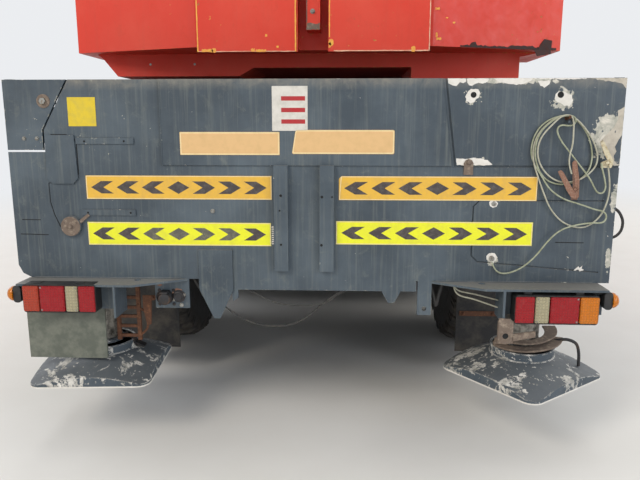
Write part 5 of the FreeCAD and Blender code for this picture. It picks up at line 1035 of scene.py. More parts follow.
class CRANE_OT_cables(bpy.types.Operator):
    """Coiled charging cable with its two spring clamps, the hook it hangs on and the wires under the panel"""
    bl_idname = "crane.cables"
    bl_label = "Cables and clamps"

    def execute(self, context):
        thick = size_of("cable")

        def hook(bm):
            draw_tube(bm, eased([(1.132, REAR + 0.001, 1.5305), (1.132, REAR - 0.012, 1.5305),
                                 (1.132, REAR - 0.030, 1.5302), (1.132, REAR - 0.0385, 1.5325),
                                 (1.132, REAR - 0.0415, 1.5400)], 5), 0.0048, 12)
            draw_lathe(bm, (1.132, REAR - 0.0035, 1.5305), (0, 1, 0), [(0, 0.0055), (0.0015, 0.0085), (0.0035, 0.010)], 14)
        piece("cable_hook", "carrier", finish("rust"), hook, "clamp_steel")

        # Rusty clamp, inside the coil: two arms crossed at a coil spring, jaws up
        def rusty(bm):
            draw_jaw(bm, [(1.0985, 1.300), (1.112, 1.307), (1.124, 1.296), (1.152, 1.250), (1.176, 1.214),
                          (1.187, 1.190), (1.183, 1.180), (1.166, 1.184), (1.142, 1.218), (1.119, 1.262)], -0.0335, -0.0300)
            draw_jaw(bm, [(1.160, 1.336), (1.166, 1.347), (1.177, 1.348), (1.183, 1.330), (1.197, 1.263),
                          (1.200, 1.190), (1.194, 1.180), (1.180, 1.180), (1.176, 1.205), (1.176, 1.262)], -0.0270, -0.0235)
            for x0, z0, x1, z1 in ((1.1010, 1.3005, 1.1700, 1.1830), (1.1115, 1.3055, 1.1860, 1.1900)):
                draw_tube(bm, [(x0, REAR - 0.0300, z0), (x1, REAR - 0.0300, z1)], 0.0022, 8)
            for x0, z0, x1, z1 in ((1.1620, 1.3360, 1.1775, 1.1900), (1.1790, 1.3430, 1.1985, 1.1900)):
                draw_tube(bm, [(x0, REAR - 0.0260, z0), (x1, REAR - 0.0260, z1)], 0.0022, 8)
            draw_lathe(bm, (1.1795, REAR - 0.0355, 1.222), (0, 1, 0),
                       [(0, 0.0045), (0.0016, 0.0070), (0.0130, 0.0070), (0.0146, 0.0045)], 14)
            spring = [(1.1795 + 0.0105 * math.cos(a), REAR - 0.0335 + 0.0105 * i / 60, 1.222 + 0.0105 * math.sin(a))
                      for i, a in ((k, k * 0.42) for k in range(61))]
            draw_tube(bm, spring, 0.0013, 6)
            for k in range(5):
                draw_plate(bm, [(1.1655 + 0.0055 * k, REAR - 0.0335, 1.181), (1.1695 + 0.0055 * k, REAR - 0.0335, 1.181),
                                (1.1675 + 0.0055 * k, REAR - 0.0335, 1.174)], (0, 0.009, 0))
        first_clamp = piece("clamp_rusty", "carrier", finish("clamp"), rusty, "clamp_steel", soft=0.0006)

        # Pale clamp at the right, hung by its handles: a loop of strip with a rivet at its shoulder
        def pale(bm):
            draw_jaw(bm, [(1.272, 1.424), (1.279, 1.430), (1.288, 1.428), (1.303, 1.398), (1.318, 1.374), (1.333, 1.351),
                          (1.3335, 1.334), (1.3265, 1.317), (1.318, 1.316), (1.316, 1.336), (1.306, 1.352), (1.290, 1.380)],
                     -0.0335, -0.0300)
            draw_jaw(bm, [(1.284, 1.3165), (1.284, 1.3400), (1.294, 1.3450), (1.316, 1.3480), (1.331, 1.3420),
                          (1.326, 1.3165)], -0.0270, -0.0235)
            for x0, z0, x1, z1 in ((1.274, 1.4235, 1.293, 1.382), (1.287, 1.4275, 1.3315, 1.3505)):
                draw_tube(bm, [(x0, REAR - 0.0300, z0), (x1, REAR - 0.0300, z1)], 0.0022, 8)
            draw_lathe(bm, (1.3080, REAR - 0.0358, 1.3375), (0, 1, 0),
                       [(0, 0.0050), (0.0016, 0.0078), (0.0132, 0.0078), (0.0148, 0.0050)], 14)
            spring = [(1.3080 + 0.0112 * math.cos(a), REAR - 0.0335 + 0.0105 * i / 60, 1.3375 + 0.0112 * math.sin(a))
                      for i, a in ((k, k * 0.42) for k in range(61))]
            draw_tube(bm, spring, 0.0013, 6)
            for k in range(4):
                draw_plate(bm, [(1.2745 + 0.0026 * k, REAR - 0.0335, 1.4245 + 0.0018 * k),
                                (1.2775 + 0.0026 * k, REAR - 0.0335, 1.4262 + 0.0018 * k),
                                (1.2735 + 0.0026 * k, REAR - 0.0335, 1.4302 + 0.0018 * k)], (0, 0.009, 0))
        second_clamp = piece("clamp_pale", "carrier", finish("jaw"), pale, "clamp_steel", soft=0.0006)
        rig.replaces(first_clamp, "clamps")

        first = lead("charging_lead_first", FIRST_LEAD, thick, finish("sheath"))
        second = lead("charging_lead_second", SECOND_LEAD, thick, finish("sheath_pale"))
        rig.replaces(first, "cable_tail", "cable_coil")
        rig.replaces(second, "cable_loop")
        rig.cord(first, exit=(0.841, REAR - 0.0038, 0.885), length=route_length(first), diameter=thick,
                far_end="fitting", stiffness="limp", lay="hanging", with_pieces=[second_clamp])
        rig.cord(second, exit=(1.314, REAR - 0.028, 1.324), length=route_length(second), diameter=thick,
                far_end="fitting", stiffness="limp", lay="hanging", with_pieces=[first_clamp])
        wire = lead("under_panel_wire", UNDER_WIRE, 0.008, finish("sheath_dark"))
        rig.replaces(wire, "under_wire")
        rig.cord(wire, exit=(-0.414, REAR + 0.0183, 0.664), length=route_length(wire), diameter=0.008,
                far_end="object", stiffness="medium", lay="hanging")
        thin = lead("under_panel_thin_wire", THIN_WIRE, 0.005, finish("sheath_dark"))
        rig.cord(thin, exit=(-0.352, REAR + 0.0178, 0.778), length=route_length(thin), diameter=0.005,
                far_end="object", stiffness="medium", lay="hanging")
        return {"FINISHED"}
# Rear panel

def ragged(outline, seed, step=0.009, swing=0.0022, top=1.6995):
    """An outline of (x, z) corners with its edges broken up, as flaked paint leaves them."""
    rng = random.Random(seed)
    broken = []
    for (x0, z0), (x1, z1) in zip(outline, outline[1:] + outline[:1]):
        count = max(1, int(math.hypot(x1 - x0, z1 - z0) / step))
        for k in range(count):
            t = (k + (rng.uniform(-0.25, 0.25) if k else 0.0)) / count
            off = rng.uniform(-swing, swing)
            broken.append((x0 + (x1 - x0) * t + off * 0.6, min(z0 + (z1 - z0) * t + off, top)))
    return broken


# Places where the enamel has come off in sheets, as (x, z) corners read off the panel: finish, face, corners
BARE_PLACES = (
    ("primer", 0.0, ((0.609, 1.6995), (0.689, 1.6995), (0.689, 1.684), (0.676, 1.677), (0.662, 1.682), (0.648, 1.666),
                     (0.631, 1.668), (0.614, 1.681))),
    ("primer", 0.0, ((0.693, 1.6995), (0.789, 1.6995), (0.787, 1.690), (0.774, 1.681), (0.760, 1.675), (0.744, 1.681),
                     (0.729, 1.677), (0.716, 1.668), (0.705, 1.672), (0.696, 1.682))),
    ("primer", 0.0, ((0.807, 1.6995), (0.975, 1.6995), (0.970, 1.689), (0.952, 1.681), (0.939, 1.675), (0.908, 1.672),
                     (0.882, 1.675), (0.851, 1.679), (0.824, 1.687))),
    ("primer", 0.0, ((0.995, 1.690), (1.051, 1.688), (1.046, 1.672), (1.027, 1.660), (1.009, 1.667))),
    ("primer", 0.0, ((0.980, 1.6995), (1.205, 1.6995), (1.200, 1.6955), (1.090, 1.6935), (1.060, 1.6955), (0.984, 1.694))),
    ("filler", 0.0, ((1.211, 1.6995), (1.3745, 1.6995), (1.3745, 1.655), (1.362, 1.673), (1.342, 1.681), (1.285, 1.687))),
    ("primer", 0.0, ((0.699, 1.643), (0.712, 1.654), (0.743, 1.654), (0.751, 1.639), (0.747, 1.617), (0.736, 1.611),
                     (0.728, 1.598), (0.711, 1.594), (0.695, 1.604), (0.689, 1.622))),
    ("primer", 0.0, ((1.077, 1.634), (1.089, 1.645), (1.115, 1.642), (1.146, 1.629), (1.153, 1.604), (1.141, 1.582),
                     (1.115, 1.582), (1.088, 1.599), (1.074, 1.612))),
    ("primer", 0.0, ((0.661, 1.3555), (0.690, 1.355), (0.701, 1.349), (0.730, 1.357), (0.771, 1.355), (0.798, 1.346),
                     (0.822, 1.3275), (0.812, 1.3245), (0.665, 1.3245))),
    ("filler", 0.0, ((1.282, 1.430), (1.316, 1.469), (1.336, 1.490), (1.352, 1.525), (1.347, 1.562), (1.3745, 1.578),
                     (1.3745, 1.3245), (1.350, 1.3245), (1.338, 1.345), (1.330, 1.372), (1.306, 1.404))),
    ("primer", 0.0, ((0.815, 0.912), (0.828, 0.926), (0.852, 0.925), (0.864, 0.912), (0.862, 0.893), (0.853, 0.888),
                     (0.846, 0.872), (0.838, 0.874), (0.835, 0.888), (0.818, 0.896))),
    ("primer", 0.0, ((1.212, 0.848), (1.232, 0.868), (1.240, 0.862), (1.250, 0.872), (1.247, 0.857), (1.258, 0.850),
                     (1.240, 0.846), (1.232, 0.852))),
    ("primer", 0.0, ((0.816, 1.160), (0.826, 1.170), (0.846, 1.168), (0.856, 1.155), (0.850, 1.140), (0.833, 1.134),
                     (0.820, 1.142))),
    ("filler", -0.008, ((-0.040, 1.482), (-0.023, 1.505), (-0.016, 1.484))),
    ("primer", -0.008, ((0.092, 1.4555), (0.101, 1.467), (0.118, 1.466), (0.112, 1.448), (0.116, 1.432), (0.103, 1.428),
                        (0.104, 1.446))),
)
# Dark flakes of paint left on the bare corner
LEFT_FLAKES = (
    ((1.363, 1.440), (1.3735, 1.456), (1.3735, 1.330), (1.362, 1.333), (1.351, 1.345), (1.347, 1.368), (1.356, 1.386),
     (1.349, 1.408)),
    ((1.338, 1.334), (1.348, 1.338), (1.346, 1.328), (1.336, 1.327)),
    ((1.318, 1.352), (1.327, 1.357), (1.325, 1.345)),
    ((1.340, 1.470), (1.347, 1.480), (1.345, 1.466)),
)


class CRANE_OT_bare_places(bpy.types.Operator):
    """Primer and filler laid bare on the rear panel's right side, with flakes of paint left on it"""
    bl_idname = "crane.bare_places"
    bl_label = "Flaked paint"

    def execute(self, context):
        for kind, thickness in (("primer", 0.0005), ("filler", 0.0004)):
            def patches(bm, kind=kind, thickness=thickness):
                for number, (which, face, outline) in enumerate(BARE_PLACES):
                    if which == kind:
                        draw_plate(bm, upright(ragged(list(outline), number), REAR + face + 0.0002), (0, -thickness, 0))
            piece("panel_bare_" + kind, "carrier", finish(kind), patches, "carrier_paint", angle=80)

        def flakes(bm):
            for number, outline in enumerate(LEFT_FLAKES):
                draw_plate(bm, upright(ragged(list(outline), 90 + number, 0.006, 0.0016), REAR), (0, -0.0009, 0))
        piece("panel_paint_flakes", "carrier", finish("carrier"), flakes, "carrier_paint", angle=80)
        return {"FINISHED"}


# Striped boards: side, left end, bottom, share of the board's length, film, ink of the outer and middle figures
BOARDS = (
    ("upper_left", -1.022, 1.1655, 1.000, "amber_film", "black_film", "black_film"),
    ("lower_left", -1.028, 0.9500, 1.000, "lime_film", "black_film", "grey_film"),
    ("upper_right", 0.140, 1.1660, 1.032, "amber_film", "black_film", "black_film"),
    ("lower_right", 0.128, 0.9610, 1.036, "lime_film", "black_film", "black_film"),
)


class CRANE_OT_boards(bpy.types.Operator):
    """Reflective boards with chevrons either side of a diamond"""
    bl_idname = "crane.boards"
    bl_label = "Striped boards"

    def execute(self, context):
        height = size_of("board_height")
        for name, left, low, share, film, ink, worn_ink in BOARDS:
            length = size_of("board_length") * share
            unit = length / 0.851
            corner = 0.012 if name == "upper_right" else 0.0015

            def sheet(bm):
                outline = [(left, low), (left + length, low), (left + length, low + height),
                           (left + corner, low + height), (left, low + height - corner)]
                draw_plate(bm, upright(outline, REAR), (0, -0.0018, 0))
            piece("board_" + name, "carrier", finish(film), sheet, "carrier_paint", soft=0.0004)

            def border(bm):
                edge = 0.0045
                outer = round_corners(left + 0.001, left + length - 0.001, low + 0.001, low + height - 0.001, 0.003)
                inner = round_corners(left + edge, left + length - edge, low + edge, low + height - edge, 0.002)
                if name == "upper_right":
                    outer = [(max(x, left + 0.012 - (low + height - z)), z) if x < left + 0.02 else (x, z) for x, z in outer]
                    inner = [(max(x, left + 0.019 - (low + height - z)), z) if x < left + 0.02 else (x, z) for x, z in inner]
                draw_band(bm, upright(outer, REAR - 0.0018), upright(inner, REAR - 0.0018), (0, -0.0003, 0))
            piece("board_border_" + name, "carrier", finish("pale_film"), border, "carrier_paint")

            def figure(bm, tip, sense):
                """A chevron with its tip at this distance from the board's left end."""
                half = 0.0285
                corners = [(0.0, 0.0), (0.047, half), (0.103, half), (0.057, 0.0), (0.103, -half), (0.047, -half)]
                outline = [(left + (tip + sense * a) * unit, low + height / 2 + b) for a, b in corners]
                draw_plate(bm, upright(outline, REAR - 0.0018), (0, -0.0003, 0))

            def diamond(bm):
                middle = left + length / 2
                outline = [(middle - 0.050 * unit, low + height / 2), (middle, low + height / 2 + 0.029),
                           (middle + 0.050 * unit, low + height / 2), (middle, low + height / 2 - 0.029)]
                draw_plate(bm, upright(outline, REAR - 0.0018), (0, -0.0003, 0))

            def outer_figures(bm):
                for tip, sense in ((0.023, 1), (0.141, 1), (0.828, -1)):
                    figure(bm, tip, sense)

            def middle_figures(bm):
                for tip, sense in ((0.258, 1), (0.593, -1), (0.711, -1)):
                    figure(bm, tip, sense)
                diamond(bm)
            piece("board_ink_" + name, "carrier", finish(ink), outer_figures, "carrier_paint")
            piece("board_ink_middle_" + name, "carrier", finish(worn_ink), middle_figures, "carrier_paint")
        return {"FINISHED"}


# Blank signs and stickers: name, left, right, bottom, top, face, corner radius, film
SIGNS = (
    ("sign_left", -0.576, -0.126, 1.368, 1.470, -0.008, 0.003, "sign_film"),
    ("sign_right", -0.070, 0.385, 1.373, 1.479, -0.008, 0.007, "sign_film"),
    ("sticker_yellow", -1.083, -0.955, 1.495, 1.623, 0.0, 0.002, "tape"),
    ("sticker_white", -0.158, 0.000, 1.475, 1.669, -0.008, 0.002, "paper"),
)


class CRANE_OT_signs(bpy.types.Operator):
    """Blank signs and stickers on the rear panel"""
    bl_idname = "crane.signs"
    bl_label = "Blank signs"

    def execute(self, context):
        for name, x0, x1, z0, z1, face, radius, film in SIGNS:
            def sheet(bm):
                outline = round_corners(x0, x1, z0, z1, radius)
                if name == "sign_right":
                    outline = [(max(x, x0 + 0.022 - (z1 - z)), z) if x < x0 + 0.03 else (x, z) for x, z in outline]
                draw_plate(bm, upright(outline, REAR + face), (0, -0.0012, 0))
            piece(name, "carrier", finish(film), sheet, "carrier_paint", soft=0.0003)
            if not name.startswith("sign"):
                continue

            def border(bm):
                outer = round_corners(x0 + 0.0015, x1 - 0.0015, z0 + 0.0015, z1 - 0.0015, radius)
                inner = round_corners(x0 + 0.0065, x1 - 0.0065, z0 + 0.0065, z1 - 0.0065, radius * 0.8)
                if name == "sign_right":
                    outer = [(max(x, x0 + 0.024 - (z1 - z)), z) if x < x0 + 0.03 else (x, z) for x, z in outer]
                    inner = [(max(x, x0 + 0.031 - (z1 - z)), z) if x < x0 + 0.03 else (x, z) for x, z in inner]
                draw_band(bm, upright(outer, REAR + face - 0.0012), upright(inner, REAR + face - 0.0012), (0, -0.0003, 0))
            piece(name + "_border", "carrier", finish("pale_film"), border, "carrier_paint")

        def bars(bm):
            for low in (1.506, 1.556, 1.606):
                draw_plate(bm, upright(round_corners(-0.117, -0.011, low, low + 0.019, 0.001), REAR - 0.0092), (0, -0.0003, 0))
        piece("sticker_bars", "carrier", finish("red_film"), bars, "carrier_paint")

        def embossed(bm):
            # A pressed frame stands up in the yellow sticker
            draw_band(bm, upright(round_corners(-1.072, -0.966, 1.506, 1.612, 0.006), REAR - 0.0012),
                      upright(round_corners(-1.069, -0.969, 1.509, 1.609, 0.005), REAR - 0.0012), (0, -0.0005, 0))
        piece("sticker_frame", "carrier", finish("tape"), embossed, "carrier_paint")
        return {"FINISHED"}


class CRANE_OT_panel_fittings(bpy.types.Operator):
    """Bolts, holes, strips, lock rings, latch and weld seams on the rear panel"""
    bl_idname = "crane.panel_fittings"
    bl_label = "Panel fittings"

    def execute(self, context):
        back = (0, -1, 0)

        def bolts(bm):
            draw_bolt(bm, (-1.192, REAR, 1.606), back, 0.017)
            draw_bolt(bm, (-0.439, REAR, 1.112), back, 0.009)
            for x, z in ((-0.640, 0.690), (-0.602, 0.662), (-0.590, 0.712)):
                draw_bolt(bm, (x, REAR, z), back, 0.009)
            for x in (-1.295, -1.235):
                draw_bolt(bm, (x, REAR, 1.440), back, 0.008)
        piece("panel_bolts", "carrier", finish("zinc"), bolts, "dark_steel")

        def cover_nut(bm):
            draw_lathe(bm, (-1.192, REAR, 1.606), back, [(0, 0.031), (0.003, 0.030), (0.004, 0.0285)], 24)
        piece("cover_bolt_washer", "outrigger_rear_left", finish("dusty_rust"), cover_nut, "dark_steel")

        # Dark discs in the holes: painted shade where the panel has openings
        def holes(bm):
            for x, z, radius, face in ((0.7245, 1.6295, 0.0125, 0.0004), (1.0985, 1.6295, 0.0135, 0.0004),
                                       (0.064, 1.182, 0.006, 0.026), (0.062, 0.961, 0.006, 0.026),
                                       (0.110, 1.182, 0.004, 0.026), (-0.122, 1.187, 0.006, 0.026),
                                       (-0.128, 1.119, 0.004, 0.026), (-0.123, 0.962, 0.005, 0.026),
                                       (-0.833, 1.4285, 0.0045, 0.0055), (-1.015, 1.4275, 0.0045, 0.0055),
                                       (-1.020, 1.102, 0.0045, 0.0055), (-0.820, 1.102, 0.0045, 0.0055)):
                draw_lathe(bm, (x, REAR - face, z), back, [(0, radius), (0.0009, radius), (0.0004, radius * 0.8)], 24)
        piece("panel_holes", "carrier", finish("hole"), holes, "dark_steel")

        def strips(bm):
            for x0, x1, low, high in ((-1.056, -0.788, 1.415, 1.444), (-1.052, -0.796, 1.088, 1.117)):
                draw_plate(bm, upright(round_corners(x0, x1, low, high, 0.003), REAR), (0, -0.0055, 0))
            # The tab's lip and the weld along the overlay
            draw_plate(bm, upright([(-0.664, 1.322), (-0.657, 1.322), (-0.657, 1.700), (-0.664, 1.700)], REAR), (0, -0.0095, 0))
        piece("panel_strips", "carrier", finish("panel"), strips, "carrier_paint", soft=0.0012)

        def welds(bm):
            rng = random.Random(4)

            def bead(x0, z0, x1, z1, y, size):
                count = max(3, int(math.hypot(x1 - x0, z1 - z0) / 0.006))
                line = [(x0 + (x1 - x0) * k / count + rng.uniform(-0.0006, 0.0006), y,
                         z0 + (z1 - z0) * k / count + rng.uniform(-0.0006, 0.0006)) for k in range(count + 1)]
                draw_tube(bm, line, size, 6)
            bead(-0.655, 1.3205, 0.640, 1.3205, REAR - 0.0015, 0.0028)
            for x in (-0.155, -0.089, 0.053, 0.119):
                bead(x, 0.842, x, 1.318, REAR - 0.0015, 0.0026)
            bead(-0.513, 0.745, -0.513, 0.928, REAR - 0.0012, 0.0026)
            bead(-0.351, 0.745, -0.351, 0.928, REAR - 0.0012, 0.0026)
            bead(-0.513, 0.930, -0.351, 0.930, REAR - 0.0012, 0.0026)
            bead(-1.300, 0.792, -0.600, 0.792, REAR - 0.0020, 0.0032)
            bead(0.590, 0.792, 1.300, 0.792, REAR - 0.0020, 0.0032)
        piece("panel_welds", "carrier", finish("panel"), welds, "carrier_paint")

        def seams(bm):
            # Hairline joints of the filled tab, dark, and the lock's slot, whose dark line is painted shade
            for line in ([(-1.170, 1.4585), (-1.100, 1.4585), (-1.062, 1.440), (-1.053, 1.415), (-1.053, 1.282),
                          (-1.066, 1.252), (-1.096, 1.238), (-1.196, 1.238), (-1.195, 1.150), (-1.180, 1.090),
                          (-1.156, 1.032)],
                         [(-1.337, 1.0675), (-1.250, 1.0665)], [(-1.350, 0.999), (-1.218, 0.996)],
                         [(1.121, 0.9785), (1.247, 0.9775)]):
                draw_tube(bm, [(x, REAR - 0.0005, z) for x, z in line], 0.0022, 6, 0.35)
        piece("panel_hairlines", "carrier", finish("hole"), seams, "carrier_paint")

        def rings(bm):
            draw_lathe(bm, (0.8395, REAR, 0.9015), back, [(0, 0.0125), (0.0035, 0.0125), (0.0045, 0.0110), (0.0045, 0.0055),
                                                         (0.0012, 0.0050)], 28)
            draw_lathe(bm, (0.8375, REAR, 1.1525), back, [(0, 0.0115), (0.003, 0.0110), (0.0042, 0.0085), (0.0042, 0.0030),
                                                         (0.0030, 0.0026)], 28)
            draw_box(bm, (0.8290, REAR - 0.0046, 1.1517), (0.8460, REAR - 0.0036, 1.1533))
        piece("panel_lock_rings", "carrier", finish("zinc"), rings, "dark_steel")

        def latch(bm):
            # Strap over the hatch's lower seam with a lug at its top
            outline = [(0.695, 1.282), (0.737, 1.280), (0.737, 1.334), (0.729, 1.348), (0.716, 1.353), (0.703, 1.346),
                       (0.695, 1.334)]
            draw_plate(bm, upright(outline, REAR), (0, -0.005, 0))
            draw_lathe(bm, (0.716, REAR - 0.005, 1.336), back, [(0, 0.009), (0.005, 0.0085), (0.008, 0.006)], 14)
        piece("hatch_latch", "carrier", finish("dusty_rust"), latch, "dark_steel", soft=0.0012)

        def cap_dish(bm):
            draw_lathe(bm, (-1.103, REAR - 0.014, 1.038), back, [(0, 0.046), (0.003, 0.045), (0.004, 0.042), (0.0015, 0.036),
                                                                 (0.001, 0.014), (0.004, 0.011), (0.005, 0.0)], 32)
            draw_bolt(bm, (-1.103, REAR - 0.018, 1.038), back, 0.010)
            for k in range(3):
                a = math.radians(35 + 120 * k)
                draw_lathe(bm, (-1.103 + 0.033 * math.cos(a), REAR - 0.0155, 1.038 + 0.033 * math.sin(a)), back,
                           [(0, 0.005), (0.003, 0.0045), (0.0035, 0.003)], 10)
            draw_plate(bm, upright([(-1.068, 1.062), (-1.020, 1.098), (-1.012, 1.088), (-1.058, 1.050)], REAR), (0, -0.010, 0))
        piece("jack_cap_dish", "carrier", finish("dusty_rust"), cap_dish, "dark_steel", soft=0.0008)

        def scuff(bm):
            rng = random.Random(8)
            for k in range(9):
                z = 0.958 + 0.0098 * k
                draw_plate(bm, upright(ragged([(-0.1685, z), (-0.1585, z + 0.001), (-0.1590, z + 0.0065), (-0.1680, z + 0.0055)],
                                              k, 0.004, 0.0012), REAR + 0.0001), (0, -0.0004 - 0.0001 * rng.random(), 0))
        piece("board_glue_left", "carrier", finish("primer"), scuff, "carrier_paint", angle=80)

        def socket(bm):
            middle = (-0.672, REAR, 0.700)
            draw_lathe(bm, middle, back, [(0, 0.033), (0.012, 0.033), (0.015, 0.031), (0.036, 0.029), (0.040, 0.026),
                                          (0.040, 0.021), (0.010, 0.020)], 28)
            draw_box(bm, (-0.690, REAR - 0.052, 0.728), (-0.654, REAR - 0.004, 0.736))
            draw_lathe(bm, (-0.672, REAR - 0.041, 0.7005), back, [(0, 0.028), (0.006, 0.027), (0.009, 0.020), (0.010, 0.0)], 24)
            for x, z in ((-0.706, 0.734), (-0.638, 0.734), (-0.706, 0.666), (-0.638, 0.666)):
                draw_bolt(bm, (x, REAR, z), back, 0.007)
        piece("trailer_socket", "carrier", finish("iron"), socket, "dark_steel")
        return {"FINISHED"}


# Lamps: side, and how far each lens section reaches from the lamp's outer end, with its film
LENS_SECTIONS = (("amber_lens", 0.000, 0.080), ("red_lens", 0.080, 0.202), ("clear_lens", 0.202, 0.263),
                 ("red_lens", 0.263, 0.345))


class CRANE_OT_rear_lamps(bpy.types.Operator):
    """Tail lamps with their lens sections, side marker lamps and head lamps"""
    bl_idname = "crane.rear_lamps"
    bl_label = "Lamps"

    def execute(self, context):
        face = REAR - 0.142
        housings = None
        for side, sign in SIDES.items():
            # The right lamp hangs a little lower, on two lugs
            outer, long, foot = (-1.2945, 0.338, 0.659) if side == "left" else (1.2850, 0.366, 0.634)
            top, outer_end = foot + 0.132, outer

            def body(bm):
                x0, x1 = sorted((outer, outer - sign * long))
                outline = round_corners(x0, x1, foot, top, 0.014)
                draw_plate(bm, upright(outline, REAR - 0.0685), (0, -0.055, 0))
                draw_band(bm, upright(outline, face + 0.004), upright(round_corners(x0 + 0.006, x1 - 0.006, foot + 0.006, top - 0.006, 0.010),
                                                                     face + 0.004), (0, 0.020, 0))
                for x in (x0 + 0.060, x1 - 0.080):
                    draw_box(bm, (x - 0.018, REAR - 0.118, top - 0.006), (x + 0.018, REAR - 0.074, 0.7925 if sign < 0 else 0.7815))
                for shift in (0.12, 0.225):
                    draw_tube(bm, eased([(outer - sign * shift, REAR - 0.072, 0.700), (outer - sign * (shift + 0.01), REAR - 0.050, 0.690),
                                         (outer - sign * (shift + 0.05), REAR - 0.040, 0.735)]), 0.006, 8)
            housing = piece("tail_lamp_body_" + side, "carrier", finish("black"), body, "lamp_plastic", soft=0.002)
            housings = housings or housing
            for number, (film, near, far) in enumerate(LENS_SECTIONS):
                if side == "left" and number == 0:
                    film = "faded_lens"

                def lens(bm):
                    stretch = long / 0.345
                    x0, x1 = sorted((outer - sign * (near * stretch + 0.0015), outer - sign * (far * stretch - 0.0015)))
                    for low, high, deep in ((foot + 0.0065, top - 0.0065, 0.010), (foot + 0.012, top - 0.012, 0.002)):
                        inset = 0.001 if deep > 0.005 else 0.006
                        outline = round_corners(x0 + inset, x1 - inset, low, high, 0.006)
                        draw_plate(bm, upright(outline, face + (0.001 if deep > 0.005 else 0.0)), (0, deep + 0.012, 0))
                piece(f"tail_lamp_{side}_lens_{number}", "carrier", finish(film), lens, "lamp_plastic", soft=0.002)

            def screws(bm):
                for shift in (0.090, 0.252):
                    for z in (foot + 0.014, top - 0.014):
                        draw_lathe(bm, (outer - sign * shift * long / 0.345, face + 0.0005, z), (0, -1, 0), [(0, 0.0042), (0.0014, 0.0038), (0.002, 0.002)], 12)
            piece("tail_lamp_screws_" + side, "carrier", finish("zinc"), screws, "lamp_plastic")

            def marker_mount(bm):
                x0, x1 = sorted((sign * 1.309, sign * 1.347))
                draw_plate(bm, upright(round_corners(x0, x1, 0.700, 0.780, 0.016), REAR - 0.0705), (0, -0.053, 0))
                x0, x1 = sorted((sign * 1.290, sign * 1.312))
                draw_box(bm, (x0, REAR - 0.1000, 0.765), (x1, REAR - 0.0900, 0.781))
            piece("marker_mount_" + side, "carrier", finish("black"), marker_mount, "lamp_plastic", soft=0.0015)

            def marker(bm):
                draw_lathe(bm, (sign * 1.347, REAR - 0.099, 0.738), (sign, 0, 0),
                           [(0, 0.0340), (0.010, 0.0340), (0.016, 0.0320), (0.026, 0.024), (0.031, 0.010), (0.031, 0.0)], 32)
            piece("marker_lens_" + side, "carrier", finish("amber_lens"), marker, "lamp_plastic")

            # Head lamp unit: bowl reflectors behind one ribbed glass, amber corner
            low_x, high_x = 0.774, 1.186

            def pan(bm):
                x0, x1 = sorted((sign * low_x, sign * high_x))
                outline = round_corners(x0, x1, 0.6355, 0.801, 0.012)
                draw_plate(bm, upright(outline, FRONT - 0.0395), (0, 0.010, 0))
                draw_band(bm, upright(outline, FRONT - 0.0395), upright(round_corners(x0 + 0.007, x1 - 0.007, 0.6425, 0.794, 0.009),
                                                                       FRONT - 0.0395), (0, 0.030, 0))
            piece("head_lamp_body_" + side, "carrier", finish("black"), pan, "lamp_plastic", soft=0.001)

            def bowls(bm):
                for x in (0.862, 1.008):
                    draw_lathe(bm, (sign * x, FRONT - 0.0290, 0.718), (0, 1, 0),
                               [(0.001, 0.0), (0.002, 0.020), (0.006, 0.042), (0.014, 0.062), (0.016, 0.066), (0.014, 0.067),
                                (0.000, 0.060)], 32)
                    draw_lathe(bm, (sign * x, FRONT - 0.0280, 0.718), (0, 1, 0), [(0, 0.012), (0.010, 0.011), (0.013, 0.006), (0.014, 0.0)], 16)
            piece("head_lamp_bowls_" + side, "carrier", finish("mirror"), bowls, "lamp_plastic")

            def front_glass(bm):
                x0, x1 = sorted((sign * (low_x + 0.008), sign * 1.090))
                draw_plate(bm, upright(round_corners(x0, x1, 0.6435, 0.793, 0.009), FRONT - 0.0115), (0, 0.0045, 0))
            piece("head_lamp_glass_" + side, "carrier", finish("clear_lens"), front_glass, "lamp_plastic", soft=0.001)

            def turn_lens(bm):
                x0, x1 = sorted((sign * 1.093, sign * (high_x - 0.008)))
                draw_plate(bm, upright(round_corners(x0, x1, 0.6435, 0.793, 0.009), FRONT - 0.0290), (0, 0.022, 0))
            piece("turn_lamp_lens_" + side, "carrier", finish("amber_lens"), turn_lens, "lamp_plastic", soft=0.002)
        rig.replaces(housings, "lamps")
        return {"FINISHED"}


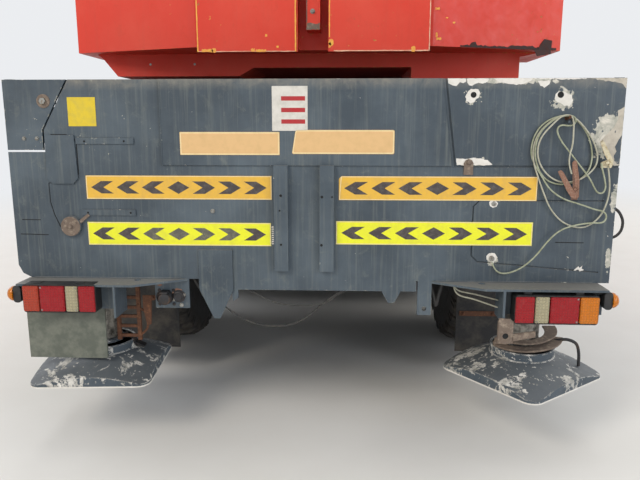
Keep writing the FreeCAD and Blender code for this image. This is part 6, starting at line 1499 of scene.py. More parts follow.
class CRANE_OT_jack_floats(bpy.types.Operator):
    """Straps, lock pins and weld rims on the jack floats, chips on their skins, the jacks' wipers and the lamp arm's
    lug
    """
    bl_idname = "crane.jack_floats"
    bl_label = "Float fittings"

    def execute(self, context):
        turns = {"rear_left": 4.0, "rear_right": 38.0, "front_left": 0.0, "front_right": 0.0}
        for key, turn in turns.items():
            place, side = key.split("_")
            low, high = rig.box(f"jack_{key}")
            x, y = (low.x + high.x) / 2, (low.y + high.y) / 2
            spin = Matrix.Translation((x, y, 0)) @ Matrix.Rotation(math.radians(turn), 4, "Z")

            def straps(bm):
                for sense in (-1, 1):
                    start = len(bm.verts)
                    # Strap bent over the collar, with an eye bolt through its end
                    profile = [(0.082, 0.4605), (0.140, 0.4605), (0.153, 0.452), (0.158, 0.430), (0.205, 0.408), (0.203, 0.400),
                               (0.151, 0.4215), (0.1455, 0.444), (0.137, 0.4530), (0.082, 0.4530)]
                    draw_plate(bm, [(sense * r, -0.022, z) for r, z in profile], (0, 0.044, 0))
                    draw_bolt(bm, (sense * 0.112, 0.0, 0.4605), (0, 0, 1), 0.012, 0.010)
                    bm.verts.ensure_lookup_table()
                    for vert in bm.verts[start:]:
                        vert.co = spin @ vert.co
            if key != "rear_right":
                piece("float_straps_" + key, f"jack_{key}", finish("iron"), straps, "dark_steel", soft=0.001)

            def lower_edge(bm):
                # The float's lower edge is scraped to bare primer all round
                start = len(bm.verts)
                outline = round_corners(-0.2800, 0.2800, -0.2800, 0.2800, 0.060, 6)
                outer = inset_outline(outline, -0.0012)
                draw_band(bm, [(a, b, 0.2996) for a, b in outer], [(a, b, 0.2996) for a, b in inset_outline(outline, 0.004)], (0, 0, 0.0068))
                bm.verts.ensure_lookup_table()
                for vert in bm.verts[start:]:
                    vert.co = spin @ vert.co
            piece("float_edge_" + key, f"jack_{key}", finish("primer"), lower_edge, "carrier_paint", soft=0.0008)

            def rim(bm):
                start = len(bm.verts)
                draw_lathe(bm, (0, 0, 0.440), (0, 0, 1), [(0, 0.1505), (0.004, 0.1525), (0.0075, 0.1500), (0.0075, 0.144), (0.005, 0.140)], 48)
                draw_lathe(bm, (0, 0, 0.4045), (0, 0, 1), [(0.0, 0.1555), (0.003, 0.1550), (0.006, 0.1515), (0.0, 0.1495)], 48)
                draw_lathe(bm, (0, 0, 0.4455), (0, 0, 1), [(0, 0.100), (0.010, 0.0985), (0.016, 0.090), (0.016, 0.0765), (0.0, 0.0765)], 40)
                bm.verts.ensure_lookup_table()
                for vert in bm.verts[start:]:
                    vert.co = spin @ vert.co
            piece("float_rim_" + key, f"jack_{key}", finish("float"), rim, "carrier_paint")

            def wiper(bm):
                draw_lathe(bm, (x, y, 0.770), (0, 0, -1), [(0, 0.098), (0.014, 0.096), (0.018, 0.090), (0.018, 0.0775), (0.0, 0.0775)], 40)
            piece("jack_wiper_" + key, f"outrigger_{key}", finish("seal"), wiper, "dark_steel")

        # Over the right float's collar lies its lock: two dusty flat bars curved round the ram, and a bent rod
        cx, cy = 1.040, REAR + 0.130

        def lock_bars(bm):
            for near, far, first, last, low, rise, thick in ((0.106, 0.158, 196, 352, 0.4525, 0.030, 0.009),
                                                            (0.100, 0.140, 214, 372, 0.486, 0.036, 0.008)):
                outer, inner = [], []
                steps = 16
                for k in range(steps + 1):
                    a = math.radians(first + (last - first) * k / steps)
                    z = low + rise * (k / steps) ** 2
                    wide = far + (0.030 * max(k / steps - 0.6, 0) / 0.4)
                    outer.append((cx + wide * math.cos(a), cy + wide * math.sin(a), z))
                    inner.append((cx + near * math.cos(a), cy + near * math.sin(a), z + 0.004))
                draw_plate(bm, outer + inner[::-1], (0, 0, thick))
            draw_lathe(bm, (cx - 0.135, cy - 0.040, 0.4615), (0, 0, 1), [(0, 0.016), (0.008, 0.015), (0.012, 0.010), (0.030, 0.009),
                                                                       (0.032, 0.0)], 16)
        piece("float_lock_bars", "jack_rear_right", finish("dusty_rust"), lock_bars, "dark_steel", soft=0.0012)

        def lock_rod(bm):
            draw_tube(bm, eased([(cx + 0.130, cy - 0.050, 0.480), (cx + 0.190, cy - 0.058, 0.492), (cx + 0.236, cy - 0.062, 0.474),
                                 (cx + 0.252, cy - 0.064, 0.430), (cx + 0.255, cy - 0.065, 0.380), (cx + 0.255, cy - 0.065, 0.362)]), 0.0075, 10)
        piece("float_lock_rod", "jack_rear_right", finish("iron"), lock_rod, "dark_steel")

        def arm_lug(bm):
            # Round-ended rusty lug on the lamp arm, its bar and its turned-down edge
            outline = [(0.853, 0.660), (0.905, 0.656), (0.9185, 0.640), (0.9185, 0.580)]
            outline += [(0.886 + 0.033 * math.cos(a), 0.572 + 0.034 * math.sin(a)) for a in (math.radians(-15 * k) for k in range(1, 12))]
            outline += [(0.853, 0.580)]
            draw_plate(bm, upright(outline, REAR - 0.1302), (0, -0.0045, 0))
            draw_lathe(bm, (0.886, REAR - 0.1340, 0.577), (0, -1, 0), [(0, 0.0230), (0.003, 0.0225), (0.003, 0.0135), (0.0, 0.0130)], 24)
            draw_plate(bm, [(0.920, REAR - 0.1325, 0.5515), (1.0190, REAR - 0.1325, 0.5715), (1.0190, REAR - 0.1325, 0.5985),
                            (0.920, REAR - 0.1325, 0.5785)], (0, 0.0030, 0))
        piece("lamp_arm_lug", "carrier", finish("dusty_rust"), arm_lug, "dark_steel", soft=0.001)

        # A dark disc in the lug's hole: painted shade
        def arm_hole(bm):
            draw_lathe(bm, (0.886, REAR - 0.1348, 0.577), (0, -1, 0), [(0, 0.0132), (0.0005, 0.0132)], 24)
        piece("lamp_arm_hole", "carrier", finish("hole"), arm_hole, "dark_steel")
        return {"FINISHED"}
# Wheels

def draw_lug(bm, corners, base, top, inset=0.0035):
    """A tread block. Corners are (across, angle) around the tyre; top gives a radius for a place across."""
    middle_x = sum(x for x, _ in corners) / len(corners)
    middle_a = sum(a for _, a in corners) / len(corners)
    low, high = [], []
    for x, a in corners:
        low.append(bm.verts.new((x, base(x) * math.sin(a), base(x) * math.cos(a))))
        x2 = x + math.copysign(min(inset, abs(middle_x - x)), middle_x - x)
        a2 = a + math.copysign(min(inset / 0.74, abs(middle_a - a)), middle_a - a)
        high.append(bm.verts.new((x2, top(x2) * math.sin(a2), top(x2) * math.cos(a2))))
    bm.faces.new(high)
    for i in range(len(low)):
        j = (i + 1) % len(low)
        bm.faces.new((low[i], low[j], high[j], high[i]))


def draw_tyre(bm):
    """A wide radial tyre: carcass with bead ribs on its walls, and blocks in four rows round the tread."""
    depth = size_of("lug_height")

    def crown(x):
        return 0.7398 - 0.12 * max(abs(x) - 0.10, 0) ** 2 / 0.16 - (0.035 * max(abs(x) - 0.225, 0) / 0.037)

    def groove(x):
        return crown(x) - depth
    wall = [(0.196, 0.318), (0.214, 0.322), (0.226, 0.338), (0.232, 0.352), (0.2385, 0.362), (0.2385, 0.368),
            (0.246, 0.395), (0.254, 0.435), (0.2605, 0.490), (0.2625, 0.530), (0.2625, 0.548), (0.2600, 0.551),
            (0.2600, 0.560), (0.2590, 0.600), (0.2570, 0.622), (0.2590, 0.626), (0.2570, 0.648), (0.2500, 0.672),
            (0.2390, groove(0.239)), (0.20, groove(0.20)), (0.10, groove(0.10)), (0.0, groove(0.0))]
    profile = wall + [(-x, r) for x, r in wall[-2::-1]]
    draw_lathe(bm, (0, 0, 0), (1, 0, 0), [(x, r) for x, r in profile], 80, closed=True)
    count = 30
    pitch = 2 * math.pi / count
    for k in range(count):
        a = k * pitch
        for sense in (-1, 1):
            skew = 0.30 * pitch * sense
            shift = a + (0.5 * pitch if sense < 0 else 0.0)
            rows = (((0.010, 0.00), (0.010, 0.66), (0.092, 0.86), (0.106, 0.80), (0.106, 0.22), (0.092, 0.12)),
                    ((0.122, 0.24), (0.122, 0.84), (0.205, 1.02), (0.250, 1.06), (0.250, 0.52), (0.205, 0.46)))
            for row in rows:
                corners = [(sense * x, shift + t * pitch + skew) for x, t in row]
                draw_lug(bm, corners, lambda x: groove(x) - 0.004, crown)
            # Shoulder cleats run down onto the wall
            for t in (0.62, 0.90):
                b = shift + t * pitch + skew
                low = [(sense * x, r * math.sin(b + da), r * math.cos(b + da)) for x, r, da in
                       ((0.2500, 0.700, -0.018), (0.2500, 0.700, 0.018), (0.2570, 0.640, 0.013), (0.2570, 0.640, -0.013))]
                draw_plate(bm, low, (sense * 0.0045, 0, 0))


def draw_wheel_disc(bm, back, front, inner, outer, count, hole, hole_ring):
    """A pressed wheel disc about the X axis, with round hand holes."""
    for k in range(count):
        middle = 2 * math.pi * k / count
        half = math.pi / count
        border = [(outer, middle + half * t) for t in (-1, -0.5, 0, 0.5, 1)] + [((inner + outer) / 2, middle + half)]
        border += [(inner, middle + half * t) for t in (1, 0.5, 0, -0.5, -1)] + [((inner + outer) / 2, middle - half)]
        border = [(r * math.sin(a), r * math.cos(a)) for r, a in border]
        cy, cz = hole_ring * math.sin(middle), hole_ring * math.cos(middle)
        ring = []
        for y, z in border:
            away = math.hypot(y - cy, z - cz)
            ring.append((cy + (y - cy) * hole / away, cz + (z - cz) * hole / away))
        sheets = []
        for x in (back, front):
            sheets.append(([bm.verts.new((x, y, z)) for y, z in border], [bm.verts.new((x, y, z)) for y, z in ring]))
        for border_verts, ring_verts in sheets:
            for i in range(12):
                j = (i + 1) % 12
                bm.faces.new((border_verts[i], border_verts[j], ring_verts[j], ring_verts[i]))
        for i in range(12):
            j = (i + 1) % 12
            bm.faces.new((sheets[0][1][i], sheets[0][1][j], sheets[1][1][j], sheets[1][1][i]))
    bmesh.ops.remove_doubles(bm, verts=bm.verts, dist=0.00005)


def draw_rim(bm):
    draw_wheel_disc(bm, 0.066, 0.090, 0.150, 0.290, 10, 0.030, 0.236)
    draw_lathe(bm, (0, 0, 0), (1, 0, 0), [(0.220, 0.334), (0.214, 0.338), (0.208, 0.334), (0.205, 0.318), (0.150, 0.314),
                                          (0.120, 0.302), (-0.120, 0.302), (-0.150, 0.314), (-0.205, 0.318), (-0.208, 0.334),
                                          (-0.214, 0.338), (-0.220, 0.334), (-0.217, 0.310), (-0.150, 0.298), (-0.125, 0.291),
                                          (0.060, 0.291), (0.125, 0.291), (0.150, 0.298), (0.217, 0.310)], 64, closed=True)
    # Lock ring's gap and the disc's rolled lip
    draw_lathe(bm, (0, 0, 0), (1, 0, 0), [(0.0905, 0.292), (0.0955, 0.289), (0.0955, 0.276), (0.0905, 0.272)], 64, closed=True)
    draw_lathe(bm, (0, 0, 0), (1, 0, 0), [(0.0905, 0.200), (0.0945, 0.198), (0.0960, 0.150), (0.0905, 0.148)], 64, closed=True)


def draw_hub(bm):
    draw_lathe(bm, (0, 0, 0), (1, 0, 0), [(0.060, 0.152), (0.098, 0.150), (0.101, 0.141), (0.126, 0.138), (0.128, 0.134),
                                          (0.132, 0.134), (0.134, 0.138), (0.152, 0.136), (0.161, 0.128), (0.1635, 0.118),
                                          (0.1635, 0.062), (0.168, 0.058), (0.170, 0.050), (0.170, 0.0)], 56)
    for k in range(12):
        a = 2 * math.pi * k / 12
        draw_bolt(bm, (0.1630, 0.094 * math.sin(a), 0.094 * math.cos(a)), (1, 0, 0), 0.010)
    draw_bolt(bm, (0.1695, 0.0, 0.0), (1, 0, 0), 0.014)


def draw_wheel_nuts(bm):
    size = size_of("wheel_nut")
    for k in range(10):
        a = 2 * math.pi * (k + 0.5) / 10
        draw_bolt(bm, (0.0955, 0.1745 * math.sin(a), 0.1745 * math.cos(a)), (1, 0, 0), size, size * 0.55)
    draw_tube(bm, eased([(0.092, 0.262, 0.030), (0.125, 0.268, 0.032), (0.150, 0.262, 0.030)]), 0.005, 8)
    draw_lathe(bm, (0.150, 0.262, 0.030), (1, 0, 0), [(0, 0.007), (0.014, 0.007), (0.016, 0.004)], 10)


class CRANE_OT_wheels(bpy.types.Operator):
    """Tyres with tread, rims, hubs and nuts, one shared mesh each"""
    bl_idname = "crane.wheels"
    bl_label = "Wheels"

    def execute(self, context):
        kinds = (("tyre", "tyre", draw_tyre, "tyre", "tyre_rubber", 24, 0.0), ("rim", "rim", draw_rim, "wheel", "rim_paint", 30, 0.0),
                 ("hub", None, draw_hub, "chassis", "rim_paint", 30, 0.0), ("wheel_nuts", None, draw_wheel_nuts, "zinc", "rim_paint", 30, 0.0))
        for kind, replaced, draw, film, slot, angle, soft in kinds:
            mesh = None
            for axle, y in AXLES.items():
                for side, sign in SIDES.items():
                    at = Matrix.Translation((sign * WHEEL_X, y, WHEEL_Z))
                    if sign < 0:
                        at = at @ Matrix.Rotation(math.pi, 4, "Z")
                    name, body = f"{kind}_dressed_{axle}_{side}", f"wheel_{axle}_{side}"
                    if mesh is None:
                        obj = piece(name, body, finish(film), draw, slot, soft, angle, at)
                        mesh = obj.data
                    else:
                        obj = placed(name, mesh, body, slot, at)
                    if replaced:
                        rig.replaces(obj, f"{replaced}_{axle}_{side}")
        return {"FINISHED"}


# Driver's cab

def draw_cushion(bm, x0, x1, y0, y1, z0, z1, crown, lean=0.0, across=14, along=12):
    """A padded block: crowned on top, pulled in between its corners and leaning back by lean a metre of height."""
    grid = {}
    for layer, level in ((0, 0.0), (1, 0.45), (2, 0.8), (3, 1.0)):
        for i in range(across + 1):
            for j in range(along + 1):
                u, v = i / across, j / along
                if layer < 3 and 0 < i < across and 0 < j < along and layer > 0:
                    continue
                bulge = math.sin(math.pi * u) * math.sin(math.pi * v)
                edge = 0.014 * (1 - level ** 3) + (0.010 if layer == 3 else 0.0)
                x = x0 + edge * (1 - 2 * u) + (x1 - x0) * u
                y = y0 + edge * (1 - 2 * v) + (y1 - y0) * v
                x += 0.010 * (2 * u - 1) * math.sin(math.pi * v) * (1 if 0 < layer < 3 else 0.2)
                z = z0 + (z1 - z0 - crown) * level + (crown * bulge ** 0.5 if layer == 3 else 0.0)
                if layer == 3:
                    # Sewn channels across the pad
                    z -= 0.006 * math.exp(-((v * 4) % 1.0 - 0.5) ** 2 / 0.006) * (1 if 0.2 < v < 0.95 else 0)
                grid[layer, i, j] = bm.verts.new((x, y + lean * (z - z0), z))

    def ring(layer):
        order = [(i, 0) for i in range(across)] + [(across, j) for j in range(along)]
        order += [(i, along) for i in range(across, 0, -1)] + [(0, j) for j in range(along, 0, -1)]
        return [grid[layer, i, j] for i, j in order]
    for layer in (0, 3):
        for i in range(across):
            for j in range(along):
                bm.faces.new((grid[layer, i, j], grid[layer, i + 1, j], grid[layer, i + 1, j + 1], grid[layer, i, j + 1]))
    for layer in range(3):
        a, b = ring(layer), ring(layer + 1)
        for i in range(len(a)):
            j = (i + 1) % len(a)
            bm.faces.new((a[i], a[j], b[j], b[i]))


def draw_backrest(bm, x0, x1, y_foot, z0, z1, lean, thick):
    """An upright pad, crowned forward, its back flat. Lean is how far its top goes back."""
    rows, columns = 14, 12
    front, rear = [], []
    for j in range(rows + 1):
        v = j / rows
        front_row, rear_row = [], []
        for i in range(columns + 1):
            u = i / columns
            taper = 1 - 0.16 * max(v - 0.7, 0) / 0.3
            x = (x0 + x1) / 2 + (u - 0.5) * (x1 - x0) * taper
            z = z0 + (z1 - z0) * v
            back = y_foot - lean * v
            wing = 0.030 * abs(2 * u - 1) ** 3
            crown = 0.030 * (math.sin(math.pi * u) * math.sin(math.pi * min(max(v, 0.02), 0.98))) ** 0.5
            seam = 0.007 * math.exp(-((v * 5) % 1.0 - 0.5) ** 2 / 0.006) * (1 if 0.1 < v < 0.8 and 0.14 < u < 0.86 else 0)
            front_row.append(bm.verts.new((x, back + thick * 0.72 + crown + wing - seam, z)))
            rear_row.append(bm.verts.new((x, back, z)))
        front.append(front_row)
        rear.append(rear_row)
    for sheet in (front, rear):
        for a, b in zip(sheet, sheet[1:]):
            for i in range(columns):
                bm.faces.new((a[i], a[i + 1], b[i + 1], b[i]))
    for j in range(rows):
        for i in (0, columns):
            bm.faces.new((front[j][i], front[j + 1][i], rear[j + 1][i], rear[j][i]))
    for j in (0, rows):
        for i in range(columns):
            bm.faces.new((front[j][i], front[j][i + 1], rear[j][i + 1], rear[j][i]))


def make_seat(name, body, x, y, floor, half=0.235, facing=1.0):
    """A sprung seat: pedestal with bellows, cushion, backrest with head restraint and a belt buckle."""
    def pedestal(bm):
        draw_box(bm, (x - 0.16, y + 0.05, floor), (x + 0.16, y + 0.40, floor + 0.030))
        draw_box(bm, (x - 0.17, y + 0.06, floor + 0.315), (x + 0.17, y + 0.40, floor + 0.365))
        for side in (-1, 1):
            draw_box(bm, (x + side * 0.150 - 0.012, y + 0.05, floor + 0.030), (x + side * 0.150 + 0.012, y + 0.42, floor + 0.045))
            draw_box(bm, (x + side * (half - 0.010) - 0.018, y + 0.020, floor + 0.385),
                     (x + side * (half - 0.010) + 0.018, y + 0.230, floor + 0.445))
    piece(name + "_frame", body, finish("trim"), pedestal, "interior_plastic", soft=0.005)

    def bellows(bm):
        profile = []
        for k in range(7):
            z = 0.030 + 0.285 * k / 6
            profile += [(z, 0.125 if k % 2 else 0.150)]
        draw_lathe(bm, (x, y + 0.225, floor), (0, 0, 1), profile, 28)
    piece(name + "_bellows", body, finish("flap"), bellows, "interior_plastic", angle=60)

    def cushion(bm):
        draw_cushion(bm, x - half, x + half, y, y + 0.475, floor + 0.368, floor + 0.490, 0.030)
    pad = piece(name + "_cushion", body, finish("cloth"), cushion, "interior_plastic", angle=70)
    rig.padded(pad, fill=0.8)

    def back(bm):
        draw_backrest(bm, x - half, x + half, y + 0.018, floor + 0.405, floor + 0.990, 0.070, 0.120)
    rest = piece(name + "_backrest", body, finish("cloth"), back, "interior_plastic", angle=70)
    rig.padded(rest, fill=0.8)

    def head(bm):
        draw_backrest(bm, x - 0.125, x + 0.125, y - 0.046, floor + 1.010, floor + 1.128, 0.010, 0.085)
    restraint = piece(name + "_headrest", body, finish("cloth"), head, "interior_plastic", angle=70)
    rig.padded(restraint, fill=0.9)

    def posts(bm):
        for side in (-0.05, 0.05):
            draw_tube(bm, [(x + side, y - 0.012, floor + 0.960), (x + side, y - 0.016, floor + 1.030)], 0.006, 10)
        draw_tube(bm, eased([(x + half + 0.004, y + 0.08, floor + 0.40), (x + half + 0.010, y + 0.12, floor + 0.46),
                             (x + half + 0.006, y + 0.15, floor + 0.53)]), 0.008, 8, 0.5)
    piece(name + "_posts", body, finish("zinc"), posts, "interior_plastic")


class CRANE_OT_cab_inside(bpy.types.Operator):
    """Seats, dashboard with its dials, pedals, steering wheel and mat in the driver's cab"""
    bl_idname = "crane.cab_inside"
    bl_label = "Driver's cab inside"

    def execute(self, context):
        floor = 1.041
        dash = FRONT - 0.420

        def mat(bm):
            draw_box(bm, (-0.90, CAB_REAR + 0.30, floor), (0.90, FRONT - 0.12, floor + 0.018))
            for k in range(26):
                y = CAB_REAR + 0.36 + k * 0.048
                draw_box(bm, (-0.86, y, floor + 0.018), (0.86, y + 0.012, floor + 0.0215))
        floor_mat = piece("cab_floor_mat", "carrier", finish("flap"), mat, "interior_plastic")
        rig.replaces(floor_mat, "cab_interior")
        for name, x in (("driver", -0.62), ("passenger", 0.62)):
            make_seat(f"cab_{name}_seat", "carrier", x, CAB_REAR + 0.420, floor)

        def board(bm):
            draw_plate(bm, [(-1.0, y, z) for y, z in ((dash + 0.060, floor + 0.010), (FRONT - 0.120, floor + 0.010),
                                                      (FRONT - 0.120, floor + 0.640), (dash + 0.080, floor + 0.700),
                                                      (dash, floor + 0.620))], (2.0, 0, 0))
        piece("cab_dashboard", "carrier", finish("trim"), board, "interior_plastic", soft=0.014)

        def hood(bm):
            # Binnacle over the dials, air vents and the glove box's lid
            draw_plate(bm, [(-0.86, y, z) for y, z in ((dash + 0.075, floor + 0.695), (dash + 0.235, floor + 0.690),
                                                       (dash + 0.215, floor + 0.745), (dash + 0.110, floor + 0.765),
                                                       (dash + 0.068, floor + 0.742))], (0.48, 0, 0))
            for x in (-0.20, 0.0, 0.20, 0.88):
                draw_box(bm, (x - 0.075, dash - 0.004, floor + 0.560), (x + 0.075, dash + 0.02, floor + 0.612))
                for k in range(4):
                    draw_box(bm, (x - 0.068, dash - 0.010, floor + 0.565 + 0.012 * k), (x + 0.068, dash + 0.004, floor + 0.569 + 0.012 * k))
            draw_box(bm, (0.38, dash - 0.006, floor + 0.440), (0.76, dash + 0.03, floor + 0.600))
        piece("cab_dash_hood", "carrier", finish("black"), hood, "interior_plastic", soft=0.005)

        def dials(bm):
            for k, x in enumerate((-0.790, -0.690, -0.560, -0.450)):
                radius = 0.050 if k in (1, 2) else 0.032
                draw_lathe(bm, (x, dash + 0.034, floor + 0.668), (0, -0.80, 0.72),
                           [(0, radius), (0.008, radius), (0.009, radius * 0.9), (0.004, radius * 0.88), (0.004, 0.0)], 24)
            for k in range(10):
                draw_box(bm, (-0.18 + 0.045 * k, dash + 0.022, floor + 0.640), (-0.152 + 0.045 * k, dash + 0.040, floor + 0.664))
        piece("cab_dials", "carrier", finish("black"), dials, "interior_plastic")

        axis = Vector((0, -0.190, 0.160)).normalized()
        centre = Vector((-0.62, dash - 0.112, floor + 0.745))

        def wheel(bm):
            turn = Vector((0, 0, 1)).rotation_difference(axis)
            ring = [centre + axis * 0.013 + turn @ Vector((0.2105 * math.cos(a), 0.2105 * math.sin(a), 0))
                    for a in (2 * math.pi * k / 48 for k in range(49))]
            draw_tube(bm, ring, 0.0135, 12)
            for degrees in (0, 180, 250, 290):
                a = math.radians(degrees)
                out = turn @ Vector((math.cos(a), math.sin(a), 0))
                draw_tube(bm, eased([centre + out * 0.05 - axis * 0.012, centre + out * 0.12 - axis * 0.006,
                                     centre + out * 0.206 + axis * 0.012]), 0.012, 8, 0.6)
            draw_lathe(bm, centre - axis * 0.030, axis, [(0, 0.040), (0.020, 0.072), (0.036, 0.070), (0.042, 0.055), (0.043, 0.0)], 32)
            column = centre - axis * 0.22
            draw_tube(bm, [centre - axis * 0.02, column], 0.030, 20)
            draw_lathe(bm, column, axis, [(-0.06, 0.070), (0.0, 0.066), (0.08, 0.044), (0.10, 0.034)], 24)
            for side in (-1, 1):
                start = centre - axis * 0.060
                draw_tube(bm, eased([start, start + Vector((side * 0.08, 0.0, 0.010)), start + Vector((side * 0.165, -0.01, 0.03))]), 0.007, 8)
        piece("cab_steering_wheel", "carrier", finish("black"), wheel, "interior_plastic")

        def pedals(bm):
            for x, wide in ((-0.76, 0.040), (-0.62, 0.055), (-0.50, 0.035)):
                draw_plate(bm, [(x - wide, dash + 0.02, floor + 0.10), (x + wide, dash + 0.02, floor + 0.10),
                                (x + wide, dash + 0.055, floor + 0.20), (x - wide, dash + 0.055, floor + 0.20)], (0, 0.012, 0.004))
            draw_tube(bm, eased([(-0.28, CAB_REAR + 0.92, floor + 0.018), (-0.285, CAB_REAR + 0.93, floor + 0.25),
                                 (-0.27, CAB_REAR + 0.90, floor + 0.44)]), 0.010, 10)
            draw_lathe(bm, (-0.27, CAB_REAR + 0.90, floor + 0.44), (0, 0, 1), [(0, 0.018), (0.02, 0.027), (0.045, 0.024), (0.055, 0.0)], 20)
            draw_lathe(bm, (-0.28, CAB_REAR + 0.92, floor + 0.018), (0, 0, 1), [(0, 0.075), (0.03, 0.055), (0.06, 0.028), (0.075, 0.012)], 20)
        piece("cab_pedals_lever", "carrier", finish("flap"), pedals, "interior_plastic")
        return {"FINISHED"}


def draw_seal(bm, outline, place, lift, width, radius=0.05):
    """A rubber seal round a window: a band between its opening and the pane, with a raised bead."""
    outer = rounded(outline, radius)
    inner = inset_outline(outer, width)
    bead_out = inset_outline(outer, width * 0.30)
    bead_in = inset_outline(outer, width * 0.70)
    draw_band(bm, [place(p) for p in outer], [place(p) for p in inner], lift)
    draw_band(bm, [place(p) for p in bead_out], [place(p) for p in bead_in], Vector(lift) * 1.7)


class CRANE_OT_cab_outside(bpy.types.Operator):
    """Window seals, wipers, door handles, grille, mirrors' glass, lamps and steps of the driver's cab"""
    bl_idname = "crane.cab_outside"
    bl_label = "Driver's cab outside"

    def execute(self, context):
        seal = size_of("seal")
        # The windscreen's plane leans back from the waist to the roof
        low_y, low_z, high_y, high_z = FRONT, 1.780, FRONT - 0.210, 2.640
        lean = (high_y - low_y) / (high_z - low_z)

        def on_screen(p, proud=0.0):
            x, z = p
            return (x, low_y + (z - low_z) * lean + proud, z)

        def screen_seal(bm):
            draw_seal(bm, [(-1.160, 1.820), (1.160, 1.820), (1.100, 2.580), (-1.100, 2.580)], lambda p: on_screen(p, -0.004),
                      (0, 0.008, 0.002), seal, 0.06)
        piece("windscreen_seal", "carrier", finish("seal"), screen_seal, "cable_rubber", soft=0.0015)

        def rear_seal(bm):
            draw_seal(bm, [(-0.480, 1.950), (0.480, 1.950), (0.480, 2.500), (-0.480, 2.500)], lambda p: (p[0], CAB_REAR, p[1]),
                      (0, -0.006, 0), seal, 0.06)
        piece("rear_window_seal", "carrier", finish("seal"), rear_seal, "cable_rubber", soft=0.0015)

        for side, sign in SIDES.items():
            rear, front = FRONT - 1.370, FRONT - 0.470
            window = [(rear + 0.090, 1.860), (front - 0.090, 1.860), (front - 0.090, 2.550), (rear + 0.090, 2.550)]

            def door_seal(bm):
                draw_seal(bm, window, lambda p: (sign * 1.250, p[0], p[1]), (sign * 0.005, 0, 0), seal, 0.06)
                frame_line = [(rear + 0.012, 1.072), (front - 0.012, 1.072), (front - 0.012, 2.628), (rear + 0.012, 2.628)]
                outer = rounded(frame_line, 0.05)
                inner = inset_outline(outer, 0.010)
                draw_band(bm, [(sign * 1.2500, y, z) for y, z in outer], [(sign * 1.2500, y, z) for y, z in inner], (sign * 0.0022, 0, 0))
            piece("door_seal_" + side, "cab_door_" + side, finish("seal"), door_seal, "cable_rubber", soft=0.001)

            def door_pane(bm):
                outline = rounded(inset_outline(window, 0.010), 0.05)
                draw_plate(bm, [(sign * 1.228, y, z) for y, z in outline], (sign * 0.005, 0, 0))
            piece("door_pane_" + side, "cab_door_" + side, finish("glass"), door_pane, "window_glass")

            def handle(bm):
                y = rear + 0.110
                draw_plate(bm, [(sign * 1.2495, a, b) for a, b in round_corners(y - 0.055, y + 0.075, 1.690, 1.750, 0.012)],
                           (sign * 0.003, 0, 0))
                draw_tube(bm, eased([(sign * 1.250, y - 0.035, 1.722), (sign * 1.272, y - 0.028, 1.722), (sign * 1.276, y, 1.721),
                                     (sign * 1.272, y + 0.050, 1.720), (sign * 1.252, y + 0.060, 1.720)]), 0.0085, 10, 0.7)
                draw_lathe(bm, (sign * 1.2525, y + 0.030, 1.702), (sign, 0, 0), [(0, 0.009), (0.002, 0.008), (0.0025, 0.0)], 16)
            piece("door_handle_" + side, "cab_door_" + side, finish("black"), handle, "interior_plastic", soft=0.0008)

            def rail(bm):
                for y, z0, z1 in ((rear - 0.060, 1.20, 1.95),):
                    draw_tube(bm, eased([(sign * 1.249, y, z0), (sign * 1.292, y, z0 + 0.015), (sign * 1.296, y, z0 + 0.06),
                                         (sign * 1.296, y, z1 - 0.06), (sign * 1.292, y, z1 - 0.015), (sign * 1.249, y, z1)]), 0.012, 12)
                    for z in (z0, z1):
                        draw_lathe(bm, (sign * 1.250, y, z), (sign, 0, 0), [(0, 0.026), (0.004, 0.025), (0.005, 0.015)], 20)
            piece("cab_grab_rail_" + side, "carrier", finish("black"), rail, "interior_plastic")

            def mirror(bm):
                x0, x1 = sorted((sign * 1.383, sign * 1.547))
                for z0, z1 in ((1.916, 2.045), (2.060, 2.336)):
                    draw_plate(bm, upright(round_corners(x0, x1, z0, z1, 0.018), FRONT - 0.2405), (0, -0.0025, 0))
            piece("mirror_glass_" + side, "carrier", finish("mirror"), mirror, "window_glass", soft=0.0008)

            def mirror_shell(bm):
                x0, x1 = sorted((sign * 1.3705, sign * 1.5595))
                rear_rim = round_corners(x0, x1, 1.9005, 2.3495, 0.026)
                draw_band(bm, upright(rear_rim, FRONT - 0.2402), upright(inset_outline(rear_rim, 0.010), FRONT - 0.2402), (0, -0.008, 0))
                draw_plate(bm, upright(round_corners(x0 + 0.004, x1 - 0.004, 1.905, 2.345, 0.03), FRONT - 0.1600), (0, 0.010, 0))
                draw_plate(bm, upright(round_corners(x0 + 0.022, x1 - 0.022, 1.925, 2.325, 0.03), FRONT - 0.1500), (0, 0.008, 0))
            piece("mirror_shell_" + side, "carrier", finish("black"), mirror_shell, "interior_plastic", soft=0.0025)

            def step_treads(bm):
                for z in (0.640, 0.840):
                    for k in range(34):
                        y = CAB_REAR + 0.130 + k * 0.0395
                        if y < FRONT - 0.420:
                            draw_plate(bm, [(sign * 1.243, y, z), (sign * 1.296, y + 0.008, z), (sign * 1.296, y + 0.014, z),
                                            (sign * 1.243, y + 0.006, z)], (0, 0, 0.004))
            piece("step_treads_" + side, "carrier", finish("zinc"), step_treads, "carrier_paint")

            def side_marker(bm):
                for y, z in ((CAB_REAR + 0.200, 0.930), (REAR + 1.02, 1.600), (REAR + 6.45, 1.600)):
                    x = 1.2400 if z < 1 else 1.3750
                    draw_plate(bm, [(sign * x, a, b) for a, b in round_corners(y - 0.050, y + 0.050, z - 0.020, z + 0.020, 0.008)],
                               (sign * 0.014, 0, 0))
            piece("side_markers_" + side, "carrier", finish("amber_lens"), side_marker, "lamp_plastic", soft=0.003)

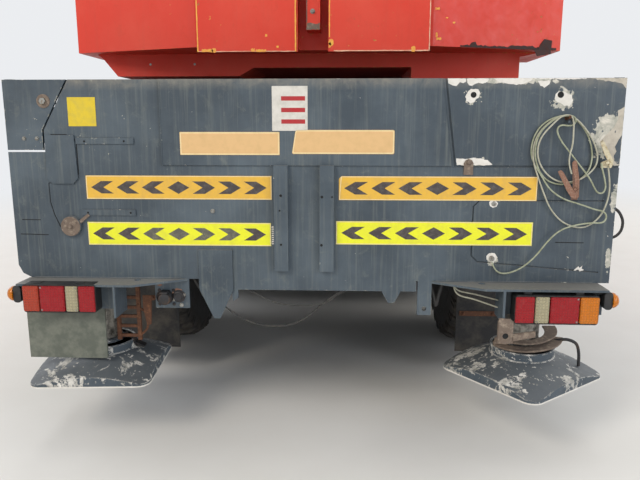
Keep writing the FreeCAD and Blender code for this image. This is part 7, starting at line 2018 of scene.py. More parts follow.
        def wipers(bm):
            for pivot, tip, rest in ((-0.62, 0.10, 1.872), (0.22, 0.94, 1.872)):
                a = Vector(on_screen((pivot, 1.800), 0.012))
                b = Vector(on_screen((tip - 0.30, rest + 0.030), 0.018))
                draw_lathe(bm, on_screen((pivot, 1.800), 0.0), (0, 1, 0.24), [(0, 0.024), (0.012, 0.022), (0.022, 0.014), (0.024, 0.0)], 20)
                draw_tube(bm, eased([a, a.lerp(b, 0.5) + Vector((0, 0.012, 0)), b]), 0.007, 8, 0.6)
                draw_tube(bm, [on_screen((pivot + 0.07, rest), 0.014), on_screen((tip, rest), 0.014)], 0.005, 6, 1.6)
                draw_tube(bm, [on_screen((pivot + 0.09, rest - 0.008), 0.008), on_screen((tip - 0.02, rest - 0.008), 0.008)], 0.003, 6, 2.0)
        piece("wipers", "carrier", finish("black"), wipers, "interior_plastic")

        def grille(bm):
            for i in range(6):
                z = 1.180 + 0.075 * i
                draw_plate(bm, [(-0.645, FRONT - 0.0135, z + 0.004), (0.645, FRONT - 0.0135, z + 0.004),
                                (0.645, FRONT - 0.0035, z + 0.017), (-0.645, FRONT - 0.0035, z + 0.017)], (0, 0, 0.004))
                draw_plate(bm, [(-0.645, FRONT - 0.0135, z + 0.021), (0.645, FRONT - 0.0135, z + 0.021),
                                (0.645, FRONT - 0.0035, z + 0.034), (-0.645, FRONT - 0.0035, z + 0.034)], (0, 0, 0.004))
                for x in (-0.43, -0.215, 0.0, 0.215, 0.43):
                    draw_box(bm, (x - 0.004, FRONT - 0.0138, z + 0.001), (x + 0.004, FRONT - 0.001, z + 0.039))
        piece("grille_slats", "carrier", finish("black"), grille, "interior_plastic")

        def front_trim(bm):
            # Front flap's frame over the grille, hinge covers, tow pin and a blank plate holder
            outer = round_corners(-0.720, 0.720, 1.130, 1.660, 0.03)
            draw_band(bm, upright(outer, FRONT - 0.0002), upright(inset_outline(outer, 0.010), FRONT - 0.0002), (0, 0.0035, 0))
            for x in (-0.55, 0.55):
                draw_plate(bm, upright(round_corners(x - 0.045, x + 0.045, 1.668, 1.700, 0.008), FRONT), (0, 0.010, 0))
            draw_plate(bm, upright(round_corners(-0.260, 0.260, 0.845, 0.960, 0.006), FRONT), (0, 0.004, 0))
            draw_lathe(bm, (0, FRONT, 0.700), (0, 1, 0), [(0, 0.070), (0.006, 0.068), (0.008, 0.060), (0.002, 0.050), (0.002, 0.028),
                                                          (0.018, 0.026), (0.022, 0.020), (0.022, 0.0)], 36)
            for x in (-0.235, 0.235):
                draw_bolt(bm, (x, FRONT + 0.004, 0.9025), (0, 1, 0), 0.006)
        piece("cab_front_trim", "carrier", finish("black"), front_trim, "interior_plastic", soft=0.0012)

        def roof_lamps(bm):
            for x in (-0.95, -0.32, 0.0, 0.32, 0.95):
                draw_plate(bm, [(x - 0.045, FRONT - 0.292, 2.782), (x + 0.045, FRONT - 0.292, 2.782), (x + 0.038, FRONT - 0.268, 2.762),
                                (x - 0.038, FRONT - 0.268, 2.762)], (0, 0.014, 0.012))
        piece("roof_marker_lamps", "carrier", finish("amber_lens"), roof_lamps, "lamp_plastic", soft=0.004)
        return {"FINISHED"}
# Carrier's fittings

class CRANE_OT_deck_fittings(bpy.types.Operator):
    """Deck edges, tie-down eyes, fender lips, exhaust shield and the skirts' bolts"""
    bl_idname = "crane.deck_fittings"
    bl_label = "Deck and exhaust fittings"

    def execute(self, context):
        rear_end, front_end = REAR + 0.030, CAB_REAR - 0.020

        def edges(bm):
            for sign in (-1, 1):
                for x0, x1, z0, z1 in ((1.3752, 1.3785, 1.640, 1.7005), (1.335, 1.3785, 1.7005, 1.7035)):
                    a, b = sorted((sign * x0, sign * x1))
                    draw_box(bm, (a, rear_end, z0), (b, front_end, z1))
            for y in (REAR + 1.10, REAR + 3.90, REAR + 6.90):
                draw_box(bm, (-1.335, y, 1.7005), (1.335, y + 0.040, 1.7035))
        piece("deck_edge_angle", "carrier", finish("carrier"), edges, "carrier_paint", soft=0.0008)

        def bolts(bm):
            for sign in (-1, 1):
                for k in range(19):
                    draw_bolt(bm, (sign * 1.3752, REAR + 0.25 + k * 0.41, 1.590), (sign, 0, 0), 0.008)
                for k in range(12):
                    draw_lathe(bm, (sign * 1.355, REAR + 0.30 + k * 0.66, 1.7035), (0, 0, 1), [(0, 0.009), (0.003, 0.0075), (0.004, 0.0)], 12)
        piece("deck_bolts", "carrier", finish("zinc"), bolts, "dark_steel")

        def eyes(bm):
            for sign in (-1, 1):
                for y in (REAR + 0.95, REAR + 4.85, REAR + 7.60):
                    x = sign * 1.290
                    draw_box(bm, (x - 0.030, y - 0.045, 1.7005), (x + 0.030, y + 0.045, 1.7065))
                    ring = [(x, y + 0.026 * math.cos(a), 1.712 + 0.028 * math.sin(a)) for a in (math.pi * k / 10 for k in range(11))]
                    draw_tube(bm, ring, 0.007, 10)
        piece("tie_down_eyes", "carrier", finish("iron"), eyes, "dark_steel", soft=0.001)

        def lips(bm):
            # Rubber lips under the fenders' outer edges
            for k, y in AXLES.items():
                for sign in (-1, 1):
                    for near, far, z_near, z_far in ((-0.42, -0.64, 1.636, 1.336), (0.42, 0.64, 1.636, 1.336)):
                        x = sign * 1.3605
                        along = Vector((0, far - near, z_far - z_near)).normalized()
                        up = Vector((0, -along.z, along.y)) * 0.004
                        a, b = Vector((x, y + near, z_near)), Vector((x, y + far, z_far))
                        draw_plate(bm, [a - up * 1.6, b - up * 1.6, b + up, a + up], (sign * 0.010, 0, 0))
        piece("fender_lips", "carrier", finish("seal"), lips, "cable_rubber", soft=0.001)

        def shield(bm):
            x, y = 1.020, CAB_REAR - 0.275
            for z in (1.86, 2.10, 2.34):
                draw_lathe(bm, (x, y, z), (0, 0, 1), [(0, 0.1062), (0.003, 0.1085), (0.027, 0.1085), (0.030, 0.1062)], 48)
                draw_bolt(bm, (x, y - 0.112, z + 0.015), (0, -1, 0), 0.008)
            for k in range(20):
                a = math.pi * (-0.10 + 1.2 * k / 19) + math.pi
                cx, cy = x + 0.1092 * math.cos(a), y + 0.1092 * math.sin(a)
                along = Vector((-math.sin(a), math.cos(a), 0))
                out = Vector((math.cos(a), math.sin(a), 0))
                for z in (1.905, 1.950, 1.995, 2.145, 2.190, 2.235):
                    p = Vector((cx, cy, z))
                    draw_plate(bm, [p - along * 0.0055, p + along * 0.0055, p + along * 0.0055 + Vector((0, 0, 0.030)),
                                    p - along * 0.0055 + Vector((0, 0, 0.030))], out * 0.0012)
            draw_lathe(bm, (x, y, 2.478), (0, 0, 1), [(0, 0.106), (0.006, 0.104), (0.010, 0.090), (0.012, 0.047)], 48)
            draw_lathe(bm, (x, y, 2.590), (0, 0, 1), [(0, 0.0465), (0.006, 0.0485), (0.011, 0.0470), (0.011, 0.0420), (0.0, 0.0410)], 32)
        piece("exhaust_shield", "carrier", finish("exhaust"), shield, "dark_steel", soft=0.0006)

        def flap_bars(bm):
            # Clamp bars that hold the rubber flaps behind the rear wheels
            low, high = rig.box("mud_flaps")
            for sign in (-1, 1):
                x0, x1 = sorted((sign * 0.845, sign * 1.312))
                y = REAR + 0.740
                draw_box(bm, (x0, y - 0.0045, 1.575), (x1, y - 0.0003, 1.605))
                for k in range(5):
                    draw_bolt(bm, (sign * (0.870 + 0.104 * k), y - 0.0045, 1.590), (0, -1, 0), 0.010)
        piece("flap_bars", "carrier", finish("zinc"), flap_bars, "dark_steel", soft=0.0008)

        def flap_strap(bm):
            # A rusty bar across the right flap
            y = REAR + 0.740
            draw_box(bm, (0.847, y - 0.0065, 0.392), (1.068, y - 0.0003, 0.421))
            for x in (0.870, 1.045):
                draw_bolt(bm, (x, y - 0.0065, 0.4065), (0, -1, 0), 0.010)
        piece("flap_strap", "carrier", finish("rust"), flap_strap, "dark_steel", soft=0.001)
        return {"FINISHED"}


class CRANE_OT_rear_bits(bpy.types.Operator):
    """Ladder frame, sockets, hoses and thin leads under and beside the rear panel"""
    bl_idname = "crane.rear_bits"
    bl_label = "Under the rear panel"

    def execute(self, context):
        def ladder(bm):
            # Rusty ladder frame hung behind the left end of the panel; its darker rust finish is also painted shade for
            # the shadow behind the panel
            y = REAR + 0.0160
            for x in (-0.918, -0.818):
                draw_plate(bm, upright([(x - 0.009, 0.478), (x + 0.009, 0.478), (x + 0.009, 0.830), (x - 0.009, 0.830)], y), (0, 0.016, 0))
            for z in (0.500, 0.548, 0.596, 0.640, 0.690):
                draw_box(bm, (-0.918, y + 0.002, z - 0.007), (-0.818, y + 0.014, z + 0.007))
            draw_tube(bm, eased([(-0.818, y + 0.007, 0.640), (-0.782, y + 0.007, 0.610), (-0.780, y + 0.007, 0.540), (-0.818, y + 0.007, 0.500)]), 0.006, 8)
            for x in (-0.918, -0.818):
                draw_bolt(bm, (x, y, 0.655), (0, -1, 0), 0.007)
        piece("flap_ladder", "carrier", finish("rust"), ladder, "dark_steel", soft=0.0010)

        def strap(bm):
            # Rusty strap beside the socket plate, bent over the plate's edge; its darker rust finish is also painted
            # shade for the shadow under the panel
            y = REAR + 0.0105
            draw_plate(bm, upright([(-0.792, 0.704), (-0.724, 0.704), (-0.724, 0.684), (-0.750, 0.678), (-0.757, 0.560), (-0.777, 0.556),
                                    (-0.792, 0.640)], y), (0, 0.0055, 0))
            draw_bolt(bm, (-0.7420, y, 0.693), (0, -1, 0), 0.007)
        piece("socket_strap", "carrier", finish("rust"), strap, "dark_steel", soft=0.0008)

        def socket(bm):
            for x, z, r in ((-0.686, 0.700, 0.030), (-0.612, 0.706, 0.024)):
                draw_lathe(bm, (x, REAR, z), (0, -1, 0), [(0, r + 0.006), (0.006, r + 0.006), (0.007, r), (0.018, r), (0.020, r - 0.004),
                                                          (0.016, r - 0.008), (0.016, 0.0)], 28)
        piece("trailer_sockets", "carrier", finish("iron"), socket, "dark_steel", soft=0.0006)

        def socket_marks(bm):
            y = REAR - 0.0006
            for outline in ([(-0.640, 0.735), (-0.622, 0.744), (-0.600, 0.738), (-0.590, 0.720), (-0.598, 0.700), (-0.590, 0.684), (-0.606, 0.676),
                             (-0.628, 0.684), (-0.636, 0.702), (-0.648, 0.716)], [(-0.716, 0.756), (-0.700, 0.764), (-0.690, 0.758), (-0.702, 0.752)]):
                draw_plate(bm, upright(ragged(outline, 5, 0.006, 0.0015), y), (0, -0.0004, 0))
        piece("socket_rust", "carrier", finish("clamp"), socket_marks, "dark_steel")

        def hoses(bm):
            # Air hoses behind the gusset, and two leads that pass to the right lamp through its bracket
            for a, b, c, radius in (((0.560, REAR + 0.024, 0.800), (0.598, REAR + 0.026, 0.668), (0.628, REAR + 0.024, 0.800), 0.008),
                                    ((-0.552, REAR + 0.024, 0.800), (-0.500, REAR + 0.026, 0.705), (-0.440, REAR + 0.024, 0.800), 0.008)):
                a, b, c = Vector(a), Vector(b), Vector(c)
                draw_tube(bm, eased([a, a.lerp(b, 0.75), b, c.lerp(b, 0.75), c]), radius, 10)
            draw_tube(bm, eased([(1.366, REAR + 0.0225, 1.140), (1.395, REAR + 0.010, 1.118), (1.413, REAR + 0.004, 1.078),
                                 (1.410, REAR + 0.004, 1.036), (1.392, REAR + 0.010, 1.008), (1.364, REAR + 0.0225, 0.992)]), 0.0065, 10)
        piece("air_hoses", "carrier", finish("hose"), hoses, "cable_rubber")

        def lamp_leads(bm):
            for z, droop in ((0.748, 0.012), (0.729, 0.018)):
                draw_tube(bm, eased([(0.668, REAR + 0.010, 0.800), (0.690, REAR - 0.002, z + 0.004), (0.770, REAR - 0.020, z - droop),
                                     (0.8685, REAR - 0.044, z - 2.6 * droop)]), 0.0035, 8)
        piece("lamp_leads", "carrier", finish("sheath_pale"), lamp_leads, "cable_rubber")
        return {"FINISHED"}


class CRANE_OT_axle_fittings(bpy.types.Operator):
    """Bolted covers on the differentials and on the shafts' flanges under the carrier"""
    bl_idname = "crane.axle_fittings"
    bl_label = "Axle fittings"

    def execute(self, context):
        def covers(bm):
            for y in AXLES.values():
                for sign in (-1, 1):
                    draw_lathe(bm, (sign * 0.1300, y, WHEEL_Z), (sign, 0, 0), [(0, 0.176), (0.012, 0.174), (0.016, 0.166), (0.020, 0.120)], 40)
                    for k in range(12):
                        a = 2 * math.pi * (k + 0.5) / 12
                        draw_bolt(bm, (sign * 0.1435, y + 0.158 * math.sin(a), WHEEL_Z + 0.158 * math.cos(a)), (sign, 0, 0), 0.011)
                for away in (-0.235, 0.205):
                    draw_lathe(bm, (0, y + away, WHEEL_Z), (0, 1, 0), [(0, 0.050), (0.002, 0.074), (0.028, 0.074), (0.030, 0.050)], 32)
        piece("differential_covers", "carrier", finish("chassis"), covers, "axle_steel", soft=0.001)

        def struts(bm):
            # Air lines along the axle tubes
            for y in AXLES.values():
                for sign in (-1, 1):
                    x = sign * 0.560
                    draw_tube(bm, eased([(sign * 0.300, y + 0.090, WHEEL_Z + 0.092), (sign * 0.480, y + 0.092, WHEEL_Z + 0.094),
                                         (sign * 0.640, y + 0.090, WHEEL_Z + 0.092)]), 0.007, 8)
        piece("axle_air_lines", "carrier", finish("hose"), struts, "cable_rubber")
        return {"FINISHED"}
# Superstructure

TAIL = SLEW - 3.700


class CRANE_OT_counterweight_edges(bpy.types.Operator):
    """Rubbed edges, chips, bolts, lifting eyes and a bent flap on the counterweight"""
    bl_idname = "crane.counterweight_edges"
    bl_label = "Counterweight"

    def execute(self, context):
        back = (0, -1, 0)
        face = TAIL - 0.0402

        def rubbed(bm):
            # Left plate: ochre lines down both edges, chips along the foot. Right plate: chips at its stepped corner
            for x0, x1, z0, z1, seed in ((-0.5815, -0.5755, 1.862, 2.640, 1), (-0.0885, -0.0815, 1.862, 2.640, 2),
                                         (0.0815, 0.0865, 1.930, 2.640, 3)):
                outline = [(x0, z0), (x1, z0), (x1, z1), (x0, z1)]
                draw_plate(bm, upright(ragged(outline, seed, 0.02, 0.0012, 9.0), face), (0, -0.0007, 0))
            for x, z, wide, high, seed in ((-0.530, 1.868, 0.030, 0.007, 4), (-0.498, 1.8685, 0.012, 0.010, 5), (-0.260, 1.867, 0.026, 0.006, 6),
                                           (-0.175, 1.886, 0.006, 0.005, 7), (-0.300, 1.870, 0.010, 0.008, 8), (-0.232, 1.940, 0.006, 0.006, 9),
                                           (0.092, 1.905, 0.012, 0.016, 10), (0.086, 1.892, 0.006, 0.012, 11), (0.500, 1.871, 0.010, 0.014, 12)):
                outline = round_corners(x - wide, x + wide, z - high, z + high, min(wide, high) * 0.7, 2)
                draw_plate(bm, upright(ragged(outline, seed, 0.005, 0.0022, 9.0), face), (0, -0.0008, 0))
            # Chips on the block beside the right plate
            for x, z, wide, high, seed in ((0.612, 2.068, 0.018, 0.006, 13), (0.622, 1.925, 0.022, 0.006, 14), (0.618, 1.944, 0.006, 0.012, 15),
                                           (0.668, 2.028, 0.008, 0.003, 16), (0.705, 2.006, 0.009, 0.003, 17)):
                outline = round_corners(x - wide, x + wide, z - high, z + high, min(wide, high) * 0.6, 2)
                draw_plate(bm, upright(ragged(outline, seed, 0.005, 0.0020, 9.0), TAIL + 0.034 * max(x - 0.6, 0) / 0.1 - 0.0012), (0, 0.0006, 0))
        piece("tail_rubbed_edges", "superstructure", finish("rubbed"), rubbed, "crane_paint")

        def pale(bm):
            for outline, seed in (([(0.5765, 1.862), (0.5812, 1.862), (0.5812, 2.640), (0.5765, 2.640)], 21),
                                  ([(0.105, 1.862), (0.580, 1.862), (0.580, 1.867), (0.105, 1.867)], 22),
                                  ([(-0.580, 1.862), (-0.085, 1.862), (-0.085, 1.8655), (-0.580, 1.8655)], 23)):
                draw_plate(bm, upright(ragged(outline, seed, 0.02, 0.0010, 9.0), face), (0, -0.0006, 0))
        piece("tail_pale_edges", "superstructure", finish("rubbed_pale"), pale, "crane_paint")

        def steps(bm):
            # Notch filled at the right plate's lower left corner, and weld seams round both plates
            draw_plate(bm, upright([(0.0818, 1.8618), (0.1045, 1.8618), (0.1030, 1.8840), (0.0925, 1.8860), (0.0818, 1.8900)], face + 0.0001), (0, -0.0006, 0))
            for x in (-0.5825, -0.0805, 0.0805, 0.5825):
                draw_tube(bm, [(x, TAIL - 0.002, 1.865), (x, TAIL - 0.002, 2.638)], 0.004, 8)
        piece("tail_seams", "superstructure", finish("crane"), steps, "crane_paint")

        def strap(bm):
            y = TAIL + 0.0198
            draw_plate(bm, upright(ragged([(-0.034, 1.976), (0.034, 1.976), (0.034, 2.008), (0.010, 2.000), (-0.012, 2.012), (-0.034, 2.003)], 31, 0.006, 0.003, 9.0), y),
                       (0, -0.0007, 0))
            draw_plate(bm, upright(ragged([(-0.034, 2.010), (-0.030, 2.010), (-0.030, 2.300), (-0.034, 2.300)], 32, 0.02, 0.0010, 9.0), y), (0, -0.0006, 0))
        piece("strap_rubbed_foot", "superstructure", finish("dusty_rust"), strap, "crane_paint")

        def bolts(bm):
            draw_bolt(bm, (-0.003, TAIL + 0.0200, 2.063), back, 0.011, 0.006)
            draw_bolt(bm, (-0.003, TAIL + 0.0200, 2.420), back, 0.011, 0.006)
            for x in (-0.520, -0.140, 0.140, 0.520):
                draw_bolt(bm, (x, TAIL, 2.690), back, 0.018, 0.010)
            for x in (0.70, 0.95):
                draw_lathe(bm, (-x + 0.02, SLEW - 3.402, 1.835), back, [(0, 0.006), (0.001, 0.006), (0.0012, 0.0)], 12)
        piece("counterweight_bolts", "superstructure", finish("zinc"), bolts, "dark_steel")

        def eyes(bm):
            for x in (-0.95, 0.95):
                for y in (SLEW - 3.35, SLEW - 2.98):
                    draw_lathe(bm, (x, y, 2.760), (0, 0, 1), [(0, 0.045), (0.006, 0.044), (0.010, 0.030), (0.014, 0.0)], 28)
                    ring = [(x + 0.036 * math.cos(a), y, 2.772 + 0.044 * math.sin(a)) for a in (math.pi * k / 12 for k in range(13))]
                    draw_tube(bm, ring, 0.010, 12)
        piece("lifting_eyes", "superstructure", finish("crane"), eyes, "crane_paint")

        def flap(bm):
            # A dark bent flap, and a dark strip along the right block's lower edge whose taller notches are painted
            # shade
            z = 1.8905
            start, end = Vector((0.645, TAIL + 0.018, z)), Vector((1.285, TAIL + 0.230, z))
            along = (end - start).normalized()
            out = Vector((along.y, -along.x, 0.0))
            outline = []
            steps = 60
            noise = random.Random(7)
            for k in range(steps + 1):
                t = k / steps
                high = 0.008 + 0.007 * noise.random()
                # Taller dark patches for the notches: painted shade
                if 0.245 < t < 0.30 or 0.10 < t < 0.14:
                    high += 0.014
                if 0.58 < t < 0.80:
                    high += 0.006
                outline.append(start.lerp(end, t) + Vector((0, 0, high)) + out * 0.0012)
            foot = [start.lerp(end, k / 4) + out * 0.0012 for k in range(4, -1, -1)]
            draw_plate(bm, outline + foot, out * 0.0008)
            corner = start.lerp(end, 0.90)
            draw_plate(bm, [corner - along * 0.045, corner + along * 0.035, corner + along * 0.038 + Vector((0, 0, 0.050)),
                            corner - along * 0.008 + Vector((0, 0, 0.056)), corner - along * 0.030 + Vector((0, 0, 0.030))], out * 0.0040)
            draw_plate(bm, [corner - along * 0.070 + out * 0.004, corner + along * 0.030 + out * 0.004,
                            corner + along * 0.030 + out * 0.012 - Vector((0, 0, 0.020)), corner - along * 0.060 + out * 0.018 - Vector((0, 0, 0.034))],
                       out * 0.0030)
        piece("counterweight_flap", "superstructure", finish("dark_edge_and_notch_shade"), flap, "dark_steel")
        return {"FINISHED"}


class CRANE_OT_housing_fittings(bpy.types.Operator):
    """Louvres, doors, hinges, handles, filler cap and grab rails on the engine housing and the oil tank"""
    bl_idname = "crane.housing_fittings"
    bl_label = "Housings"

    def execute(self, context):
        rear, front = SLEW - 2.680, SLEW - 0.320

        def louvres(bm):
            x = 1.2900
            for first in (rear + 0.20, rear + 1.32):
                for k in range(9):
                    z = 2.080 + 0.056 * k
                    draw_plate(bm, [(x, first, z + 0.018), (x + 0.014, first, z), (x + 0.0145, first, z + 0.002), (x + 0.001, first, z + 0.040)],
                               (0, 0.840, 0))
            for k in range(12):
                y = rear + 0.30 + k * 0.150
                draw_plate(bm, [(0.60, y, 2.7805), (1.08, y, 2.7805), (1.08, y + 0.050, 2.7955), (0.60, y + 0.050, 2.7955)], (0, 0.003, 0.002))
        piece("engine_louvres", "superstructure", finish("crane"), louvres, "crane_paint", soft=0.0008)

        def doors(bm):
            for sign, top in ((1, 2.640), (-1, 2.280)):
                for y0, y1 in ((rear + 0.10, rear + 1.13), (rear + 1.23, front - 0.10)):
                    outer = round_corners(y0, y1, 1.960, top, 0.03)
                    inner = inset_outline(outer, 0.006)
                    draw_band(bm, sideways(outer, sign * 1.2901), sideways(inner, sign * 1.2901), (sign * 0.0022, 0, 0))
        piece("housing_door_seams", "superstructure", finish("seal"), doors, "dark_steel")

        def handles(bm):
            for sign, z in ((1, 2.34), (-1, 2.12)):
                for y in (rear + 0.62, rear + 1.78):
                    x = sign * 1.290
                    draw_plate(bm, sideways(round_corners(y - 0.055, y + 0.055, 1.985, 2.035, 0.010), x), (sign * 0.004, 0, 0))
                    draw_tube(bm, eased([(x, y - 0.035, 2.010), (x + sign * 0.022, y - 0.030, 2.010), (x + sign * 0.026, y, 2.010),
                                         (x + sign * 0.022, y + 0.030, 2.010), (x, y + 0.035, 2.010)]), 0.006, 8)
                for y in (rear + 0.20, rear + 1.02, rear + 1.34, front - 0.22):
                    top = 2.650 if sign > 0 else 2.290
                    draw_tube(bm, [(sign * 1.293, y - 0.045, top), (sign * 1.293, y + 0.045, top)], 0.009, 10)
        piece("housing_handles", "superstructure", finish("zinc"), handles, "dark_steel", soft=0.0006)

        def filler(bm):
            draw_lathe(bm, (-0.80, rear + 0.55, 2.420), (0, 0, 1), [(0, 0.075), (0.008, 0.074), (0.010, 0.052), (0.030, 0.050), (0.034, 0.058),
                                                                   (0.052, 0.057), (0.058, 0.048), (0.060, 0.0)], 32)
            for k in range(8):
                a = 2 * math.pi * k / 8
                draw_bolt(bm, (-0.80 + 0.064 * math.cos(a), rear + 0.55 + 0.064 * math.sin(a), 2.428), (0, 0, 1), 0.006)
            draw_lathe(bm, (-0.80, rear + 1.15, 2.420), (0, 0, 1), [(0, 0.110), (0.006, 0.108), (0.014, 0.096), (0.016, 0.0)], 40)
            for x in (-0.65, -0.95):
                draw_tube(bm, eased([(x, rear + 1.60, 2.420), (x, rear + 1.61, 2.452), (x, rear + 1.66, 2.462), (x, rear + 1.92, 2.462),
                                     (x, rear + 1.97, 2.452), (x, rear + 1.98, 2.420)]), 0.010, 10)
        piece("tank_fittings", "superstructure", finish("black"), filler, "dark_steel", soft=0.0006)

        return {"FINISHED"}


class CRANE_OT_crane_cab(bpy.types.Operator):
    """Seals, wiper, rails, door furniture, seat and controls of the crane operator's cab"""
    bl_idname = "crane.crane_cab"
    bl_label = "Crane cab"

    def execute(self, context):
        seal = size_of("seal") * 0.8
        low, high = Vector((0, SLEW + 1.650, 2.320)), Vector((0, SLEW + 1.320, 3.280))
        slope = (high.y - low.y) / (high.z - low.z)

        def on_screen(p, proud=0.0):
            return (p[0], low.y + (p[1] - low.z) * slope + proud, p[1])

        def screen_seal(bm):
            draw_seal(bm, [(-1.190, 2.350), (-0.530, 2.350), (-0.530, 3.220), (-1.190, 3.220)], lambda p: on_screen(p, -0.004),
                      (0, 0.008, 0.003), seal, 0.05)
        piece("crane_screen_seal", "superstructure", finish("seal"), screen_seal, "cable_rubber", soft=0.001)

        def inner_seal(bm):
            outline = [(SLEW + 0.12, 2.440), (SLEW + 1.18, 2.440), (SLEW + 1.13, 3.210), (SLEW + 0.12, 3.210)]
            draw_seal(bm, outline, lambda p: (-0.470, p[0], p[1]), (0.006, 0, 0), seal, 0.05)
        piece("crane_inner_seal", "superstructure", finish("seal"), inner_seal, "cable_rubber", soft=0.001)

        def door_seal(bm):
            outline = [(SLEW + 0.63, 2.360), (SLEW + 1.25, 2.360), (SLEW + 1.25, 3.140), (SLEW + 0.63, 3.140)]
            draw_seal(bm, outline, lambda p: (-1.293, p[0], p[1]), (-0.005, 0, 0), seal, 0.05)
        piece("crane_door_seal", "crane_cab_door", finish("seal"), door_seal, "cable_rubber", soft=0.001)

        def door_pane(bm):
            outline = round_corners(SLEW + 0.64, SLEW + 1.24, 2.370, 3.130, 0.05)
            draw_plate(bm, sideways(outline, -1.278), (0.005, 0, 0))
        piece("crane_door_pane", "crane_cab_door", finish("glass"), door_pane, "window_glass")

        def door_handle(bm):
            y = SLEW + 0.585
            draw_plate(bm, sideways(round_corners(y - 0.018, y + 0.020, 2.240, 2.400, 0.008), -1.2930), (-0.003, 0, 0))
            draw_tube(bm, eased([(-1.293, y, 2.255), (-1.318, y, 2.262), (-1.322, y, 2.320), (-1.318, y, 2.378), (-1.293, y, 2.385)]), 0.008, 10)
        piece("crane_door_handle", "crane_cab_door", finish("black"), door_handle, "interior_plastic", soft=0.0006)

        def wiper(bm):
            draw_lathe(bm, on_screen((-0.86, 2.335), 0.0), (0, 1, 0.3), [(0, 0.022), (0.012, 0.020), (0.022, 0.012), (0.024, 0.0)], 20)
            draw_tube(bm, eased([on_screen((-0.86, 2.335), 0.018), on_screen((-0.80, 2.55), 0.026), on_screen((-0.74, 2.76), 0.016)]), 0.006, 8)
            draw_tube(bm, [on_screen((-0.80, 2.44), 0.014), on_screen((-0.68, 3.02), 0.014)], 0.005, 6)
        piece("crane_wiper", "superstructure", finish("black"), wiper, "interior_plastic")

        def rails(bm):
            for x in (-1.215, -0.505):
                draw_tube(bm, eased([(x, SLEW + 1.492, 2.00), (x, SLEW + 1.535, 2.015), (x, SLEW + 1.560, 2.06), (x, SLEW + 1.660, 2.24),
                                     (x, SLEW + 1.672, 2.29), (x, SLEW + 1.640, 2.315)]), 0.011, 10)
            draw_tube(bm, eased([(-0.60, SLEW + 0.10, 3.340), (-0.60, SLEW + 0.11, 3.385), (-0.60, SLEW + 0.16, 3.400), (-0.60, SLEW + 0.95, 3.400),
                                 (-0.60, SLEW + 1.00, 3.385), (-0.60, SLEW + 1.01, 3.340)]), 0.011, 10)
            for x in (-1.13, -0.70):
                draw_lathe(bm, (x, SLEW + 1.18, 3.340), (0, 0, 1), [(0, 0.030), (0.020, 0.028), (0.024, 0.012), (0.040, 0.012)], 20)
                draw_lathe(bm, (x, SLEW + 1.160, 3.425), (0, 1, -0.2), [(0, 0.030), (0.030, 0.052), (0.062, 0.058), (0.068, 0.056), (0.062, 0.050), (0.060, 0.0)], 28)
        piece("crane_cab_rails_lamps", "superstructure", finish("black"), rails, "interior_plastic", soft=0.0006)

        floor = 1.937
        make_seat("crane_operator_seat", "superstructure", -0.860, SLEW + 0.150, floor + 0.002)

        def controls(bm):
            # Floor mat, consoles with joysticks beside the seat, pedals and a small display
            draw_box(bm, (-1.195, SLEW + 0.02, floor), (-0.525, SLEW + 1.40, floor + 0.002))
            for x in (-1.160, -0.560):
                draw_plate(bm, [(x - 0.042, y, z) for y, z in ((SLEW + 0.18, floor + 0.520), (SLEW + 0.62, floor + 0.520), (SLEW + 0.70, floor + 0.585),
                                                               (SLEW + 0.62, floor + 0.640), (SLEW + 0.18, floor + 0.640))], (0.084, 0, 0))
                draw_plate(bm, [(x - 0.030, y, z) for y, z in ((SLEW + 0.22, floor + 0.002), (SLEW + 0.50, floor + 0.002), (SLEW + 0.50, floor + 0.520),
                                                               (SLEW + 0.22, floor + 0.520))], (0.060, 0, 0))
            for x in (-1.02, -0.90, -0.78, -0.66):
                draw_plate(bm, [(x - 0.035, SLEW + 1.02, floor + 0.06), (x + 0.035, SLEW + 1.02, floor + 0.06), (x + 0.035, SLEW + 1.12, floor + 0.16),
                                (x - 0.035, SLEW + 1.12, floor + 0.16)], (0, 0.008, -0.008))
        piece("crane_cab_consoles", "superstructure", finish("trim"), controls, "interior_plastic", soft=0.003)

        def sticks(bm):
            for x in (-1.160, -0.560):
                base = Vector((x, SLEW + 0.56, floor + 0.640))
                draw_lathe(bm, base, (0, 0, 1), [(0, 0.034), (0.012, 0.030), (0.024, 0.022), (0.036, 0.024), (0.046, 0.014), (0.060, 0.008)], 24)
                draw_lathe(bm, base + Vector((0, 0, 0.055)), (0, 0.10, 1), [(0, 0.010), (0.020, 0.018), (0.060, 0.020), (0.080, 0.024), (0.094, 0.018), (0.098, 0.0)], 20)
            draw_box(bm, (-1.190, SLEW + 1.22, 2.52), (-1.165, SLEW + 1.36, 2.70))
            draw_tube(bm, eased([(-1.190, SLEW + 1.32, 2.10), (-1.182, SLEW + 1.30, 2.35), (-1.178, SLEW + 1.29, 2.53)]), 0.010, 10)
        piece("crane_cab_sticks", "superstructure", finish("black"), sticks, "interior_plastic", soft=0.001)
        return {"FINISHED"}


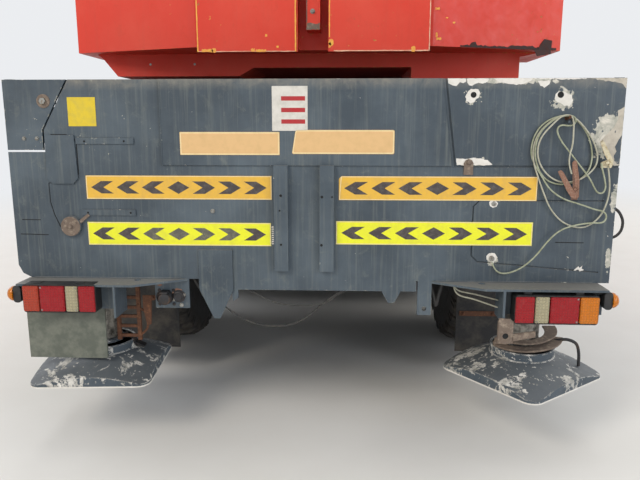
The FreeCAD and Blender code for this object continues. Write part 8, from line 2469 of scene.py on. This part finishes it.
class CRANE_OT_slewing(bpy.types.Operator):
    """Slewing ring bolts, winch rope, pivot pin keepers, welds and straps on the side plates, and hydraulic pipes"""
    bl_idname = "crane.slewing"
    bl_label = "Slewing ring, winch and side plates"

    def execute(self, context):
        def ring_bolts(bm):
            for k in range(48):
                a = 2 * math.pi * k / 48
                c, s = math.cos(a), math.sin(a)
                draw_bolt(bm, (0.842 * c, SLEW + 0.842 * s, 1.7440), (c, s, 0), 0.006)
        piece("slewing_bolts", "superstructure", finish("zinc"), ring_bolts, "dark_steel")

        def rope(bm):
            # Hoist rope on the winch drum: one layer of turns, a rope's width apart
            thick = size_of("rope")
            radius, half = 0.2145, 0.296
            turns = int(2 * half / thick)
            for k in range(turns):
                x = -half + thick * (k + 0.5)
                ring = [(math.cos(a), math.sin(a)) for a in (2 * math.pi * j / 10 for j in range(10))]
                profile = [(x + 0.5 * thick * u, radius + 0.45 * thick * (1 + v)) for u, v in ring]
                draw_lathe(bm, (0, SLEW - 2.300, 2.610), (1, 0, 0), profile, 56, closed=True)
        piece("winch_rope", "superstructure", finish("rope"), rope, "rope_steel", angle=60)

        def keepers(bm):
            for sign in (-1, 1):
                x = sign * 0.3935
                draw_lathe(bm, (x, PIVOT, 3.100), (sign, 0, 0), [(0, 0.088), (0.005, 0.086), (0.008, 0.080), (0.008, 0.030), (0.005, 0.026), (0.005, 0.0)], 40)
                draw_plate(bm, sideways(round_corners(PIVOT - 0.055, PIVOT + 0.055, 2.960, 3.000, 0.010), sign * 0.3855), (sign * 0.012, 0, 0))
                for y in (PIVOT - 0.036, PIVOT + 0.036):
                    draw_bolt(bm, (sign * 0.3975, y, 2.980), (sign, 0, 0), 0.014)
                y, z = SLEW - 2.300, 2.610
                draw_lathe(bm, (sign * 0.3852, y, z), (sign, 0, 0), [(0, 0.120), (0.014, 0.118), (0.018, 0.110), (0.020, 0.050), (0.030, 0.048),
                                                                     (0.032, 0.0)], 40)
                for k in range(10):
                    a = 2 * math.pi * k / 10
                    draw_bolt(bm, (sign * 0.4035, y + 0.096 * math.cos(a), z + 0.096 * math.sin(a)), (sign, 0, 0), 0.010)
        piece("pin_keepers", "superstructure", finish("machined"), keepers, "dark_steel", soft=0.001)

        def stiffeners(bm):
            # Weld seams along the side plates' feet, and edge straps along their sloping tops
            for sign in (-1, 1):
                for x in (0.3435, 0.3865):
                    draw_tube(bm, [(sign * x, SLEW - 2.84, 1.8745), (sign * x, SLEW + 0.99, 1.8745)], 0.005, 8)
                for (y0, z0), (y1, z1) in (((SLEW - 0.900, 3.180), (SLEW + 0.520, 2.360)), ((SLEW + 0.520, 2.360), (SLEW + 1.000, 2.080))):
                    a, b = Vector((sign * 0.3860, y0, z0 - 0.030)), Vector((sign * 0.3860, y1, z1 - 0.030))
                    along = (b - a).normalized()
                    up = Vector((0, -along.z, along.y)) * 0.022
                    draw_plate(bm, [a - up, b - up, b + up, a + up], (sign * 0.006, 0, 0))
        piece("side_plate_straps", "superstructure", finish("crane"), stiffeners, "crane_paint", soft=0.0008)

        def pipes(bm):
            # Hydraulic pipes from the tank to the lifting cylinder's foot
            for k in range(4):
                z = 1.895 + 0.028 * k
                draw_tube(bm, eased([(-0.440, SLEW - 2.40, z), (-0.428, SLEW - 1.50, z), (-0.420, SLEW - 0.50, z), (-0.415, SLEW + 0.30, z)]), 0.010, 10)
        piece("hydraulic_pipes", "superstructure", finish("zinc"), pipes, "dark_steel")
        return {"FINISHED"}


# Boom and hook

class CRANE_OT_boom_fittings(bpy.types.Operator):
    """Wear pads, weld seams, sheave cheeks, pins and pipes on the boom and its lifting cylinder"""
    bl_idname = "crane.boom_fittings"
    bl_label = "Boom fittings"

    def execute(self, context):
        bottom, half, high = 2.880, 0.310, 0.800
        names = ("boom_base", "boom_section_2", "boom_section_3", "boom_section_4")
        for number, name in enumerate(names[:3]):
            step = 0.025 * number
            end = PIVOT + 8.850 + 0.200 * number
            lip = half - step + 0.022

            def collar(bm):
                # Bolted wear-pad covers round each section's collar
                for sign in (-1, 1):
                    x = sign * lip
                    for z in (bottom + 0.22 + step * 0.5, bottom + high - 0.16 - step * 0.5):
                        draw_plate(bm, sideways(round_corners(end - 0.092, end - 0.018, z - 0.050, z + 0.050, 0.006), x), (sign * 0.007, 0, 0))
                        for dy, dz in ((-0.073, -0.034), (-0.037, -0.034), (-0.073, 0.034), (-0.037, 0.034)):
                            draw_bolt(bm, (sign * (lip + 0.007), end + dy, z + dz), (sign, 0, 0), 0.008)
                    for level, face in ((bottom + high - step + 0.022, 1), (bottom + step - 0.022, -1)):
                        x = sign * 0.120
                        draw_plate(bm, [(x - 0.048, end - 0.092, level), (x + 0.048, end - 0.092, level), (x + 0.048, end - 0.018, level),
                                        (x - 0.048, end - 0.018, level)], (0, 0, face * 0.007))
            piece(f"wear_pad_covers_{number + 1}", name, finish("stripe"), collar, "dark_steel", soft=0.0010)

        def seams(bm):
            # Welds where the two folded shells of the base section meet, and its foot plates' edges
            for sign in (-1, 1):
                draw_tube(bm, [(sign * 0.3105, PIVOT + 0.72, bottom + 0.300), (sign * 0.3105, PIVOT + 8.735, bottom + 0.300)], 0.0045, 8)
                outline = [(PIVOT - 0.255, 2.905), (PIVOT + 0.695, 2.905), (PIVOT + 0.695, 3.515), (PIVOT - 0.255, 3.515)]
                outer = rounded(outline, 0.06)
                draw_band(bm, sideways(outer, sign * 0.3400), sideways(inset_outline(outer, 0.028), sign * 0.3400), (sign * 0.0025, 0, 0))
        piece("boom_welds", "boom_base", finish("boom"), seams, "boom_paint")

        def base_fittings(bm):
            # Hose guides along the left side
            for k in range(7):
                y = PIVOT + 1.30 + k * 1.10
                draw_plate(bm, sideways(round_corners(y - 0.030, y + 0.030, bottom + 0.470, bottom + 0.545, 0.006), -0.3102), (-0.006, 0, 0))
                draw_bolt(bm, (-0.3162, y, bottom + 0.508), (-1, 0, 0), 0.008)
        piece("boom_pipe_clips", "boom_base", finish("zinc"), base_fittings, "dark_steel", soft=0.0006)

        def base_pipes(bm):
            for z in (bottom + 0.490, bottom + 0.526):
                draw_tube(bm, [(-0.3225, PIVOT + 0.80, z), (-0.3225, PIVOT + 8.66, z)], 0.0095, 10)
        piece("boom_pipes", "boom_base", finish("boom"), base_pipes, "boom_paint")

        def pin_caps(bm):
            for sign in (-1, 1):
                draw_lathe(bm, (sign * 0.1922, PIVOT + 4.500, 2.720), (sign, 0, 0), [(0, 0.090), (0.004, 0.088), (0.006, 0.070), (0.006, 0.0)], 36)
                for k in range(3):
                    a = 2 * math.pi * k / 3
                    draw_bolt(bm, (sign * 0.1980, PIVOT + 4.500 + 0.045 * math.cos(a), 2.720 + 0.045 * math.sin(a)), (sign, 0, 0), 0.010)
        piece("luff_pin_caps", "boom_base", finish("machined"), pin_caps, "dark_steel", soft=0.0008)

        def head(bm):
            # Cheek discs with ribs beside the sheaves, axle keepers and edge straps on the head plates
            for sign in (-1, 1):
                draw_lathe(bm, (sign * 0.2665, HEAD, 2.680), (sign, 0, 0), [(0, 0.060), (0.008, 0.058), (0.010, 0.050), (0.010, 0.0)], 32)
                draw_plate(bm, sideways(round_corners(HEAD - 0.045, HEAD + 0.045, 2.775, 2.812, 0.008), sign * 0.2415), (sign * 0.010, 0, 0))
                for y in (HEAD - 0.028, HEAD + 0.028):
                    draw_bolt(bm, (sign * 0.2515, y, 2.7935), (sign, 0, 0), 0.012)
                draw_lathe(bm, (sign * 0.2415, HEAD - 0.030, 3.570), (sign, 0, 0), [(0, 0.052), (0.008, 0.050), (0.012, 0.044), (0.012, 0.0)], 28)
                outline = [(HEAD - 0.490, 3.478), (HEAD - 0.490, 3.085), (HEAD - 0.188, 2.628), (HEAD - 0.108, 2.575), (HEAD + 0.108, 2.575),
                           (HEAD + 0.266, 2.703), (HEAD + 0.266, 2.788), (HEAD + 0.056, 3.398), (HEAD - 0.064, 3.655), (HEAD - 0.356, 3.655), (HEAD - 0.356, 3.478)]
                draw_band(bm, sideways(outline, sign * 0.2412), sideways(inset_outline(outline, 0.022), sign * 0.2412), (sign * 0.0035, 0, 0))
        piece("boom_head_trim", "boom_section_4", finish("boom"), head, "boom_paint", soft=0.0008)

        def sheave_faces(bm):
            for x in (-0.150, -0.050, 0.050, 0.150):
                for sign in (-1, 1):
                    face = x + sign * 0.0222
                    draw_lathe(bm, (face, HEAD, 2.680), (sign, 0, 0), [(0, 0.2392), (0.0022, 0.2385), (0.0028, 0.226), (0.0006, 0.220), (0.0006, 0.110),
                                                                       (0.0026, 0.104), (0.0026, 0.060), (0.0, 0.058)], 48, closed=True)
            for x in (-0.050, 0.050):
                for sign in (-1, 1):
                    draw_lathe(bm, (x + sign * 0.0222, HEAD - 0.030, 3.570), (sign, 0, 0), [(0, 0.1492), (0.0022, 0.1485), (0.0028, 0.138), (0.0006, 0.133),
                                                                                            (0.0006, 0.070), (0.0026, 0.064), (0.0026, 0.044), (0.0, 0.042)], 40, closed=True)
        piece("head_sheave_faces", "boom_section_4", finish("iron"), sheave_faces, "dark_steel")

        def barrel(bm):
            # Gland bolts, port blocks and a hard pipe on the lifting cylinder
            foot = Vector((0, SLEW + 0.250, 2.050))
            eye = Vector((0, PIVOT + 4.500, 2.720))
            along = (eye - foot).normalized()
            length = (eye - foot).length
            up = Vector((0, -along.z, along.y))
            gland = foot + along * (length - 0.378)
            for k in range(14):
                a = 2 * math.pi * k / 14
                out = Vector((math.cos(a), 0, 0)) + up * math.sin(a)
                draw_bolt(bm, gland + out * 0.160, along, 0.013)
            for t in (0.360, length - 0.560):
                centre = foot + along * t + up * 0.172
                draw_plate(bm, [centre + Vector((-0.036, 0, 0)) - along * 0.040, centre + Vector((0.036, 0, 0)) - along * 0.040,
                                centre + Vector((0.036, 0, 0)) + along * 0.040, centre + Vector((-0.036, 0, 0)) + along * 0.040], up * 0.044)
            draw_tube(bm, [foot + along * 0.395 + up * 0.196, foot + along * (length - 0.595) + up * 0.196], 0.011, 12)
            for t in (0.9, 1.5, 2.1):
                centre = foot + along * t
                draw_lathe(bm, centre, along, [(0, 0.1705), (0.0, 0.1745), (0.035, 0.1745), (0.035, 0.1705)], 48, closed=True)
                clip = centre + along * 0.0175 + up * 0.172
                draw_plate(bm, [clip + Vector((-0.020, 0, 0)) - along * 0.014, clip + Vector((0.020, 0, 0)) - along * 0.014,
                                clip + Vector((0.020, 0, 0)) + along * 0.014, clip + Vector((-0.020, 0, 0)) + along * 0.014], up * 0.038)
        piece("luff_barrel_fittings", "luff_barrel", finish("crane"), barrel, "crane_paint", soft=0.0008)
        return {"FINISHED"}


class CRANE_OT_hook_block(bpy.types.Operator):
    """Axle caps, bolts, sheave faces, side weights and safety latch of the hook block; its falls are wire rope"""
    bl_idname = "crane.hook_block"
    bl_label = "Hook block"

    def execute(self, context):
        centre = 1.530

        def choose(c, n):
            if c.z > centre + 0.02 and min(abs(c.x - x) for x in (-0.15, -0.05, 0.05, 0.15)) < 0.0105:
                line = 0.191 + (c.z - centre) / 1.150 * 0.0595
                if abs(abs(c.y - HEAD) - line) < 0.012:
                    return 1
            if math.hypot(c.y - HEAD, c.z - centre) < 0.202 and abs(c.x) < 0.174 and math.hypot(c.y - HEAD, c.z - centre) > 0.05:
                return 2
            return 0
        face_finishes("hook_block", ("hook", "rope", "iron"), choose)

        def caps(bm):
            for sign in (-1, 1):
                draw_lathe(bm, (sign * 0.2052, HEAD, centre), (sign, 0, 0), [(0, 0.052), (0.006, 0.050), (0.008, 0.044), (0.008, 0.0)], 32)
                draw_plate(bm, sideways(round_corners(HEAD - 0.048, HEAD + 0.048, centre + 0.062, centre + 0.098, 0.008), sign * 0.1852), (sign * 0.010, 0, 0))
                for y in (HEAD - 0.030, HEAD + 0.030):
                    draw_bolt(bm, (sign * 0.1952, y, centre + 0.080), (sign, 0, 0), 0.012)
                for y, z in ((HEAD - 0.100, centre + 0.205), (HEAD + 0.100, centre + 0.205), (HEAD - 0.185, centre - 0.060), (HEAD + 0.185, centre - 0.060),
                             (HEAD - 0.070, centre - 0.300), (HEAD + 0.070, centre - 0.300)):
                    draw_bolt(bm, (sign * 0.1852, y, z), (sign, 0, 0), 0.014)
        piece("hook_block_caps", "hook_block", finish("zinc"), caps, "dark_steel", soft=0.0008)

        def edges(bm):
            for sign in (-1, 1):
                outline = [(HEAD + y, centre + z) for y, z in ((-0.126, 0.236), (0.126, 0.236), (0.211, 0.058), (0.211, -0.088), (0.078, -0.326),
                                                               (-0.078, -0.326), (-0.211, -0.088), (-0.211, 0.058))]
                draw_band(bm, sideways(outline, sign * 0.1852), sideways(inset_outline(outline, 0.020), sign * 0.1852), (sign * 0.006, 0, 0))
        piece("hook_block_rims", "hook_block", finish("stripe"), edges, "hook_paint", soft=0.001)

        def latch(bm):
            # Sprung safety latch across the hook's mouth, on its pivot pin
            for x in (-0.0405, 0.0370):
                draw_plate(bm, sideways([(HEAD - 0.022, 1.098), (HEAD + 0.004, 1.104), (HEAD + 0.112, 1.030), (HEAD + 0.118, 1.006),
                                         (HEAD + 0.100, 1.004), (HEAD - 0.014, 1.072)], x), (0.0035, 0, 0))
            draw_plate(bm, [(-0.040, HEAD + 0.004, 1.1045), (-0.040, HEAD + 0.112, 1.0305), (0.040, HEAD + 0.112, 1.0305), (0.040, HEAD + 0.004, 1.1045)],
                       (0, 0.002, 0.0030))
            draw_bolt(bm, (0.0405, HEAD - 0.006, 1.088), (1, 0, 0), 0.008)
            draw_lathe(bm, (-0.0405, HEAD - 0.006, 1.088), (-1, 0, 0), [(0, 0.010), (0.006, 0.009), (0.007, 0.0)], 16)
        piece("hook_latch", "hook_block", finish("zinc"), latch, "dark_steel", soft=0.0006)
        return {"FINISHED"}
        return {"FINISHED"}
# Panel, registration and the whole run

CLASSES = [CraneColours, CraneSizes]
STEPS = [value for key, value in globals().items() if key.startswith("CRANE_OT_")]


class CRANE_PT_sidebar(bpy.types.Panel):
    """Lists the crane's pieces in the sidebar"""
    bl_idname = "CRANE_PT_sidebar"
    bl_label = "Mobile crane"
    bl_space_type = "VIEW_3D"
    bl_region_type = "UI"
    bl_category = "Crane"

    def draw(self, context):
        layout = self.layout
        layout.label(text="Colours")
        for name in CraneColours.__annotations__:
            layout.prop(context.scene.crane_colours, name)
        layout.label(text="Sizes")
        for name in CraneSizes.__annotations__:
            layout.prop(context.scene.crane_sizes, name)
        layout.label(text="Pieces")
        for step in STEPS:
            layout.operator(step.bl_idname)


def register():
    for each in CLASSES + STEPS + [CRANE_PT_sidebar]:
        bpy.utils.register_class(each)
    bpy.types.Scene.crane_colours = bpy.props.PointerProperty(type=CraneColours)
    bpy.types.Scene.crane_sizes = bpy.props.PointerProperty(type=CraneSizes)


def unregister():
    del bpy.types.Scene.crane_colours
    del bpy.types.Scene.crane_sizes
    for each in reversed(CLASSES + STEPS + [CRANE_PT_sidebar]):
        bpy.utils.unregister_class(each)


def main():
    register()
    for step in STEPS:
        group, name = step.bl_idname.split(".")
        getattr(getattr(bpy.ops, group), name)()
    with open("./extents.json", "w") as out:
        json.dump({"cad_box": [list(corner) for corner in CAD_BOX],
                   "scene_box": [list(corner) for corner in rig.bounds()]}, out)


if __name__ == "__main__":
    main()
